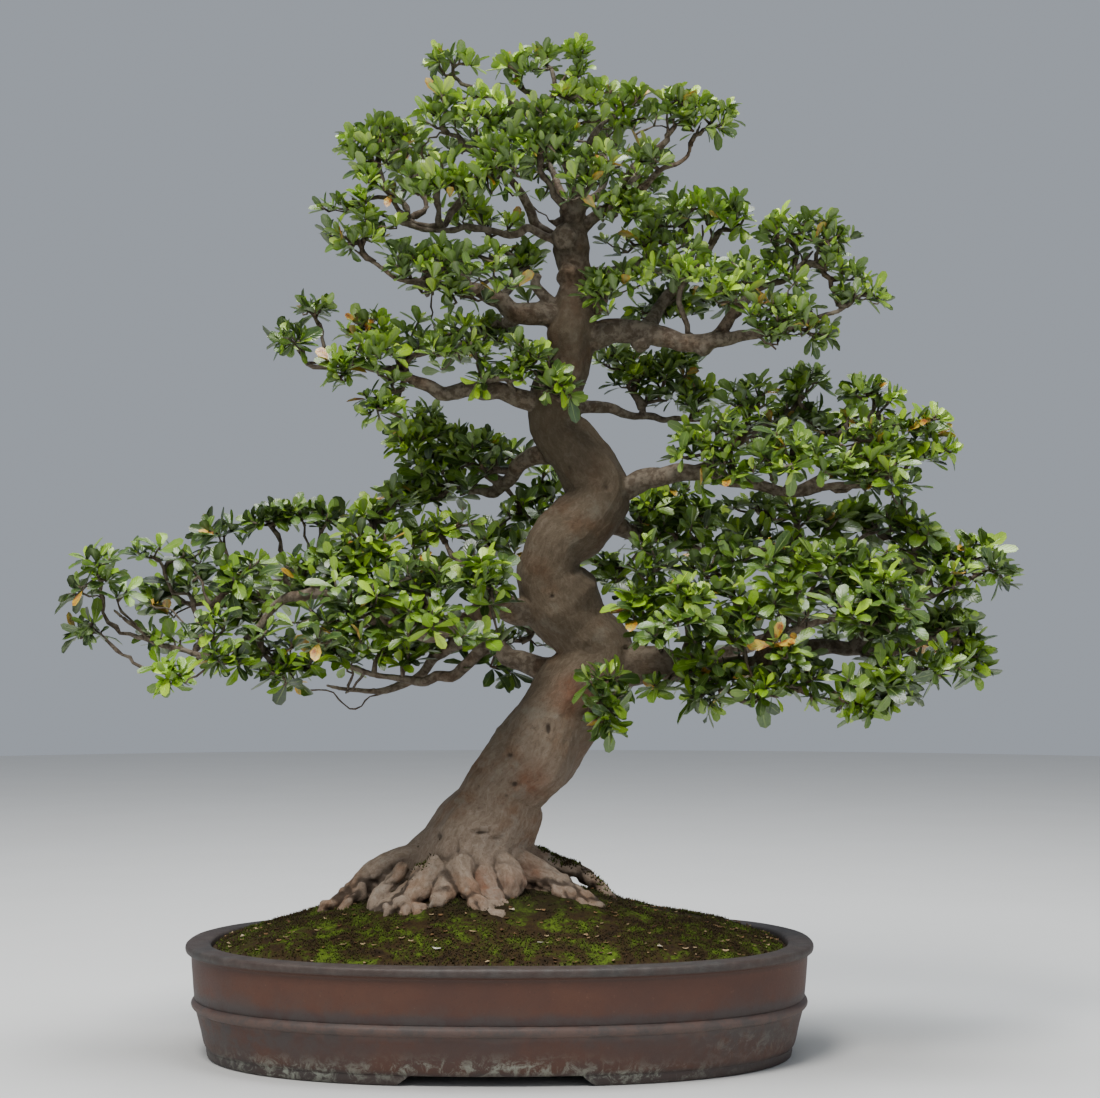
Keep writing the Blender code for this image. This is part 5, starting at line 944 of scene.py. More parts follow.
class Finish:
    """A material and short ways to add nodes to it."""

    def __init__(self, name):
        self.made = bpy.data.materials.new(name)
        self.made.use_nodes = True
        self.tree = self.made.node_tree
        self.shader = self.tree.nodes["Principled BSDF"]

    def feed(self, socket, value):
        if isinstance(value, bpy.types.NodeSocket):
            self.tree.links.new(value, socket)
        else:
            socket.default_value = value

    def node(self, kind, inputs=(), **settings):
        made = self.tree.nodes.new("ShaderNode" + kind)
        for key, value in settings.items():
            setattr(made, key, value)
        for key, value in dict(inputs).items():
            self.feed(made.inputs[key], value)
        return made

    def value(self, name):
        return self.node("Attribute", attribute_name=name).outputs["Fac"]

    def vector(self, name):
        return self.node("Attribute", attribute_name=name).outputs["Vector"]

    def place(self):
        return self.node("TexCoord").outputs["Object"]

    def stretched(self, vector, scale):
        return self.node("Mapping", {"Vector": vector, "Scale": scale}).outputs[0]

    def noise(self, vector, scale, detail=3.0, rough=0.55, twist=0.0):
        return self.node("TexNoise", {"Vector": vector, "Scale": scale, "Detail": detail,
                                      "Roughness": rough, "Distortion": twist}).outputs[0]

    def cells(self, vector, scale):
        return self.node("TexVoronoi", {"Vector": vector, "Scale": scale}).outputs[0]

    def ramp(self, value, stops):
        """Colours, or greys given as single numbers, along a value."""
        made = self.node("ValToRGB", {0: value})
        band = made.color_ramp
        while len(band.elements) < len(stops):
            band.elements.new(0.5)
        for element, (position, colour) in zip(band.elements, stops):
            element.position = position
            element.color = colour if isinstance(colour, list) else (colour, colour, colour, 1.0)
        return made.outputs[0]

    def mix(self, factor, first, second, how="MIX"):
        made = self.node("Mix", {0: factor, 6: first, 7: second}, data_type="RGBA", blend_type=how)
        return made.outputs[2]

    def maths(self, what, first, second=0.0):
        return self.node("Math", {0: first, 1: second}, operation=what).outputs[0]

    def times(self, first, second):
        return self.maths("MULTIPLY", first, second)

    def plus(self, first, second):
        return self.maths("ADD", first, second)

    def minus(self, first, second):
        return self.maths("SUBTRACT", first, second)

    def spread(self, value, low, high, first=0.0, second=1.0):
        """A value's range from low to high, as a smooth step from first to second."""
        made = self.node("MapRange", {0: value, 1: low, 2: high, 3: first, 4: second},
                         interpolation_type="SMOOTHSTEP")
        return made.outputs[0]

    def finish(self, colour, roughness, height=None, distance=0.0005, strength=0.5, **constants):
        self.feed(self.shader.inputs["Base Color"], colour)
        self.feed(self.shader.inputs["Roughness"], roughness)
        if height is not None:
            bump = self.node("Bump", {"Height": height, "Strength": strength, "Distance": distance})
            self.feed(self.shader.inputs["Normal"], bump.outputs[0])
        for key, value in constants.items():
            self.shader.inputs[key.replace("_", " ")].default_value = value
        return self.made


def bark_finish(name, dark):
    """Smooth grey-brown azalea bark: pale roots, browner and darker trunk and limbs, partly painted shade."""
    f = Finish(name)
    place = f.place()
    grain = f.vector("grain")
    height = f.node("SeparateXYZ", {0: place}).outputs[2]
    streaks = f.noise(f.stretched(grain, (0.30, 0.30, 0.17)), 1.0, 6.0, 0.70, 0.8)
    fibres = f.noise(f.stretched(grain, (1.1, 1.1, 0.60)), 1.0, 5.0, 0.70)
    patches = f.noise(place, 30.0, 4.0, 0.6)
    broad = f.noise(place, 11.0, 2.0, 0.5)
    low = f.ramp(streaks, [(0.30, srgb(120, 102, 86)), (0.50, srgb(144, 126, 109)),
                           (0.72, srgb(162, 147, 132))])
    high = f.ramp(streaks, [(0.30, srgb(78, 66, 51)), (0.50, srgb(92, 79, 63)), (0.72, srgb(108, 96, 80))])
    # Darker towards the crown: painted shade of the foliage over the upper trunk and limbs
    top = f.spread(f.plus(height, f.times(broad, 0.06)), 0.38, 0.56, 0.0, 0.55)
    high = f.mix(top, high, srgb(58, 50, 34))
    # Pale roots to darker wood with height: partly the bark's own colour, partly painted shade
    swing = f.times(f.minus(broad, 0.5), 0.10)
    up = f.spread(f.plus(height, swing), 0.105, 0.30)
    colour = f.mix(up, low, high)
    thin = f.spread(f.value("girth"), 0.05, 0.75, 0.78, 0.0)
    mottled = f.spread(f.noise(place, 210.0, 3.0, 0.6), 0.38, 0.62)
    colour = f.mix(f.times(thin, up), colour, f.mix(mottled, srgb(84, 72, 60), srgb(132, 121, 106)))
    warm = f.mix(1.0, colour, srgb(232, 196, 166), "MULTIPLY")
    colour = f.mix(f.spread(patches, 0.48, 0.68, 0.0, 0.6), colour, warm)
    red = f.times(f.value("ruddy"), f.spread(patches, 0.40, 0.60, 0.28, 0.82))
    colour = f.mix(red, colour, f.mix(streaks, srgb(84, 50, 34), srgb(138, 92, 66)))
    grey = f.spread(f.noise(place, 62.0, 5.0, 0.65), 0.54, 0.72, 0.0, 0.45)
    colour = f.mix(grey, colour, f.mix(up, srgb(158, 152, 140), srgb(112, 106, 92)))
    crack = f.spread(fibres, 0.30, 0.42, 0.30, 0.0)
    colour = f.mix(crack, colour, srgb(56, 43, 32))
    # Painted shade: darker in the hollows of the relief and in the creases between the roots
    hollow_shade = f.spread(f.value("relief"), -1.3, -0.2, 0.80, 0.0)
    colour = f.mix(hollow_shade, colour, srgb(42, 32, 24))
    specks = f.spread(f.cells(place, 380.0), 0.10, 0.20, 0.38, 0.0)
    colour = f.mix(specks, colour, srgb(54, 43, 33))
    colour = f.mix(dark, colour, srgb(50, 38, 28))
    relief = f.plus(f.times(streaks, 0.45), f.times(fibres, 0.40))
    relief = f.plus(relief, f.times(f.noise(place, 620.0, 4.0, 0.65), 0.55))
    rough = f.ramp(streaks, [(0.3, 0.90), (0.7, 0.72)])
    return f.finish(colour, rough, relief, 0.0013, 0.85, Specular_IOR_Level=0.3)


def leaf_finish():
    """Small semi-gloss leaves: dark and mid green, fresh yellow-green, a few old yellow ones."""
    f = Finish("leaf_green")
    place = f.place()
    # tone holds each leaf's own tone of green together with the painted light and shade of its whorl
    tone = f.value("tone")
    across = f.maths("ABSOLUTE", f.value("across"))
    along = f.value("along")
    under = f.value("under")
    mottle = f.noise(place, 260.0, 3.0, 0.6)
    tone = f.plus(tone, f.times(f.minus(mottle, 0.5), 0.5))
    colour = f.ramp(tone, [(0.0, srgb(32, 54, 12)), (0.35, srgb(64, 94, 28)),
                           (0.65, srgb(98, 132, 42)), (1.0, srgb(148, 178, 78))])
    fresh = f.ramp(tone, [(0.1, srgb(132, 178, 12)), (0.6, srgb(176, 216, 26)), (1.0, srgb(206, 234, 74))])
    colour = f.mix(f.value("young"), colour, fresh)
    aged = f.ramp(f.noise(place, 170.0, 4.0, 0.65), [(0.36, srgb(150, 78, 30)), (0.48, srgb(206, 150, 42)),
                                                     (0.62, srgb(214, 188, 62)), (0.72, srgb(120, 140, 50))])
    colour = f.mix(f.value("old"), colour, aged)
    rib = f.times(f.spread(across, 0.03, 0.13, 1.0, 0.0), f.spread(along, 0.55, 0.98, 1.0, 0.25))
    colour = f.mix(f.times(rib, 0.42), colour, srgb(168, 186, 110))
    reach = f.minus(f.times(along, 44.0), f.times(across, 13.0))
    veins = f.maths("SINE", reach)
    lines = f.spread(veins, 0.55, 1.0, 0.0, 0.20)
    colour = f.mix(lines, colour, srgb(60, 84, 40))
    edge = f.times(f.spread(across, 0.80, 1.0), 0.30)
    colour = f.mix(edge, colour, srgb(110, 116, 50))
    tip = f.times(f.spread(along, 0.90, 1.0), f.spread(mottle, 0.48, 0.62, 0.0, 0.7))
    colour = f.mix(tip, colour, srgb(128, 92, 48))
    pale = f.mix(0.6, colour, srgb(140, 156, 112))
    colour = f.mix(under, colour, pale)
    relief = f.minus(f.times(veins, 0.16), f.times(rib, 0.6))
    relief = f.plus(relief, f.times(f.noise(place, 900.0, 2.0), 0.22))
    rough = f.plus(f.times(mottle, 0.22), f.times(under, 0.22))
    rough = f.plus(rough, 0.20)
    return f.finish(colour, rough, relief, 0.0004, 0.6, Specular_IOR_Level=0.8)


def stoneware_finish():
    """Unglazed red-brown stoneware, grey on the lip, pale mineral bloom low down, some painted shade and
    highlight.
    """
    f = Finish("stoneware_clay")
    place = f.place()
    height = f.node("SeparateXYZ", {0: place}).outputs[2]
    clouds = f.noise(place, 22.0, 4.0, 0.6)
    grit = f.noise(place, 900.0, 3.0, 0.6)
    colour = f.ramp(clouds, [(0.30, srgb(75, 48, 38)), (0.48, srgb(80, 50, 38)),
                             (0.62, srgb(85, 53, 39)), (0.75, srgb(77, 50, 40))])
    fleck = f.spread(f.noise(place, 330.0, 4.0, 0.7), 0.62, 0.74, 0.0, 0.4)
    colour = f.mix(fleck, colour, srgb(116, 84, 66))
    dark = f.spread(f.cells(place, 300.0), 0.07, 0.16, 0.55, 0.0)
    colour = f.mix(dark, colour, srgb(52, 40, 36))
    wander = f.times(f.minus(f.noise(place, 55.0, 3.0), 0.5), 0.006)
    level = f.plus(height, wander)
    band = f.times(f.spread(level, 0.0395, 0.0430), f.spread(level, 0.0450, 0.0520, 1.0, 0.0))
    colour = f.mix(f.times(band, 0.75), colour, srgb(60, 50, 49))
    below = f.spread(level, 0.0300, 0.0345, 0.0, 1.0)
    # Painted shade below the bead's overhang, patchy with the clouds
    low = f.times(f.spread(level, 0.030, 0.034, 1.0, 0.0), f.spread(clouds, 0.40, 0.66, 0.62, 0.22))
    colour = f.mix(low, colour, srgb(68, 55, 51))
    # Painted highlight: the bead lighter than the wall
    bead_highlight = f.times(below, f.spread(level, 0.0400, 0.0425, 1.0, 0.0))
    colour = f.mix(f.times(bead_highlight, 0.55), colour, srgb(96, 84, 79))
    foot = f.spread(level, 0.0060, 0.0110, 0.70, 0.0)
    colour = f.mix(foot, colour, srgb(56, 53, 52))
    smudge = f.times(f.value("smudge"), f.spread(f.noise(place, 70.0, 5.0, 0.7), 0.40, 0.60))
    colour = f.mix(f.times(smudge, 0.75), colour, srgb(68, 63, 61))
    lip = f.times(f.spread(height, 0.0738, 0.0760), f.spread(clouds, 0.30, 0.60, 0.95, 0.70))
    colour = f.mix(lip, colour, f.ramp(f.noise(place, 120.0, 5.0, 0.7), [
        (0.35, srgb(49, 47, 45)), (0.5, srgb(59, 57, 55)), (0.66, srgb(74, 72, 69))]))
    # Painted shade in the band under the lip's overhang
    shade_under_lip = f.times(f.spread(height, 0.0700, 0.0728), f.spread(height, 0.0742, 0.0752, 1.0, 0.0))
    colour = f.mix(f.times(shade_under_lip, 0.45), colour, srgb(50, 38, 34))
    crust = f.spread(f.noise(place, 110.0, 6.0, 0.75, 0.6), 0.45, 0.62)
    bloom = f.times(f.value("bloom"), crust)
    colour = f.mix(f.times(bloom, 0.75), colour, srgb(150, 154, 140))
    relief = f.plus(f.times(grit, 0.5), f.times(bloom, 0.5))
    relief = f.plus(relief, f.times(f.noise(place, 240.0, 3.0), 0.5))
    rough = f.plus(f.times(grit, 0.30), 0.44)
    return f.finish(colour, rough, relief, 0.0005, 0.45, Specular_IOR_Level=0.4)


def moss_colour(f, place, shift):
    """Patches of bright green, olive and brown moss."""
    patches = f.noise(place, 58.0, 6.0, 0.68, 0.4)
    patches = f.plus(patches, shift)
    colour = f.ramp(patches, [(0.36, srgb(42, 31, 20)), (0.46, srgb(62, 47, 27)), (0.52, srgb(60, 58, 22)),
                              (0.57, srgb(70, 84, 22)), (0.65, srgb(94, 116, 32)), (0.76, srgb(76, 82, 30))])
    # Darker where the bed is heaped round the roots: partly dark earth, partly painted shade under the tree
    return f.mix(f.spread(f.value("heap"), 0.10, 0.70, 0.0, 0.62), colour, srgb(36, 32, 18))


def moss_bed_finish():
    f = Finish("moss_cushion")
    place = f.place()
    fine = f.noise(place, 520.0, 4.0, 0.7)
    shift = f.times(f.minus(fine, 0.5), 0.22)
    colour = moss_colour(f, place, shift)
    colour = f.mix(f.spread(fine, 0.34, 0.5, 0.75, 0.0), colour, srgb(44, 36, 22))
    edge = f.value("edge")
    colour = f.mix(edge, colour, f.mix(fine, srgb(46, 36, 28), srgb(96, 78, 62)))
    return f.finish(colour, 0.95, fine, 0.0012, 0.9, Specular_IOR_Level=0.15)


def moss_pile_finish():
    f = Finish("moss_pile")
    place = f.place()
    shift = f.times(f.minus(f.value("tone"), 0.5), 0.16)
    colour = moss_colour(f, place, shift)
    colour = f.mix(f.spread(f.value("along"), 0.0, 0.9, 0.65, 0.0), colour, srgb(40, 40, 18))
    return f.finish(colour, 0.85, Specular_IOR_Level=0.2)


def litter_finish():
    """Dry flakes, petals and grit on the moss, from brown to nearly white."""
    f = Finish("dry_litter")
    tone = f.value("tone")
    spot = f.noise(f.place(), 500.0, 3.0)
    tone = f.plus(tone, f.times(f.minus(spot, 0.5), 0.3))
    colour = f.ramp(tone, [(0.05, srgb(72, 50, 34)), (0.35, srgb(128, 96, 62)), (0.62, srgb(182, 156, 118)),
                           (0.85, srgb(216, 202, 178)), (1.0, srgb(232, 226, 216))])
    return f.finish(colour, 0.8, spot, 0.0004, 0.5, Specular_IOR_Level=0.25)


def soil_finish():
    f = Finish("soil_grain")
    place = f.place()
    grains = f.cells(place, 480.0)
    tint = f.noise(place, 300.0, 3.0)
    colour = f.ramp(tint, [(0.3, srgb(48, 36, 26)), (0.5, srgb(84, 64, 46)), (0.7, srgb(124, 98, 74))])
    colour = f.mix(f.spread(grains, 0.25, 0.6, 0.0, 0.8), colour, srgb(32, 24, 18))
    return f.finish(colour, 0.93, f.minus(1.0, grains), 0.0012, 0.9, Specular_IOR_Level=0.2)


def plastic_finish():
    f = Finish("mesh_plastic")
    scuff = f.noise(f.place(), 400.0, 4.0, 0.7)
    colour = f.mix(f.spread(scuff, 0.5, 0.7), srgb(30, 30, 30), srgb(70, 66, 62))
    return f.finish(colour, f.ramp(scuff, [(0.3, 0.38), (0.7, 0.62)]), scuff, 0.0002, 0.4)


# Places along the tree

def sighted(across, depth, height, radius=0.0):
    """A place of the front elevation, moved along the line of sight to its depth."""
    scale = (EYE_DISTANCE + depth * MM) / EYE_DISTANCE
    place = Vector((EYE_ACROSS + (across * MM - EYE_ACROSS) * scale, depth * MM,
                    EYE_HEIGHT + (height * MM - EYE_HEIGHT) * scale)) + Vector(CENTRING)
    return place, radius * MM * scale


def elevation(places):
    """Across and height in millimetres, as the eye point sees each place."""
    local = places - np.array(CENTRING)
    scale = (EYE_DISTANCE + local[:, 1]) / EYE_DISTANCE
    across = EYE_ACROSS + (local[:, 0] - EYE_ACROSS) / scale
    height = EYE_HEIGHT + (local[:, 2] - EYE_HEIGHT) / scale
    return across / MM, height / MM


def smooth_route(stations):
    """Points and radii along a smooth curve through the stations."""
    placed = [sighted(*station) for station in stations]
    route = []
    last = len(placed) - 1
    for i in range(last):
        before, here = placed[max(i - 1, 0)], placed[i]
        there, after = placed[i + 1], placed[min(i + 2, last)]
        steps = max(2, round((there[0] - here[0]).length / TUBE_STEP))
        for step in range(steps):
            t = step / steps
            point = 0.5 * (2 * here[0] + (there[0] - before[0]) * t
                           + (2 * before[0] - 5 * here[0] + 4 * there[0] - after[0]) * t ** 2
                           + (3 * here[0] - before[0] - 3 * there[0] + after[0]) * t ** 3)
            route.append((point, here[1] + (there[1] - here[1]) * t))
    route.append(placed[-1])
    return route


def turned_frames(points):
    """A direction and two steady crosswise axes at each point of a route."""
    count = len(points)
    frames = []
    side = None
    for i in range(count):
        ahead = (points[min(i + 1, count - 1)] - points[max(i - 1, 0)]).normalized()
        side = side or ahead.orthogonal()
        side = (side - ahead * side.dot(ahead)).normalized()
        frames.append((ahead, side, ahead.cross(side)))
    return frames


# Wood

def web(stations):
    """Stations of the wood that fills the space between a root and the bed."""
    return [(across, depth, height - WEB_DROP * max(height - WEB_BASE, 0), radius)
            for across, depth, height, radius in stations]


def with_tip(stations):
    """A limb's stations with one more, where it ends in a point."""
    (x0, y0, z0, r0), (x1, y1, z1, r1) = stations[-2:]
    step = Vector((x1 - x0, y1 - y0, z1 - z0)).normalized() * LIMB_TIP
    return stations + [(x1 + step.x, y1 + step.y, z1 + step.z + 1.5, 1.1)]


def crooked(stations, seed):
    """A limb's stations, slimmer, and with an uneven one more between each two."""
    draw = random.Random(seed)
    last = len(stations) - 1
    found = []
    for i, (across, depth, height, radius) in enumerate(stations):
        slim = LIMB_SLIMMING[0] + (LIMB_SLIMMING[1] - LIMB_SLIMMING[0]) * i / last
        found.append((across, depth, height, radius * slim))
        if i < last:
            after = stations[i + 1]
            middle = [(a + b) / 2 for a, b in zip(stations[i], after)]
            bend = [draw.uniform(-1, 1) * min(LIMB_CROOK, 0.7 + middle[3] * 0.35) for axis in range(3)]
            knot = draw.uniform(0.90, 1.06)
            found.append(tuple([middle[j] + bend[j] for j in range(3)] + [middle[3] * slim * knot]))
    return found


def grown_limb(name):
    return crooked(LIMBS[name], 60 + list(LIMBS).index(name))


def tube(stations, draw):
    """Points and triangles of a round, slightly lumpy tube, and its stations."""
    route = smooth_route(stations)
    frames = turned_frames([point for point, radius in route])
    waves = [(draw.uniform(0, 6.3), draw.uniform(60, 140), k) for k in (2, 3, 5)]
    angles = np.arange(TUBE_SIDES) * 2 * math.pi / TUBE_SIDES
    points = []
    kept = []
    walked = 0.0
    for i, (point, radius) in enumerate(route):
        if i:
            walked += (point - route[i - 1][0]).length
        swell = sum(np.sin(k * angles + phase + walked * rate) for phase, rate, k in waves)
        reach = radius * (1 + LUMPINESS * swell / 1.8)
        ahead, side, other = [np.array(axis) for axis in frames[i]]
        ring = np.outer(np.cos(angles), side) + np.outer(np.sin(angles), other)
        points.append(np.array(point) + ring * reach[:, None])
        kept.append((np.array(point), radius, ahead, side, other, walked))
    points = np.concatenate(points)
    rows = len(route)
    first = np.arange(TUBE_SIDES)
    last = first + (rows - 1) * TUBE_SIDES
    points = np.concatenate([points, [np.array(route[0][0]), np.array(route[-1][0])]])
    triangles = np.concatenate([grid_triangles(rows, TUBE_SIDES), fan_triangles(first, len(points) - 2, True),
                                fan_triangles(last, len(points) - 1)])
    return points, triangles, kept


def relaxed(places, edges, rounds):
    """Places after smoothing that keeps the volume."""
    count = len(places)
    near = np.bincount(edges.ravel(), minlength=count)[:, None]
    for step in range(rounds * 2):
        total = np.stack([np.bincount(edges[:, 0], places[edges[:, 1], axis], count)
                          + np.bincount(edges[:, 1], places[edges[:, 0], axis], count)
                          for axis in range(3)], 1)
        places = places + (0.55 if step % 2 == 0 else -0.57) * (total / near - places)
    return places


def nearest_stations(places, stations, starts):
    """For each place its station, and how much nearer its own tube is than any other, in mm."""
    middles = np.array([station[0] for station in stations])
    radii = np.array([station[1] for station in stations])
    found = np.empty(len(places), dtype=np.int64)
    margin = np.empty(len(places))
    for begin in range(0, len(places), BATCH):
        part = places[begin:begin + BATCH]
        square = (part ** 2).sum(1)[:, None] + (middles ** 2).sum(1)[None, :] - 2 * part @ middles.T
        gaps = np.sqrt(np.maximum(square, 0.0)) - radii[None, :]
        found[begin:begin + BATCH] = gaps.argmin(1)
        best = np.sort(np.minimum.reduceat(gaps, starts, axis=1), axis=1)
        margin[begin:begin + BATCH] = (best[:, 1] - best[:, 0]) / MM
    return found, margin


def scar_relief(places, normals):
    """Dents and lips of the scars that show on the front, in metres."""
    across, height = elevation(places)
    facing = np.clip(-normals[:, 1] * 2.5, 0.0, 1.0)
    total = np.zeros(len(places))
    for x, z, wide, tall, deep, lip in SCARS:
        d = np.sqrt(((across - x) / wide) ** 2 + ((height - z) / tall) ** 2)
        total += (-deep * np.exp(-d ** 2) + lip * np.exp(-((d - 1.7) / 0.6) ** 2)) * facing
    return total * MM


def wood_tubes():
    """Trunk, roots, limbs and stubs as tubes in one mesh, their stations and each one's first."""
    draw = random.Random(7)
    routes = [TRUNK] + list(ROOTS.values()) + [with_tip(grown_limb(name)) for name in LIMBS]
    routes += [web(root) for root in ROOTS.values()] + SMALL_ROOTS + STUBS
    points = []
    triangles = []
    stations = []
    starts = []
    for route in routes:
        some, faces, kept = tube(route, draw)
        triangles.append(faces + sum(len(p) for p in points))
        points.append(some)
        starts.append(len(stations))
        stations += kept
    mesh = make_mesh("wood_tubes", np.concatenate(points), np.concatenate(triangles))
    return mesh, stations, starts


def drawn_out(grain, across, along):
    """Places for a pattern that is drawn out along the wood."""
    return np.stack([grain[:, 0] / across, grain[:, 1] / across, grain[:, 2] / along], 1)


def wood_forms(places, normals, grain, radius, calm, gnarled):
    """How far each place stands out, and the part of it whose hollows get painted shade on the bark."""
    girth = np.clip(radius / 0.022, 0.12, 1.0)
    lumps = fractal(places, LUMPS[0], 3, 3) * LUMPS[1] * girth
    knobs = fractal(places, KNOBS, 2, 11) * np.clip(radius * 0.10, 0.0002, 0.00055)
    turn = drawn_out(grain, *FLUTES[:2])
    flutes = fractal(turn, 1.0, 2, 23) * FLUTES[2] * girth * calm
    thin = drawn_out(grain, *RIDGES[:2])
    ridges = noise(thin, 31) * RIDGES[2] * np.sqrt(girth) * calm
    scars = scar_relief(places, normals)
    folds = drawn_out(grain, *FURROWS)
    furrows = (np.abs(noise(folds, 71)) - 0.30) * FURROW_DEPTH * gnarled * calm
    knuckles = (np.abs(fractal(places, KNUCKLES, 2, 77)) - 0.34) * KNOB_DEPTH * gnarled ** 2
    crumbs = fractal(places, CRUMBS[0], 2, 91) * CRUMBS[1] * gnarled
    whole = lumps + knobs + flutes + ridges + scars + furrows + knuckles + crumbs
    return whole, flutes + ridges + scars + furrows + knuckles


def make_wood():
    """Trunk, roots and limbs as one skin, with lumps, flutes, fine ridges and scars."""
    mesh, stations, starts = wood_tubes()
    mesh = applied("wood", mesh, [("REMESH", {"mode": "VOXEL", "voxel_size": WOOD_VOXEL, "adaptivity": 0.0})])
    edges = np.empty(len(mesh.edges) * 2, dtype=np.int32)
    mesh.edges.foreach_get("vertices", edges)
    places = relaxed(places_of(mesh), edges.reshape(-1, 2), WOOD_SMOOTHING)
    put_places(mesh, places)
    normals = normals_of(mesh)
    found, margin = nearest_stations(places, stations, starts)
    middle, radius, ahead, side, other, walked = [np.array([s[i] for s in stations])[found] for i in range(6)]
    offset = places - middle
    grain = np.stack([(offset * side).sum(1), (offset * other).sum(1),
                      walked + (offset * ahead).sum(1)], 1) / MM
    calm = np.clip(margin / 5.0, 0.0, 1.0)
    across, height = elevation(places)
    gnarled = np.clip((GNARLED[1] - height) / (GNARLED[1] - GNARLED[0]), 0.0, 1.0)
    whole, fine = wood_forms(places, normals, grain, radius, calm, gnarled)
    put_places(mesh, places + normals * whole[:, None])
    ruddy = np.zeros(len(places))
    facing = np.clip(-normals[:, 1] * 2, 0, 1)
    for x, z, reach in RUDDY:
        ruddy += np.exp(-((across - x) ** 2 + (height - z) ** 2) / reach ** 2) * facing
    set_values(mesh, "grain", grain)
    # Creases between the gnarled roots, which the bark darkens as painted shade
    crease_shade = -1.5 * (1 - np.clip(margin / 2.5, 0.0, 1.0)) * gnarled
    relief = fine / 0.0012 + crease_shade
    set_values(mesh, "relief", np.clip(relief, -3, 2))
    set_values(mesh, "ruddy", np.clip(ruddy, 0, 1))
    set_values(mesh, "girth", np.clip(radius / 0.030, 0, 1))
    faces = 2 * len(mesh.polygons)
    if faces > WOOD_TRIANGLES:
        mesh = applied("wood", mesh, [("DECIMATE", {"ratio": WOOD_TRIANGLES / faces,
                                                    "use_collapse_triangulate": True})])
    mesh.shade_smooth()
    return add_piece("tree_wood", mesh, bark_finish("bark_wood", 0.0), "bark", "trunk")


# Twigs and leaves

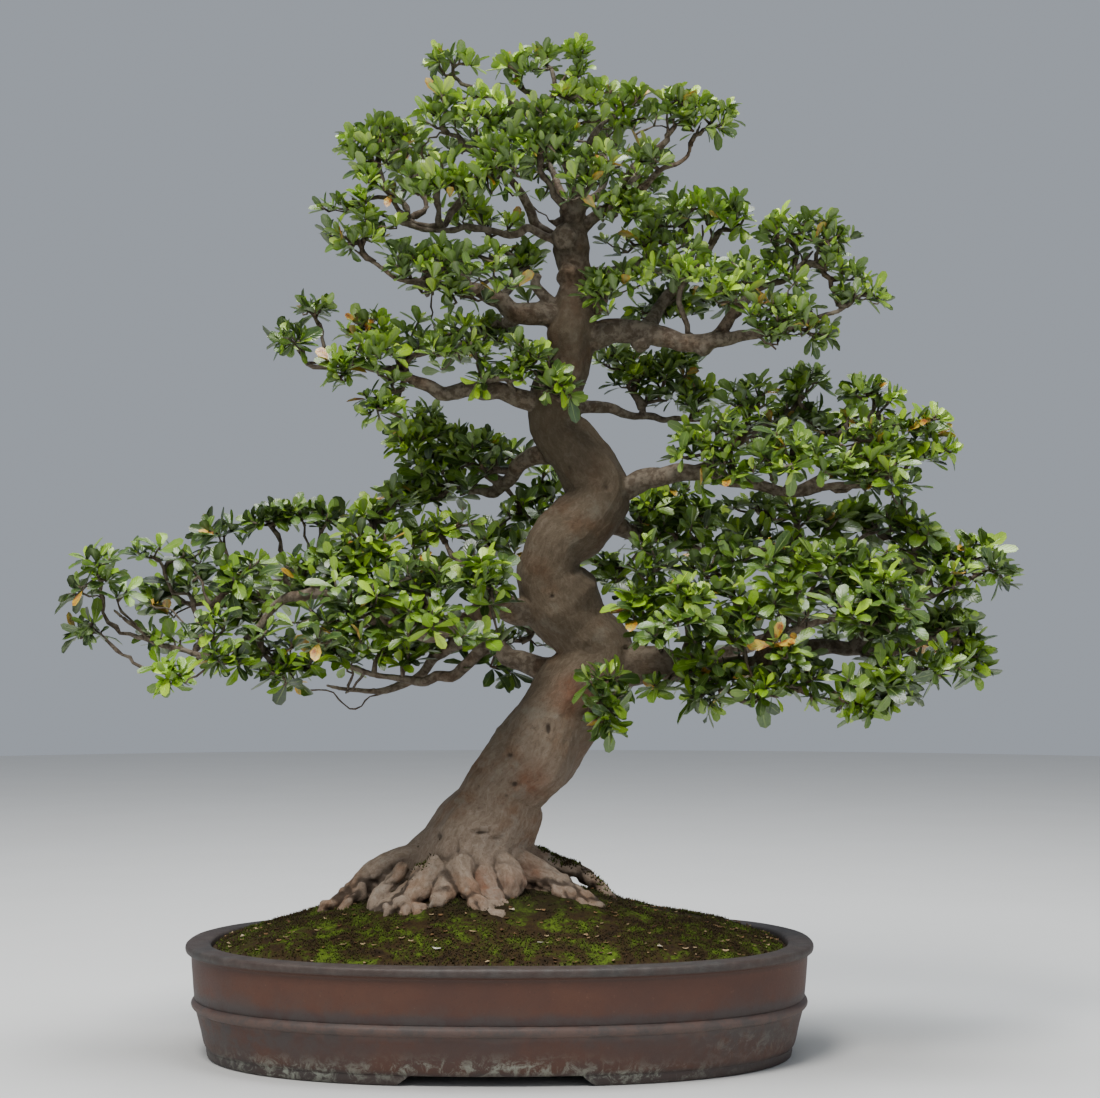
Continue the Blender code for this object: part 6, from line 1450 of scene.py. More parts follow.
class Twigs:
    """Twigs that grow from a limb, one after another, towards rosettes of leaves.

    Each node is a place, the way on, a radius, the node before it and the number of tips it feeds.
    """

    def __init__(self, limb, draw):
        self.draw = draw
        self.nodes = []
        self.runs = []
        route = smooth_route(TRUNK if limb == "trunk" else grown_limb(limb))
        frames = turned_frames([point for point, radius in route])
        for (point, radius), frame in zip(route[::2], frames[::2]):
            self.nodes.append([point, frame[0], radius, None, 0])
        self.tips = set()

    def reach(self, target):
        """How far the target is from the nearest wood."""
        return min((target - node[0]).length for node in self.nodes)

    def best_start(self, target):
        """The node from which a twig reaches the target with least length and bend."""
        best = None
        for index, (point, way, radius, parent, load) in enumerate(self.nodes):
            if index in self.tips:
                continue
            to_target = target - point
            length = to_target.length
            if length < SHORTEST_TWIG:
                continue
            turn = 1 - to_target.normalized().dot(way)
            cost = length * (1 + TURN_COST * turn)
            if best is None or cost < best[0]:
                best = (cost, index)
        return best[1]

    def grow(self, target, end_way, ends=True):
        """A twig to the target that ends in the given direction. Returns its last points."""
        index = self.best_start(target)
        point, along, radius, parent, load = self.nodes[index]
        way = (target - point).normalized()
        out = way - along * way.dot(along)
        out = out.normalized() if out.length > 0.05 else along.orthogonal().normalized()
        start = point + out * radius * (0.55 if parent is None else 0.0)
        first = (way + along * 0.55 + out * 0.35).normalized()
        span = (target - start).length
        steps = max(2, round(span / TWIG_STEP))
        arm = span * 0.36
        a, b, c, d = start, start + first * arm, target - end_way * arm, target
        run = []
        for step in range(steps + 1):
            t = step / steps
            place = a * (1 - t) ** 3 + b * 3 * t * (1 - t) ** 2 + c * 3 * t ** 2 * (1 - t) + d * t ** 3
            if 0 < step < steps:
                place += Vector([self.draw.uniform(-1, 1) for i in range(3)]) * TWIG_JITTER
            run.append(place)
        before = index
        numbers = []
        for place in run[1:]:
            here = (place - (self.nodes[before][0] if numbers else start)).normalized()
            self.nodes.append([place, here, TWIG_RADIUS, before, 0])
            before = len(self.nodes) - 1
            numbers.append(before)
        self.runs.append((start, index, numbers))
        if ends:
            self.tips.add(before)
            while before is not None:
                self.nodes[before][4] += 1
                before = self.nodes[before][3]
        return run

    def lead(self, places):
        """A longer twig through the places, which others grow from later."""
        self.grow(places[0], (places[1] - places[0]).normalized(), ends=False)
        start, index, numbers = self.runs[-1]
        for i, place in enumerate(places[1:]):
            middle = places[i].lerp(place, 0.5)
            middle += Vector([self.draw.uniform(-1, 1) for axis in range(3)]) * TWIG_JITTER
            for point in (middle, place):
                way = (point - self.nodes[-1][0]).normalized()
                self.nodes.append([point, way, TWIG_RADIUS, len(self.nodes) - 1, 0])
                numbers.append(len(self.nodes) - 1)

    def mesh(self):
        """Points, triangles and grain of all the twigs, each sunk into what it grows from."""
        parts = []
        for start, index, numbers in self.runs:
            host = self.nodes[index]
            loads = [self.nodes[n][4] for n in numbers]
            radii = [TWIG_RADIUS * max(load, 1) ** TWIG_GROWTH for load in loads]
            root = min(radii[0] * 1.35, host[2] * 0.85 if host[3] is None else 1.0)
            places = [start] + [self.nodes[n][0] for n in numbers]
            radii = [root] + radii
            parts.append(self.skin(places, radii))
        return merged(parts)

    def skin(self, places, radii):
        frames = turned_frames(places)
        angles = np.arange(TWIG_SIDES) * 2 * math.pi / TWIG_SIDES
        rows = []
        grain = []
        walked = 0.0
        for i, place in enumerate(places):
            if i:
                walked += (place - places[i - 1]).length
            radius = radii[i] * self.draw.uniform(0.72, 1.34)
            side, other = np.array(frames[i][1]), np.array(frames[i][2])
            ring = np.outer(np.cos(angles), side) + np.outer(np.sin(angles), other)
            rows.append(np.array(place) + ring * radius)
            grain.append(np.stack([np.cos(angles) * radius, np.sin(angles) * radius,
                                   np.full(TWIG_SIDES, walked)], 1) / MM)
        count = len(rows)
        points = np.concatenate(rows + [[np.array(places[0]), np.array(places[-1])]])
        grain = np.concatenate(grain + [[[0, 0, 0], [0, 0, walked / MM]]])
        first = np.arange(TWIG_SIDES)
        triangles = np.concatenate([grid_triangles(count, TWIG_SIDES),
                                    fan_triangles(first, len(points) - 2, True),
                                    fan_triangles(first + (count - 1) * TWIG_SIDES, len(points) - 1)])
        return points, triangles, {"grain": grain}


def merged(parts):
    """Points, triangles and kept values of several parts in one."""
    shift = 0
    triangles = []
    for points, faces, values in parts:
        triangles.append(faces + shift)
        shift += len(points)
    values = {key: np.concatenate([part[2][key] for part in parts]) for key in parts[0][2]}
    return np.concatenate([part[0] for part in parts]), np.concatenate(triangles), values


def leaf_template():
    """Shares of length, half width, side and thickness, and triangles, of one leaf."""
    u, c, side, low = [], [], [], []
    for share, half in LEAF_ROWS:
        u += [share] * 4
        c += [-half, 0.0, half, 0.0]
        side += [-1.0, 0.0, 1.0, 0.0]
        low += [0.0, 0.0, 0.0, half]
    u += [0.0, 1.0]
    c += [0.0, 0.0]
    side += [0.0, 0.0]
    low += [0.0, 0.0]
    rows = len(LEAF_ROWS)
    faces = grid_triangles(rows, 4)[:, ::-1]
    base = fan_triangles(np.arange(4), rows * 4)
    tip = fan_triangles(np.arange(4) + (rows - 1) * 4, rows * 4 + 1, True)
    return [np.array(part) for part in (u, c, side, low)] + [np.concatenate([faces, base, tip])]


LEAF_U, LEAF_C, LEAF_SIDE, LEAF_LOW, LEAF_FACES = leaf_template()


def leaf_batch(leaves):
    """Points, triangles and values of many leaves.

    Each leaf is (base, way, up, length, width, droop, fold, twist, tone, young, old).
    """
    base, way, up = [np.array([leaf[i] for leaf in leaves]) for i in range(3)]
    length, width, droop, fold, twist, tone, young, old = [
        np.array([leaf[i] for leaf in leaves])[:, None] for i in range(3, 11)]
    side = np.cross(up, way)
    side /= np.linalg.norm(side, axis=1)[:, None]
    normal = np.cross(way, side)
    u = LEAF_U[None, :]
    bend = np.where(np.abs(droop) < 0.02, 0.02, droop)
    x = length * np.sin(bend * u) / bend
    z = -length * (1 - np.cos(bend * u)) / bend
    y = width / 2 * LEAF_C[None, :]
    rise = fold * np.abs(y)
    rise = rise - LEAF_RIB_DEPTH * (np.abs(LEAF_C[None, :]) < 0.01) * np.sin(np.pi * u)
    rise = rise - LEAF_THICKNESS * LEAF_LOW[None, :]
    turn = twist * u
    across = y * np.cos(turn) - rise * np.sin(turn)
    lift = z + y * np.sin(turn) + rise * np.cos(turn)
    points = (base[:, None, :] + x[:, :, None] * way[:, None, :] + across[:, :, None] * side[:, None, :]
              + lift[:, :, None] * normal[:, None, :])
    count = len(leaves)
    corners = len(LEAF_U)
    faces = (LEAF_FACES[None, :, :] + (np.arange(count) * corners)[:, None, None]).reshape(-1, 3)
    whole = np.ones((count, corners))
    values = {"along": whole * u, "across": whole * LEAF_SIDE, "under": whole * (LEAF_LOW > 0),
              "tone": whole * tone, "young": whole * young, "old": whole * old}
    return points.reshape(-1, 3), faces, {key: value.ravel() for key, value in values.items()}


def one_leaf(base, way, up, draw, size, mood, painted_light, old_share):
    """One leaf's numbers. mood is how fresh it is, and painted_light the painted light or shade on its
    colour.
    """
    usual = LEAF_LENGTH[0] * 0.6 + LEAF_LENGTH[1] * 0.4
    length = draw.triangular(*LEAF_LENGTH, usual) * size
    width = length * draw.uniform(*LEAF_WIDTH_SHARE)
    droop = draw.gauss(0.45, 0.34)
    fold = draw.uniform(0.05, 0.34)
    twist = draw.gauss(0.0, 0.28)
    # The leaf's own tone, plus the painted light and shade it is given
    tone = clipped(draw.gauss(0.46, 0.20) + painted_light)
    young = clipped(mood + draw.gauss(0.0, 0.14))
    old = 1.0 if draw.random() < old_share else 0.0
    return (tuple(base), tuple(way), tuple(up), length, width, droop, fold, twist, tone, young, old)


def lower_leaves(run, draw, mood, painted_light, old_share):
    """The few leaves that stand lower down a whorl's twig."""
    leaves = []
    for i in range(draw.choice(LOWER_LEAVES)):
        if len(run) < 3:
            break
        step = draw.randint(2, min(len(run) - 1, 3))
        here = run[-step].lerp(run[-step - 1 if len(run) > step else 0], draw.random())
        along = (run[-1] - run[-step]).normalized()
        a = draw.uniform(0, 6.28)
        out = along.orthogonal().normalized()
        out = out * math.cos(a) + along.cross(out) * math.sin(a)
        way = (out + along * draw.uniform(0.1, 0.8) + Vector((0, 0, 0.15))).normalized()
        up = (Vector((0, 0, 1)) + out * 0.2).normalized()
        size = draw.uniform(*LOWER_SIZE)
        # Lower leaves are painted darker, as painted shade under the whorl
        leaves.append(one_leaf(here, way, up, draw, size, mood * 0.5, painted_light - 0.08, old_share))
    return leaves


def rosette(tip, axis, run, draw, mood, painted_light, old_share):
    """Leaves of one whorl: outer ones that spread, steeper inner ones and a few lower down.

    Whorls high on the tree are held more upright, and their leaves are smaller.
    """
    steep = clipped((tip.z - LOW_TIERS) / 0.25)
    leaves = []
    side = axis.orthogonal().normalized()
    other = axis.cross(side)
    phase = draw.uniform(0, 6.28)
    outer = draw.choice(OUTER_LEAVES)
    inner = draw.choice(INNER_LEAVES)
    for i in range(outer + inner):
        a = phase + i * GOLDEN_ANGLE + draw.uniform(-0.3, 0.3)
        lift = draw.uniform(*OUTER_LIFT) + LIFT_HIGH_UP * steep if i < outer else draw.uniform(*INNER_LIFT)
        lift = math.radians(lift)
        size = draw.uniform(*(OUTER_SIZE if i < outer else INNER_SIZE))
        size *= 1 - 0.19 * steep + (0.08 if tip.z < BROAD_LEAVED else 0)
        out = side * math.cos(a) + other * math.sin(a)
        way = (out * math.cos(lift) + axis * math.sin(lift)).normalized()
        base = tip - axis * (0.0026 if i < outer else 0.0002) + out * 0.0004
        freshness = mood + 0.26 if i >= outer else mood * 0.75
        # Inner leaves are painted lighter and outer ones darker: painted light and shade
        light = painted_light + (0.14 if i >= outer else -0.06)
        leaves.append(one_leaf(base, way, axis, draw, size, freshness, light, old_share))
    return leaves + lower_leaves(run, draw, mood, painted_light, old_share)


def bud(tip, axis, draw):
    """A small pointed bud of brown scales at a shoot's tip."""
    side = np.array(axis.orthogonal().normalized())
    other = np.cross(np.array(axis), side)
    size = draw.uniform(0.8, 1.2)
    rows = []
    for share, radius in BUD_RINGS:
        angles = np.arange(BUD_SIDES) * 2 * math.pi / BUD_SIDES
        ring = np.outer(np.cos(angles), side) + np.outer(np.sin(angles), other)
        rows.append(np.array(tip) + np.array(axis) * share + ring * radius * size)
    ends = [np.array(tip - axis * BUD_FOOT), np.array(tip + axis * BUD_POINT * size)]
    points = np.concatenate(rows + [ends])
    first = np.arange(BUD_SIDES)
    triangles = np.concatenate([grid_triangles(2, BUD_SIDES), fan_triangles(first, 2 * BUD_SIDES, True),
                                fan_triangles(first + BUD_SIDES, 2 * BUD_SIDES + 1)])
    return points, triangles, {"grain": points / MM}


def kept_inside(place):
    """The place, moved so that leaves there stay near enough to the solids' box."""
    return Vector([clipped(v, cad_box[0][i] + EDGE_ROOM[i], cad_box[1][i] - EDGE_ROOM[i])
                   for i, v in enumerate(place)])


def rosette_places(tuft, draw):
    """Middles and axes of the whorls in a tuft at the back, a flattened dome of them."""
    across, depth, height, wide, deep, tall, count = tuft
    number = max(2, round(count * ROSETTE_FACTOR))
    phase = draw.uniform(0, 6.28)
    found = []
    for k in range(number):
        reach = math.sqrt(k / max(number - 1, 1)) if k else 0.0
        angle = phase + k * GOLDEN_ANGLE
        dx = reach * math.cos(angle) * draw.uniform(0.80, 1.16)
        dy = reach * math.sin(angle) * draw.uniform(0.80, 1.16)
        dz = 0.35 - 0.95 * reach ** 2 * draw.uniform(0.4, 1.3) + draw.uniform(-0.45, 0.45)
        place = sighted(across + dx * wide * TUFT_SPREAD, depth + dy * deep * TUFT_SPREAD,
                        height + dz * tall * TUFT_SPREAD)[0]
        axis = Vector((dx * 0.7, dy * 0.7, 0.80)) + Vector([draw.uniform(-0.4, 0.4) for i in range(3)])
        # Whorls at the back are painted darker, as painted shade
        found.append((kept_inside(place), axis.normalized(), -0.08, 0.0, OLD_LEAF_SHARE))
    return found


def nearest_tuft(across, height):
    """The spray's name and the tuft that a whorl of the front belongs to."""
    best = None
    for name, limb, tufts in SPRAYS:
        for tuft in tufts:
            gap = ((across - tuft[0]) / (tuft[3] * 1.1)) ** 2
            gap += ((height - tuft[2]) / (tuft[5] * 1.2 + 4)) ** 2
            gap += max(tuft[1] - BACK_DEPTH, 0) * 0.025
            if best is None or gap < best[0]:
                best = (gap, name, tuft)
    return best[1], best[2]


def near_spot(across, height, spots):
    return any(math.hypot(across - x, height - z) < SPOT_REACH for x, z in spots)


def whorl_painted_light(across, height, level):
    """How much painted light or shade a whorl of the front gets, by its place on the tree."""
    # Painted light: lighter high in a tuft and high on the tree, darker low down
    painted_light = 0.08 * level + 0.17 * clipped((height - 470) / 260, -0.8)
    # Painted shade on the outer left of the low tier
    if height < 420:
        painted_light -= 0.24 * clipped((-across - 60) / 100)
    # Painted shade round the trunk's top, inside the crown
    painted_light -= 0.26 * max(1.0 - math.hypot(across - 40, height - 636) / 52, 0.0)
    # Painted light on the right of the middle tier, and more on its left
    if across > 60 and 400 < height < 520:
        painted_light += 0.07
    if across < -20 and 400 < height < 480:
        painted_light += 0.18
    return painted_light


def companion(across, depth, height, lean, painted_light, draw):
    """A whorl behind one that shows, darkened with painted shade."""
    behind = depth + draw.uniform(*COMPANION_DEPTH)
    place = sighted(across + draw.uniform(-9, 9), behind, height + draw.uniform(-7, 3))[0]
    axis = Vector((math.sin(lean) * 0.5 + draw.uniform(-0.4, 0.4), draw.uniform(-0.3, 0.5), 0.9))
    return kept_inside(place), axis.normalized(), painted_light - COMPANION_PAINTED_SHADE, 0.0, OLD_LEAF_SHARE


def front_whorls():
    """Each spray's whorls that show on the front, and those behind them."""
    draw = random.Random(31)
    found = {name: [] for name, limb, tufts in SPRAYS}
    for entry in WHORLS:
        across, height = entry[:2]
        name, tuft = nearest_tuft(across, height)
        level = clipped((height - tuft[2]) / tuft[5], -1.0)
        spread = draw.uniform(-DEPTH_SPREAD, DEPTH_SPREAD)
        depth = tuft[1] + tuft[4] * (DEPTH_BY_LEVEL * level - DEPTH_SPREAD + spread)
        outward = clipped((across - tuft[0]) / tuft[3], -1.2, 1.2) * EDGE_LEAN
        lean = math.radians(entry[2] if len(entry) == 3 else outward + draw.gauss(0, LEAN_SPREAD))
        forward = draw.uniform(*FORWARD_LEAN) + 0.20 * level - 0.42 * clipped((640 - height) / 280)
        axis = Vector((math.sin(lean), forward, math.cos(lean))).normalized()
        mood = draw.uniform(*FRESH_MOOD) if near_spot(across, height, FRESH) else 0.0
        mood += max(draw.uniform(-0.35, 0.45), 0.0) * clipped((height - 480) / 140)
        old = AGED_SHARE if near_spot(across, height, AGED) else OLD_LEAF_SHARE
        raised = APEX_RISE * clipped((height - 690) / 40)
        place = kept_inside(sighted(across, depth, height + raised)[0])
        painted_light = whorl_painted_light(across, height, level)
        found[name].append((place, axis, painted_light, mood, old))
        if draw.random() < (HIGH_COMPANION_SHARE if height > OPEN_CROWN else COMPANION_SHARE):
            found[name].append(companion(across, depth, height, lean, painted_light, draw))
    return found


def make_spray(number, name, limb, tufts, whorls, leaf, bark):
    """The twigs and the leaves of one spray."""
    draw = random.Random(400 + number)
    twigs = Twigs(limb, draw)
    for owner, stations in LEADS:
        if owner == name:
            twigs.lead([sighted(*station)[0] for station in stations])
    for tuft in tufts:
        if tuft[1] >= BACK_DEPTH:
            whorls = whorls + rosette_places(tuft, draw)
    leaves = []
    buds = []
    mood_of_spray = draw.uniform(0.0, 0.12)
    for place, axis, painted_light, mood, old in sorted(whorls, key=lambda whorl: twigs.reach(whorl[0])):
        run = twigs.grow(place, axis)
        if draw.random() < YOUNG_SHARE:
            mood += draw.uniform(*YOUNG_MOOD)
        leaves += rosette(place, axis, run, draw, mood + mood_of_spray, painted_light + draw.gauss(0.0, 0.10), old)
        if draw.random() < BUD_SHARE:
            buds.append(bud(place, axis, draw))
    twig_points, twig_faces, twig_values = merged([twigs.mesh()] + buds)
    mesh = make_mesh("twigs", twig_points, twig_faces)
    set_values(mesh, "grain", twig_values["grain"])
    for key in ("relief", "ruddy", "girth"):
        set_values(mesh, key, np.zeros(len(twig_points)))
    add_piece("twigs_" + name, mesh, bark, "bark", "spray_" + name)
    points, faces, values = leaf_batch(leaves)
    mesh = make_mesh("leaves", points, faces)
    for key, value in values.items():
        set_values(mesh, key, value)
    mesh.set_sharp_from_angle(angle=math.radians(50))
    add_piece("leaves_" + name, mesh, leaf, "leaf", "spray_" + name)


# Pot

def oval(angles, inset, height):
    """Points of the pot's plan, a rounded oval drawn in from the rim by the inset."""
    angles = np.asarray(angles, dtype=float)
    c = np.cos(angles)
    s = np.sin(angles)
    power = 2.0 / OVAL_POWER
    x = (POT_LENGTH / 2 - inset) * np.sign(c) * np.abs(c) ** power
    y = (POT_DEPTH / 2 - inset) * np.sign(s) * np.abs(s) ** power
    return np.stack([x, y, np.broadcast_to(height, x.shape).astype(float)], 1)


def even_angles(count):
    """Angles whose points on the oval are evenly far apart, from 0 all round."""
    fine = np.linspace(0, 2 * math.pi, 7201)
    ring = oval(fine, 0.0, 0.0)
    walked = np.concatenate([[0.0], np.cumsum(np.linalg.norm(np.diff(ring, axis=0), axis=1))])
    return np.interp(np.arange(count) * walked[-1] / count, walked, fine)


def foot_angles(inset):
    """Where a quarter's foot begins and ends, at its top and at its underside."""
    length = POT_LENGTH / 2 - inset
    depth = POT_DEPTH / 2 - inset
    top = (math.asin((NOTCH_END_TOP / depth) ** (OVAL_POWER / 2)),
           math.acos((NOTCH_FRONT_TOP / length) ** (OVAL_POWER / 2)))
    low = (math.asin((NOTCH_END_FOOT / depth) ** (OVAL_POWER / 2)),
           math.acos((NOTCH_FRONT_FOOT / length) ** (OVAL_POWER / 2)))
    return top, low


def foot(side_x, side_y):
    """One run of foot ring, rounded along its edges and sloping at its ends."""
    top, low = foot_angles(FOOT_INSET)
    section = [(0.0, 0.0086), (-0.0001, 0.0050), (0.0003, 0.0018), (0.0010, 0.0005), (0.0022, 0.0),
               (FOOT_WIDTH - 0.0022, 0.0), (FOOT_WIDTH - 0.0010, 0.0005), (FOOT_WIDTH - 0.0002, 0.0018),
               (FOOT_WIDTH, 0.0050), (FOOT_WIDTH, 0.0086)]
    rows = []
    for i in range(FOOT_STATIONS):
        t = i / (FOOT_STATIONS - 1)
        t = t - math.sin(2 * math.pi * t) / (2 * math.pi) * 0.35
        row = []
        for inset, height in section:
            part = min(height / 0.0078, 1.0) ** 0.6
            start = low[0] + (top[0] - low[0]) * part
            end = low[1] + (top[1] - low[1]) * part
            row.append(oval([start + (end - start) * t], FOOT_INSET + inset, height)[0])
        rows.append(np.array(row) * (side_x, side_y, 1))
    points = np.concatenate(rows)
    columns = len(section)
    triangles = grid_triangles(FOOT_STATIONS, columns)
    first = np.arange(columns)
    points = np.concatenate([points, [rows[0].mean(0), rows[-1].mean(0)]])
    triangles = np.concatenate([triangles, fan_triangles(first, len(points) - 2, True),
                                fan_triangles(first + (FOOT_STATIONS - 1) * columns, len(points) - 1)])
    return points, triangles


def outward(points, triangles):
    """The triangles, turned so that a closed skin faces outward."""
    a, b, c = [points[triangles[:, i]] for i in range(3)]
    volume = (a * np.cross(b, c)).sum()
    return triangles if volume > 0 else triangles[:, ::-1]


def pot_shell():
    """The pot's body: outside, lip, inside and floor."""
    angles = even_angles(POT_COLUMNS)
    rows = [oval(angles, inset, height) for height, inset in POT_PROFILE]
    points = np.concatenate(rows + [[(0.0, 0.0, UNDERSIDE), (0.0, 0.0, FLOOR_HEIGHT)]])
    first = np.arange(POT_COLUMNS)
    triangles = np.concatenate([
        grid_triangles(len(rows), POT_COLUMNS), fan_triangles(first, len(points) - 2, True),
        fan_triangles(first + (len(rows) - 1) * POT_COLUMNS, len(points) - 1)])
    return points, outward(points, triangles)


def drain_cutter(side):
    rows = []
    angles = np.arange(DRAIN_SIDES) * 2 * math.pi / DRAIN_SIDES
    for height in (-CUT_PAST, FLOOR_HEIGHT + CUT_PAST):
        rows.append(np.stack([side * DRAIN_OFFSET + DRAIN_RADIUS * np.cos(angles),
                              DRAIN_RADIUS * np.sin(angles), np.full(DRAIN_SIDES, height)], 1))
    middles = [(side * DRAIN_OFFSET, 0, -CUT_PAST), (side * DRAIN_OFFSET, 0, FLOOR_HEIGHT + CUT_PAST)]
    points = np.concatenate(rows + [middles])
    first = np.arange(DRAIN_SIDES)
    triangles = np.concatenate([grid_triangles(2, DRAIN_SIDES), fan_triangles(first, 2 * DRAIN_SIDES, True),
                                fan_triangles(first + DRAIN_SIDES, 2 * DRAIN_SIDES + 1)])
    return points, outward(points, triangles)


def gathered(name, shapes):
    """A collection of plain objects, for a boolean step."""
    group = bpy.data.collections.new(name)
    for points, triangles in shapes:
        group.objects.link(bpy.data.objects.new(name, make_mesh(name, points, triangles)))
    bpy.context.scene.collection.children.link(group)
    return group


def drop(group):
    for found in list(group.objects):
        bpy.data.objects.remove(found, do_unlink=True)
    bpy.data.collections.remove(group)


# Pale bloom and dark smudges on the wall: across, height, half width, half height and, for
# the bloom, strength
BLOOM = [(8, 13, 56, 5.5, 1.0), (-130, 7, 60, 7, 0.75), (-155, 4, 30, 6, 0.6), (105, 6, 45, 5.5, 0.7),
         (165, 24, 26, 8, 0.25), (196, 18, 26, 8, 0.2), (-60, 12, 30, 5, 0.6), (60, 4, 40, 6, 0.5)]
SMUDGES = [(-150, 34, 60, 18), (-40, 40, 70, 10), (90, 38, 80, 10), (180, 30, 40, 20), (-210, 30, 40, 26)]


def make_pot():
    shell = make_mesh("pot", *pot_shell())
    feet = []
    for side_x in (1, -1):
        for side_y in (1, -1):
            points, triangles = foot(side_x, side_y)
            feet.append((points, outward(points, triangles)))
    feet = gathered("feet", feet)
    drains = gathered("drains", [drain_cutter(side) for side in (-1, 1)])
    mesh = applied("pot", shell, [
        ("BOOLEAN", {"operation": "UNION", "solver": "EXACT", "operand_type": "COLLECTION",
                     "collection": feet}),
        ("BOOLEAN", {"operation": "DIFFERENCE", "solver": "EXACT", "operand_type": "COLLECTION",
                     "collection": drains})])
    drop(feet)
    drop(drains)
    places = places_of(mesh)
    normals = normals_of(mesh)
    swell = fractal(places, 0.045, 2, 5) * 0.00022 + noise(places / 0.006, 9) * 0.00005
    lifted = places + normals * swell[:, None]
    lifted[:, 2] = np.where(places[:, 2] < 0.0006, places[:, 2], lifted[:, 2])
    put_places(mesh, np.maximum(lifted, [-9, -9, 0.0]) + np.array(CENTRING))
    across = places[:, 0] / MM
    height = places[:, 2] / MM
    bloom = np.zeros(len(places))
    for x, z, wide, tall, much in BLOOM:
        bloom += much * np.exp(-((across - x) / wide) ** 2 - ((height - z) / tall) ** 2)
    smudge = np.zeros(len(places))
    for x, z, wide, tall in SMUDGES:
        smudge += np.exp(-((across - x) / wide) ** 2 - ((height - z) / tall) ** 2)
    outside = places[:, 2] < 0.070
    set_values(mesh, "bloom", np.clip(bloom, 0, 1) * outside)
    set_values(mesh, "smudge", np.clip(smudge, 0, 1) * outside)
    mesh.shade_smooth()
    mesh.set_sharp_from_angle(angle=math.radians(48))
    return add_piece("pot_body", mesh, stoneware_finish(), "stoneware", "pot")


# Bed

def mound(x, y):
    """Height of the soil's surface over places of the pot's plan, and how far out they are."""
    reach = np.maximum(np.abs(x) / (POT_LENGTH / 2 - BED_EDGE_INSET), 1e-9) ** OVAL_POWER
    reach = reach + np.maximum(np.abs(y) / (POT_DEPTH / 2 - BED_EDGE_INSET), 1e-9) ** OVAL_POWER
    out = np.minimum(reach ** (1 / OVAL_POWER), 1.0)
    return BED_EDGE_HEIGHT + MOUND_HEIGHT * (1 - out ** MOUND_POWER), out


def cushion(x, y):
    """Rise of the moss over the soil, in metres."""
    flat = np.stack([x, y, np.zeros_like(x)], 1)
    broad = fractal(flat, 0.034, 2, 41)
    small = fractal(flat, 0.0105, 2, 47)
    fine = noise(flat / 0.0035, 53)
    rises = CUSHION_RISES
    return MOSS_DEPTH + rises[0] * broad + rises[1] * np.abs(small) + rises[2] * fine


def heap(x, y):
    """How far the bed is heaped up round the roots at places of the plan, from 0 to 1."""
    across = (x - HEAP_MIDDLE[0]) / HEAP_REACH[0]
    deep = (y - HEAP_MIDDLE[1]) / HEAP_REACH[1]
    slope = np.clip((HEAP_EDGE - np.hypot(across, deep)) / HEAP_SLOPE, 0.0, 1.0)
    return slope * slope * (3 - 2 * slope)


def bed_surface(x, y):
    height, out = mound(x, y)
    height = height + HEAP_HEIGHT * heap(x, y)
    calm = np.clip((1 - out) / 0.05, 0.0, 1.0)
    return height + cushion(x, y) * (0.35 + 0.65 * calm), out


def make_bed():
    """The skin of moss on the mound, closed underneath."""
    angles = even_angles(BED_COLUMNS)
    edge = oval(angles, BED_EDGE_INSET + 0.0004, 0.0)
    factors = 1 - (np.arange(BED_RINGS) / BED_RINGS) ** 1.08
    rows = []
    for factor in factors:
        x = edge[:, 0] * factor
        y = edge[:, 1] * factor
        rows.append(np.stack([x, y, bed_surface(x, y)[0]], 1))
    middle = bed_surface(np.zeros(1), np.zeros(1))[0][0]
    skirt = np.stack([edge[:, 0], edge[:, 1], rows[0][:, 2] - 0.0032], 1)
    points = np.concatenate([skirt] + rows + [[(0, 0, middle), (0, 0, middle - 0.0040)]])
    first = np.arange(BED_COLUMNS)
    triangles = np.concatenate([grid_triangles(BED_RINGS + 1, BED_COLUMNS),
                                fan_triangles(first + BED_RINGS * BED_COLUMNS, len(points) - 2),
                                fan_triangles(first, len(points) - 1, True)])
    triangles = outward(points, triangles)
    out = mound(points[:, 0], points[:, 1])[1]
    mesh = make_mesh("moss", points + np.array(CENTRING), triangles)
    set_values(mesh, "edge", np.clip((out - 0.955) / 0.04, 0, 1))
    set_values(mesh, "heap", heap(points[:, 0], points[:, 1]))
    return add_piece("moss_bed", mesh, moss_bed_finish(), "moss", "moss")


def spikes(places, normals, draw, tall, wide, lean):
    """Tiny three-sided pointed blades, one at each place."""
    count = len(places)
    spin = draw.uniform(0, 2 * math.pi, count)
    height = draw.uniform(tall[0], tall[1], count)
    width = draw.uniform(wide[0], wide[1], count)
    axis = normals + draw.normal(0, lean, (count, 3))
    axis /= np.linalg.norm(axis, axis=1)[:, None]
    side = np.cross(axis, np.array([0.31, 0.17, 0.93]))
    side /= np.linalg.norm(side, axis=1)[:, None]
    other = np.cross(axis, side)
    corners = []
    for k in range(3):
        a = spin + k * 2 * math.pi / 3
        corners.append(places + (side * np.cos(a)[:, None] + other * np.sin(a)[:, None]) * width[:, None]
                       - axis * 0.0004)
    corners.append(places + axis * height[:, None])
    points = np.stack(corners, 1).reshape(-1, 3)
    plan = np.array([(0, 2, 1), (0, 1, 3), (1, 2, 3), (2, 0, 3)])
    triangles = (plan[None] + (np.arange(count) * 4)[:, None, None]).reshape(-1, 3)
    along = np.tile([0.0, 0.0, 0.0, 1.0], count)
    return points, triangles, along


# Moss shoots on the bed, how flat and how high up a root is where they grow, and patches of
# them: across, depth, spread across, spread in depth and number
SPIKES = 22000
FLAT_ENOUGH = 0.35
ROOT_MOSS_FOOT = 0.095
ROOT_MOSS = [(38, 12, 15, 10, 500), (52, 14, 10, 8, 260), (-58, -30, 10, 12, 160), (70, 0, 12, 14, 200)]


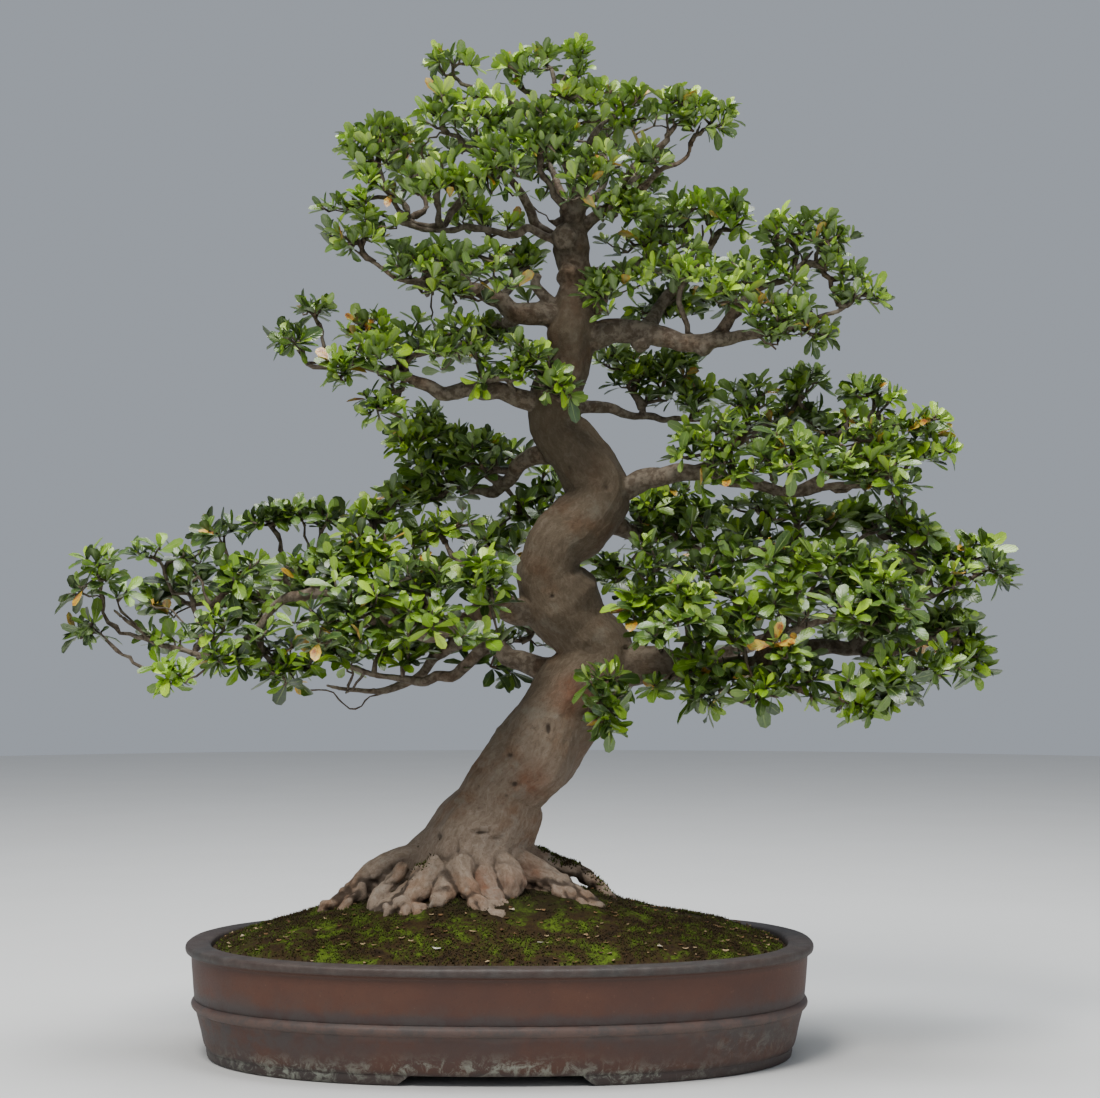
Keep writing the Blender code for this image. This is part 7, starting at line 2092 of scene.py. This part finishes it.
def root_moss(wood, draw):
    """Places and ways up of the moss shoots on the upper roots."""
    skin = BVHTree.FromPolygons([v.co for v in wood.data.vertices],
                                [p.vertices[:] for p in wood.data.polygons])
    extra = []
    up = []
    for across, depth, wide, deep, count in ROOT_MOSS:
        for k in range(count):
            x = (across + draw.normal(0, wide * 0.5)) * MM + CENTRING[0]
            y = (depth + draw.normal(0, deep * 0.5)) * MM + CENTRING[1]
            hit, normal, index, distance = skin.ray_cast(Vector((x, y, 0.175)), Vector((0, 0, -1)))
            if hit is not None and normal.z > FLAT_ENOUGH and hit.z > ROOT_MOSS_FOOT:
                extra.append(tuple(hit))
                up.append(tuple(normal * 0.6 + Vector((0, 0, 0.4))))
    return extra, up


def make_pile(wood):
    """Short upright moss shoots over the bed and on the upper roots."""
    draw = np.random.default_rng(12)
    flat = draw.uniform(-1, 1, (SPIKES * 2, 2)) * (POT_LENGTH / 2 - 0.02, POT_DEPTH / 2 - 0.02)
    height, out = bed_surface(flat[:, 0], flat[:, 1])
    patch = fractal(np.stack([flat[:, 0], flat[:, 1], np.zeros(len(flat))], 1), 0.020, 3, 61)
    keep = (out < 0.985) & (draw.random(len(flat)) < 0.62 + 0.9 * patch)
    flat = flat[keep][:SPIKES]
    height = height[keep][:SPIKES]
    places = np.stack([flat[:, 0], flat[:, 1], height], 1)
    step = 0.0006
    slope_x = (bed_surface(flat[:, 0] + step, flat[:, 1])[0] - height) / step
    slope_y = (bed_surface(flat[:, 0], flat[:, 1] + step)[0] - height) / step
    normals = np.stack([-slope_x * 0.5, -slope_y * 0.5, np.ones(len(flat))], 1)
    places = places + np.array(CENTRING)
    extra, up = root_moss(wood, draw)
    places = np.concatenate([places, np.array(extra)])
    normals = np.concatenate([normals, np.array(up)])
    points, triangles, along = spikes(places, normals, draw, (0.0012, 0.0030), (0.00045, 0.00085), 0.35)
    mesh = make_mesh("pile", points, triangles)
    set_values(mesh, "along", along)
    set_values(mesh, "tone", np.repeat(draw.uniform(0, 1, len(places)), 4))
    heaped = heap(places[:, 0] - CENTRING[0], places[:, 1] - CENTRING[1])
    heaped[len(heaped) - len(extra):] = 0.0
    set_values(mesh, "heap", np.repeat(heaped, 4))
    return add_piece("moss_pile", mesh, moss_pile_finish(), "moss", "moss")


# Pale flakes and pebbles seen on the moss: across, depth, size in mm and tone
LITTER = [(-107, -92, 5.5, 0.6), (-41, -112, 7.0, 0.95), (-17, -92, 6.0, 0.6), (10, -66, 5.0, 0.75),
          (29, -62, 5.0, 0.55), (113, -96, 7.0, 0.80), (131, -92, 5.0, 0.6), (194, -60, 5.0, 0.7),
          (62, -88, 4.5, 0.5), (-66, -96, 5.0, 0.6), (-150, -66, 4.5, 0.6), (-186, -30, 5.0, 0.7),
          (80, -118, 4.0, 0.5), (-90, -118, 4.5, 0.5), (160, -80, 5.0, 0.6), (30, -104, 4.0, 0.9)]
SMALL_LITTER = 560
SCRAP_SIDES = 8
LITTER_TONES = (0.0, 0.08, 0.18, 0.28, 0.36, 0.45, 0.62)


def scrap(across, depth, size, draw):
    """One small curled closed scrap that lies on the bed."""
    x, y = across * MM, depth * MM
    z = bed_surface(np.array([x]), np.array([y]))[0][0]
    spin = draw.uniform(0, 6.28)
    slim = draw.uniform(0.35, 0.8)
    curl = draw.uniform(0.05, 0.45)
    tilt = draw.uniform(-0.35, 0.35)
    rings = []
    for lift in (0.0, 1.0):
        for share in (1.0, 0.55):
            for k in range(SCRAP_SIDES):
                a = 2 * math.pi * k / SCRAP_SIDES
                reach = size * MM / 2 * share * (1 + 0.18 * math.sin(3 * a + spin))
                u, v = reach * math.cos(a), reach * math.sin(a) * slim
                rise = curl * u * u / (size * MM / 2) + tilt * v + 0.0010 + (lift - 0.5) * 0.00045
                rings.append((x + u * math.cos(spin) - v * math.sin(spin),
                              y + u * math.sin(spin) + v * math.cos(spin), z + rise))
    rings.append((x, y, z + 0.00075))
    rings.append((x, y, z + 0.00125))
    first = np.arange(SCRAP_SIDES)
    outer_low, inner_low, outer_high, inner_high = [first + SCRAP_SIDES * i for i in range(4)]
    strips = []
    for one, two in ((outer_low, inner_low), (inner_high, outer_high), (outer_high, outer_low)):
        after_one, after_two = np.roll(one, -1), np.roll(two, -1)
        strips.append(np.stack([one, two, after_two], 1))
        strips.append(np.stack([one, after_two, after_one], 1))
    strips.append(fan_triangles(inner_low, 4 * SCRAP_SIDES, True))
    strips.append(fan_triangles(inner_high, 4 * SCRAP_SIDES + 1))
    points = np.array(rings)
    faces = outward(points - points.mean(0), np.concatenate(strips))
    return points + np.array(CENTRING), faces


def make_litter():
    """Fallen flakes, petals, scraps of leaf and grit."""
    draw = random.Random(33)
    scraps = list(LITTER)
    while len(scraps) < len(LITTER) + SMALL_LITTER:
        x = draw.uniform(-210, 210)
        y = draw.uniform(-130, 130)
        if mound(np.array([x * MM]), np.array([y * MM]))[1][0] < 0.97:
            scraps.append((x, y, draw.uniform(1.6, 4.2), draw.choice(LITTER_TONES)))
    parts = []
    for across, depth, size, tone in scraps:
        points, faces = scrap(across, depth, size, draw)
        parts.append((points, faces, {"tone": np.full(len(points), tone)}))
    points, faces, values = merged(parts)
    mesh = make_mesh("litter", points, faces)
    set_values(mesh, "tone", values["tone"])
    return add_piece("fallen_litter", mesh, litter_finish(), "leaf", "moss")


# Stage, light and camera

def make_floor():
    """A wide round floor under the pot, for the picture only."""
    count = FLOOR_SIDES
    angles = np.arange(count) * 2 * math.pi / count
    rows = [np.stack([np.cos(angles) * r, np.sin(angles) * r + FLOOR_MIDDLE,
                      np.full(count, FLOOR_TOP - sink)], 1) for r, sink in FLOOR_RINGS]
    points = np.concatenate(rows + [[(0, FLOOR_MIDDLE, -0.0202), (0, FLOOR_MIDDLE, FLOOR_TOP)]])
    first = np.arange(count)
    triangles = np.concatenate([grid_triangles(4, count), fan_triangles(first, len(points) - 2, True),
                                fan_triangles(first + 3 * count, len(points) - 1)])
    mesh = make_mesh("floor", points, outward(points - np.array((0, FLOOR_MIDDLE, -0.01)), triangles))
    mesh.set_sharp_from_angle(angle=math.radians(40))
    f = Finish("pale_floor")
    cloud = f.noise(f.place(), 6.0, 3.0)
    made = f.finish(f.mix(cloud, srgb(206, 205, 202), srgb(212, 211, 209)), 0.85, Specular_IOR_Level=0.2)
    mesh.materials.append(made)
    floor = bpy.data.objects.new("floor", mesh)
    bpy.context.scene.collection.objects.link(floor)


WORLD_COLOUR = (0.78, 0.85, 0.95, 1.0)
WORLD_STRENGTH = 0.44
LIGHT_TARGET = (0.0, 0.0, 0.36)
# Floor: its middle's depth, its top, and rings of points with how far each one is sunk
FLOOR_SIDES = 96
FLOOR_MIDDLE = 0.6
FLOOR_TOP = -0.0002
FLOOR_RINGS = ((3.6, 0.02), (3.6, 0.0), (1.8, 0.0), (0.6, 0.0))
# Soft lights, all aimed at the tree's middle: name, place, size, watts and colour
LIGHTS = [
    ("key", (-0.62, -1.30, 2.40), 0.90, 60.0, (1.0, 0.985, 0.95)),
    ("fill", (1.75, -1.35, 0.95), 1.30, 5.0, (0.90, 0.95, 1.0)),
    ("top", (0.18, 0.10, 2.35), 1.40, 64.0, (0.95, 0.98, 1.0)),
]


def make_lights():
    world = bpy.data.worlds.new("soft_daylight")
    world.use_nodes = True
    back = world.node_tree.nodes["Background"]
    back.inputs[0].default_value = WORLD_COLOUR
    back.inputs[1].default_value = WORLD_STRENGTH
    bpy.context.scene.world = world
    for name, place, size, power, colour in LIGHTS:
        lamp = bpy.data.lights.new(name, "AREA")
        lamp.shape = "DISK"
        lamp.size = size
        lamp.energy = power
        lamp.color = colour
        holder = bpy.data.objects.new(name, lamp)
        holder.location = place
        aim = Vector(LIGHT_TARGET) - Vector(place)
        holder.rotation_euler = aim.to_track_quat("-Z", "Y").to_euler()
        bpy.context.scene.collection.objects.link(holder)


def make_camera():
    camera = bpy.data.cameras.new("camera")
    camera.lens = CAMERA_LENS
    camera.sensor_width = 36.0
    camera.sensor_fit = "HORIZONTAL"
    camera.clip_end = 50.0
    holder = bpy.data.objects.new("camera", camera)
    holder.location = (CENTRING[0] + EYE_ACROSS, CENTRING[1] - EYE_DISTANCE, EYE_HEIGHT)
    holder.rotation_euler = (math.radians(90 + CAMERA_PITCH), 0.0, 0.0)
    bpy.context.scene.collection.objects.link(holder)
    bpy.context.scene.camera = holder


def dress_kept_nodes():
    """Better materials on the CAD nodes that stay."""
    finishes = {"soil": soil_finish(), "drain_mesh_left": plastic_finish()}
    finishes["drain_mesh_right"] = finishes["drain_mesh_left"]
    for name, finish in finishes.items():
        node = frame["nodes"][name]
        for place in node.material_slots:
            place.material = finish


def main():
    make_camera()
    make_lights()
    make_floor()
    dress_kept_nodes()
    wood = make_wood()
    make_pot()
    make_bed()
    make_pile(wood)
    make_litter()
    leaf = leaf_finish()
    bark = bark_finish("bark_twigs", 0.18)
    whorls = front_whorls()
    for number, (name, limb, tufts) in enumerate(SPRAYS):
        make_spray(number, name, limb, tufts, whorls[name], leaf, bark)


main()
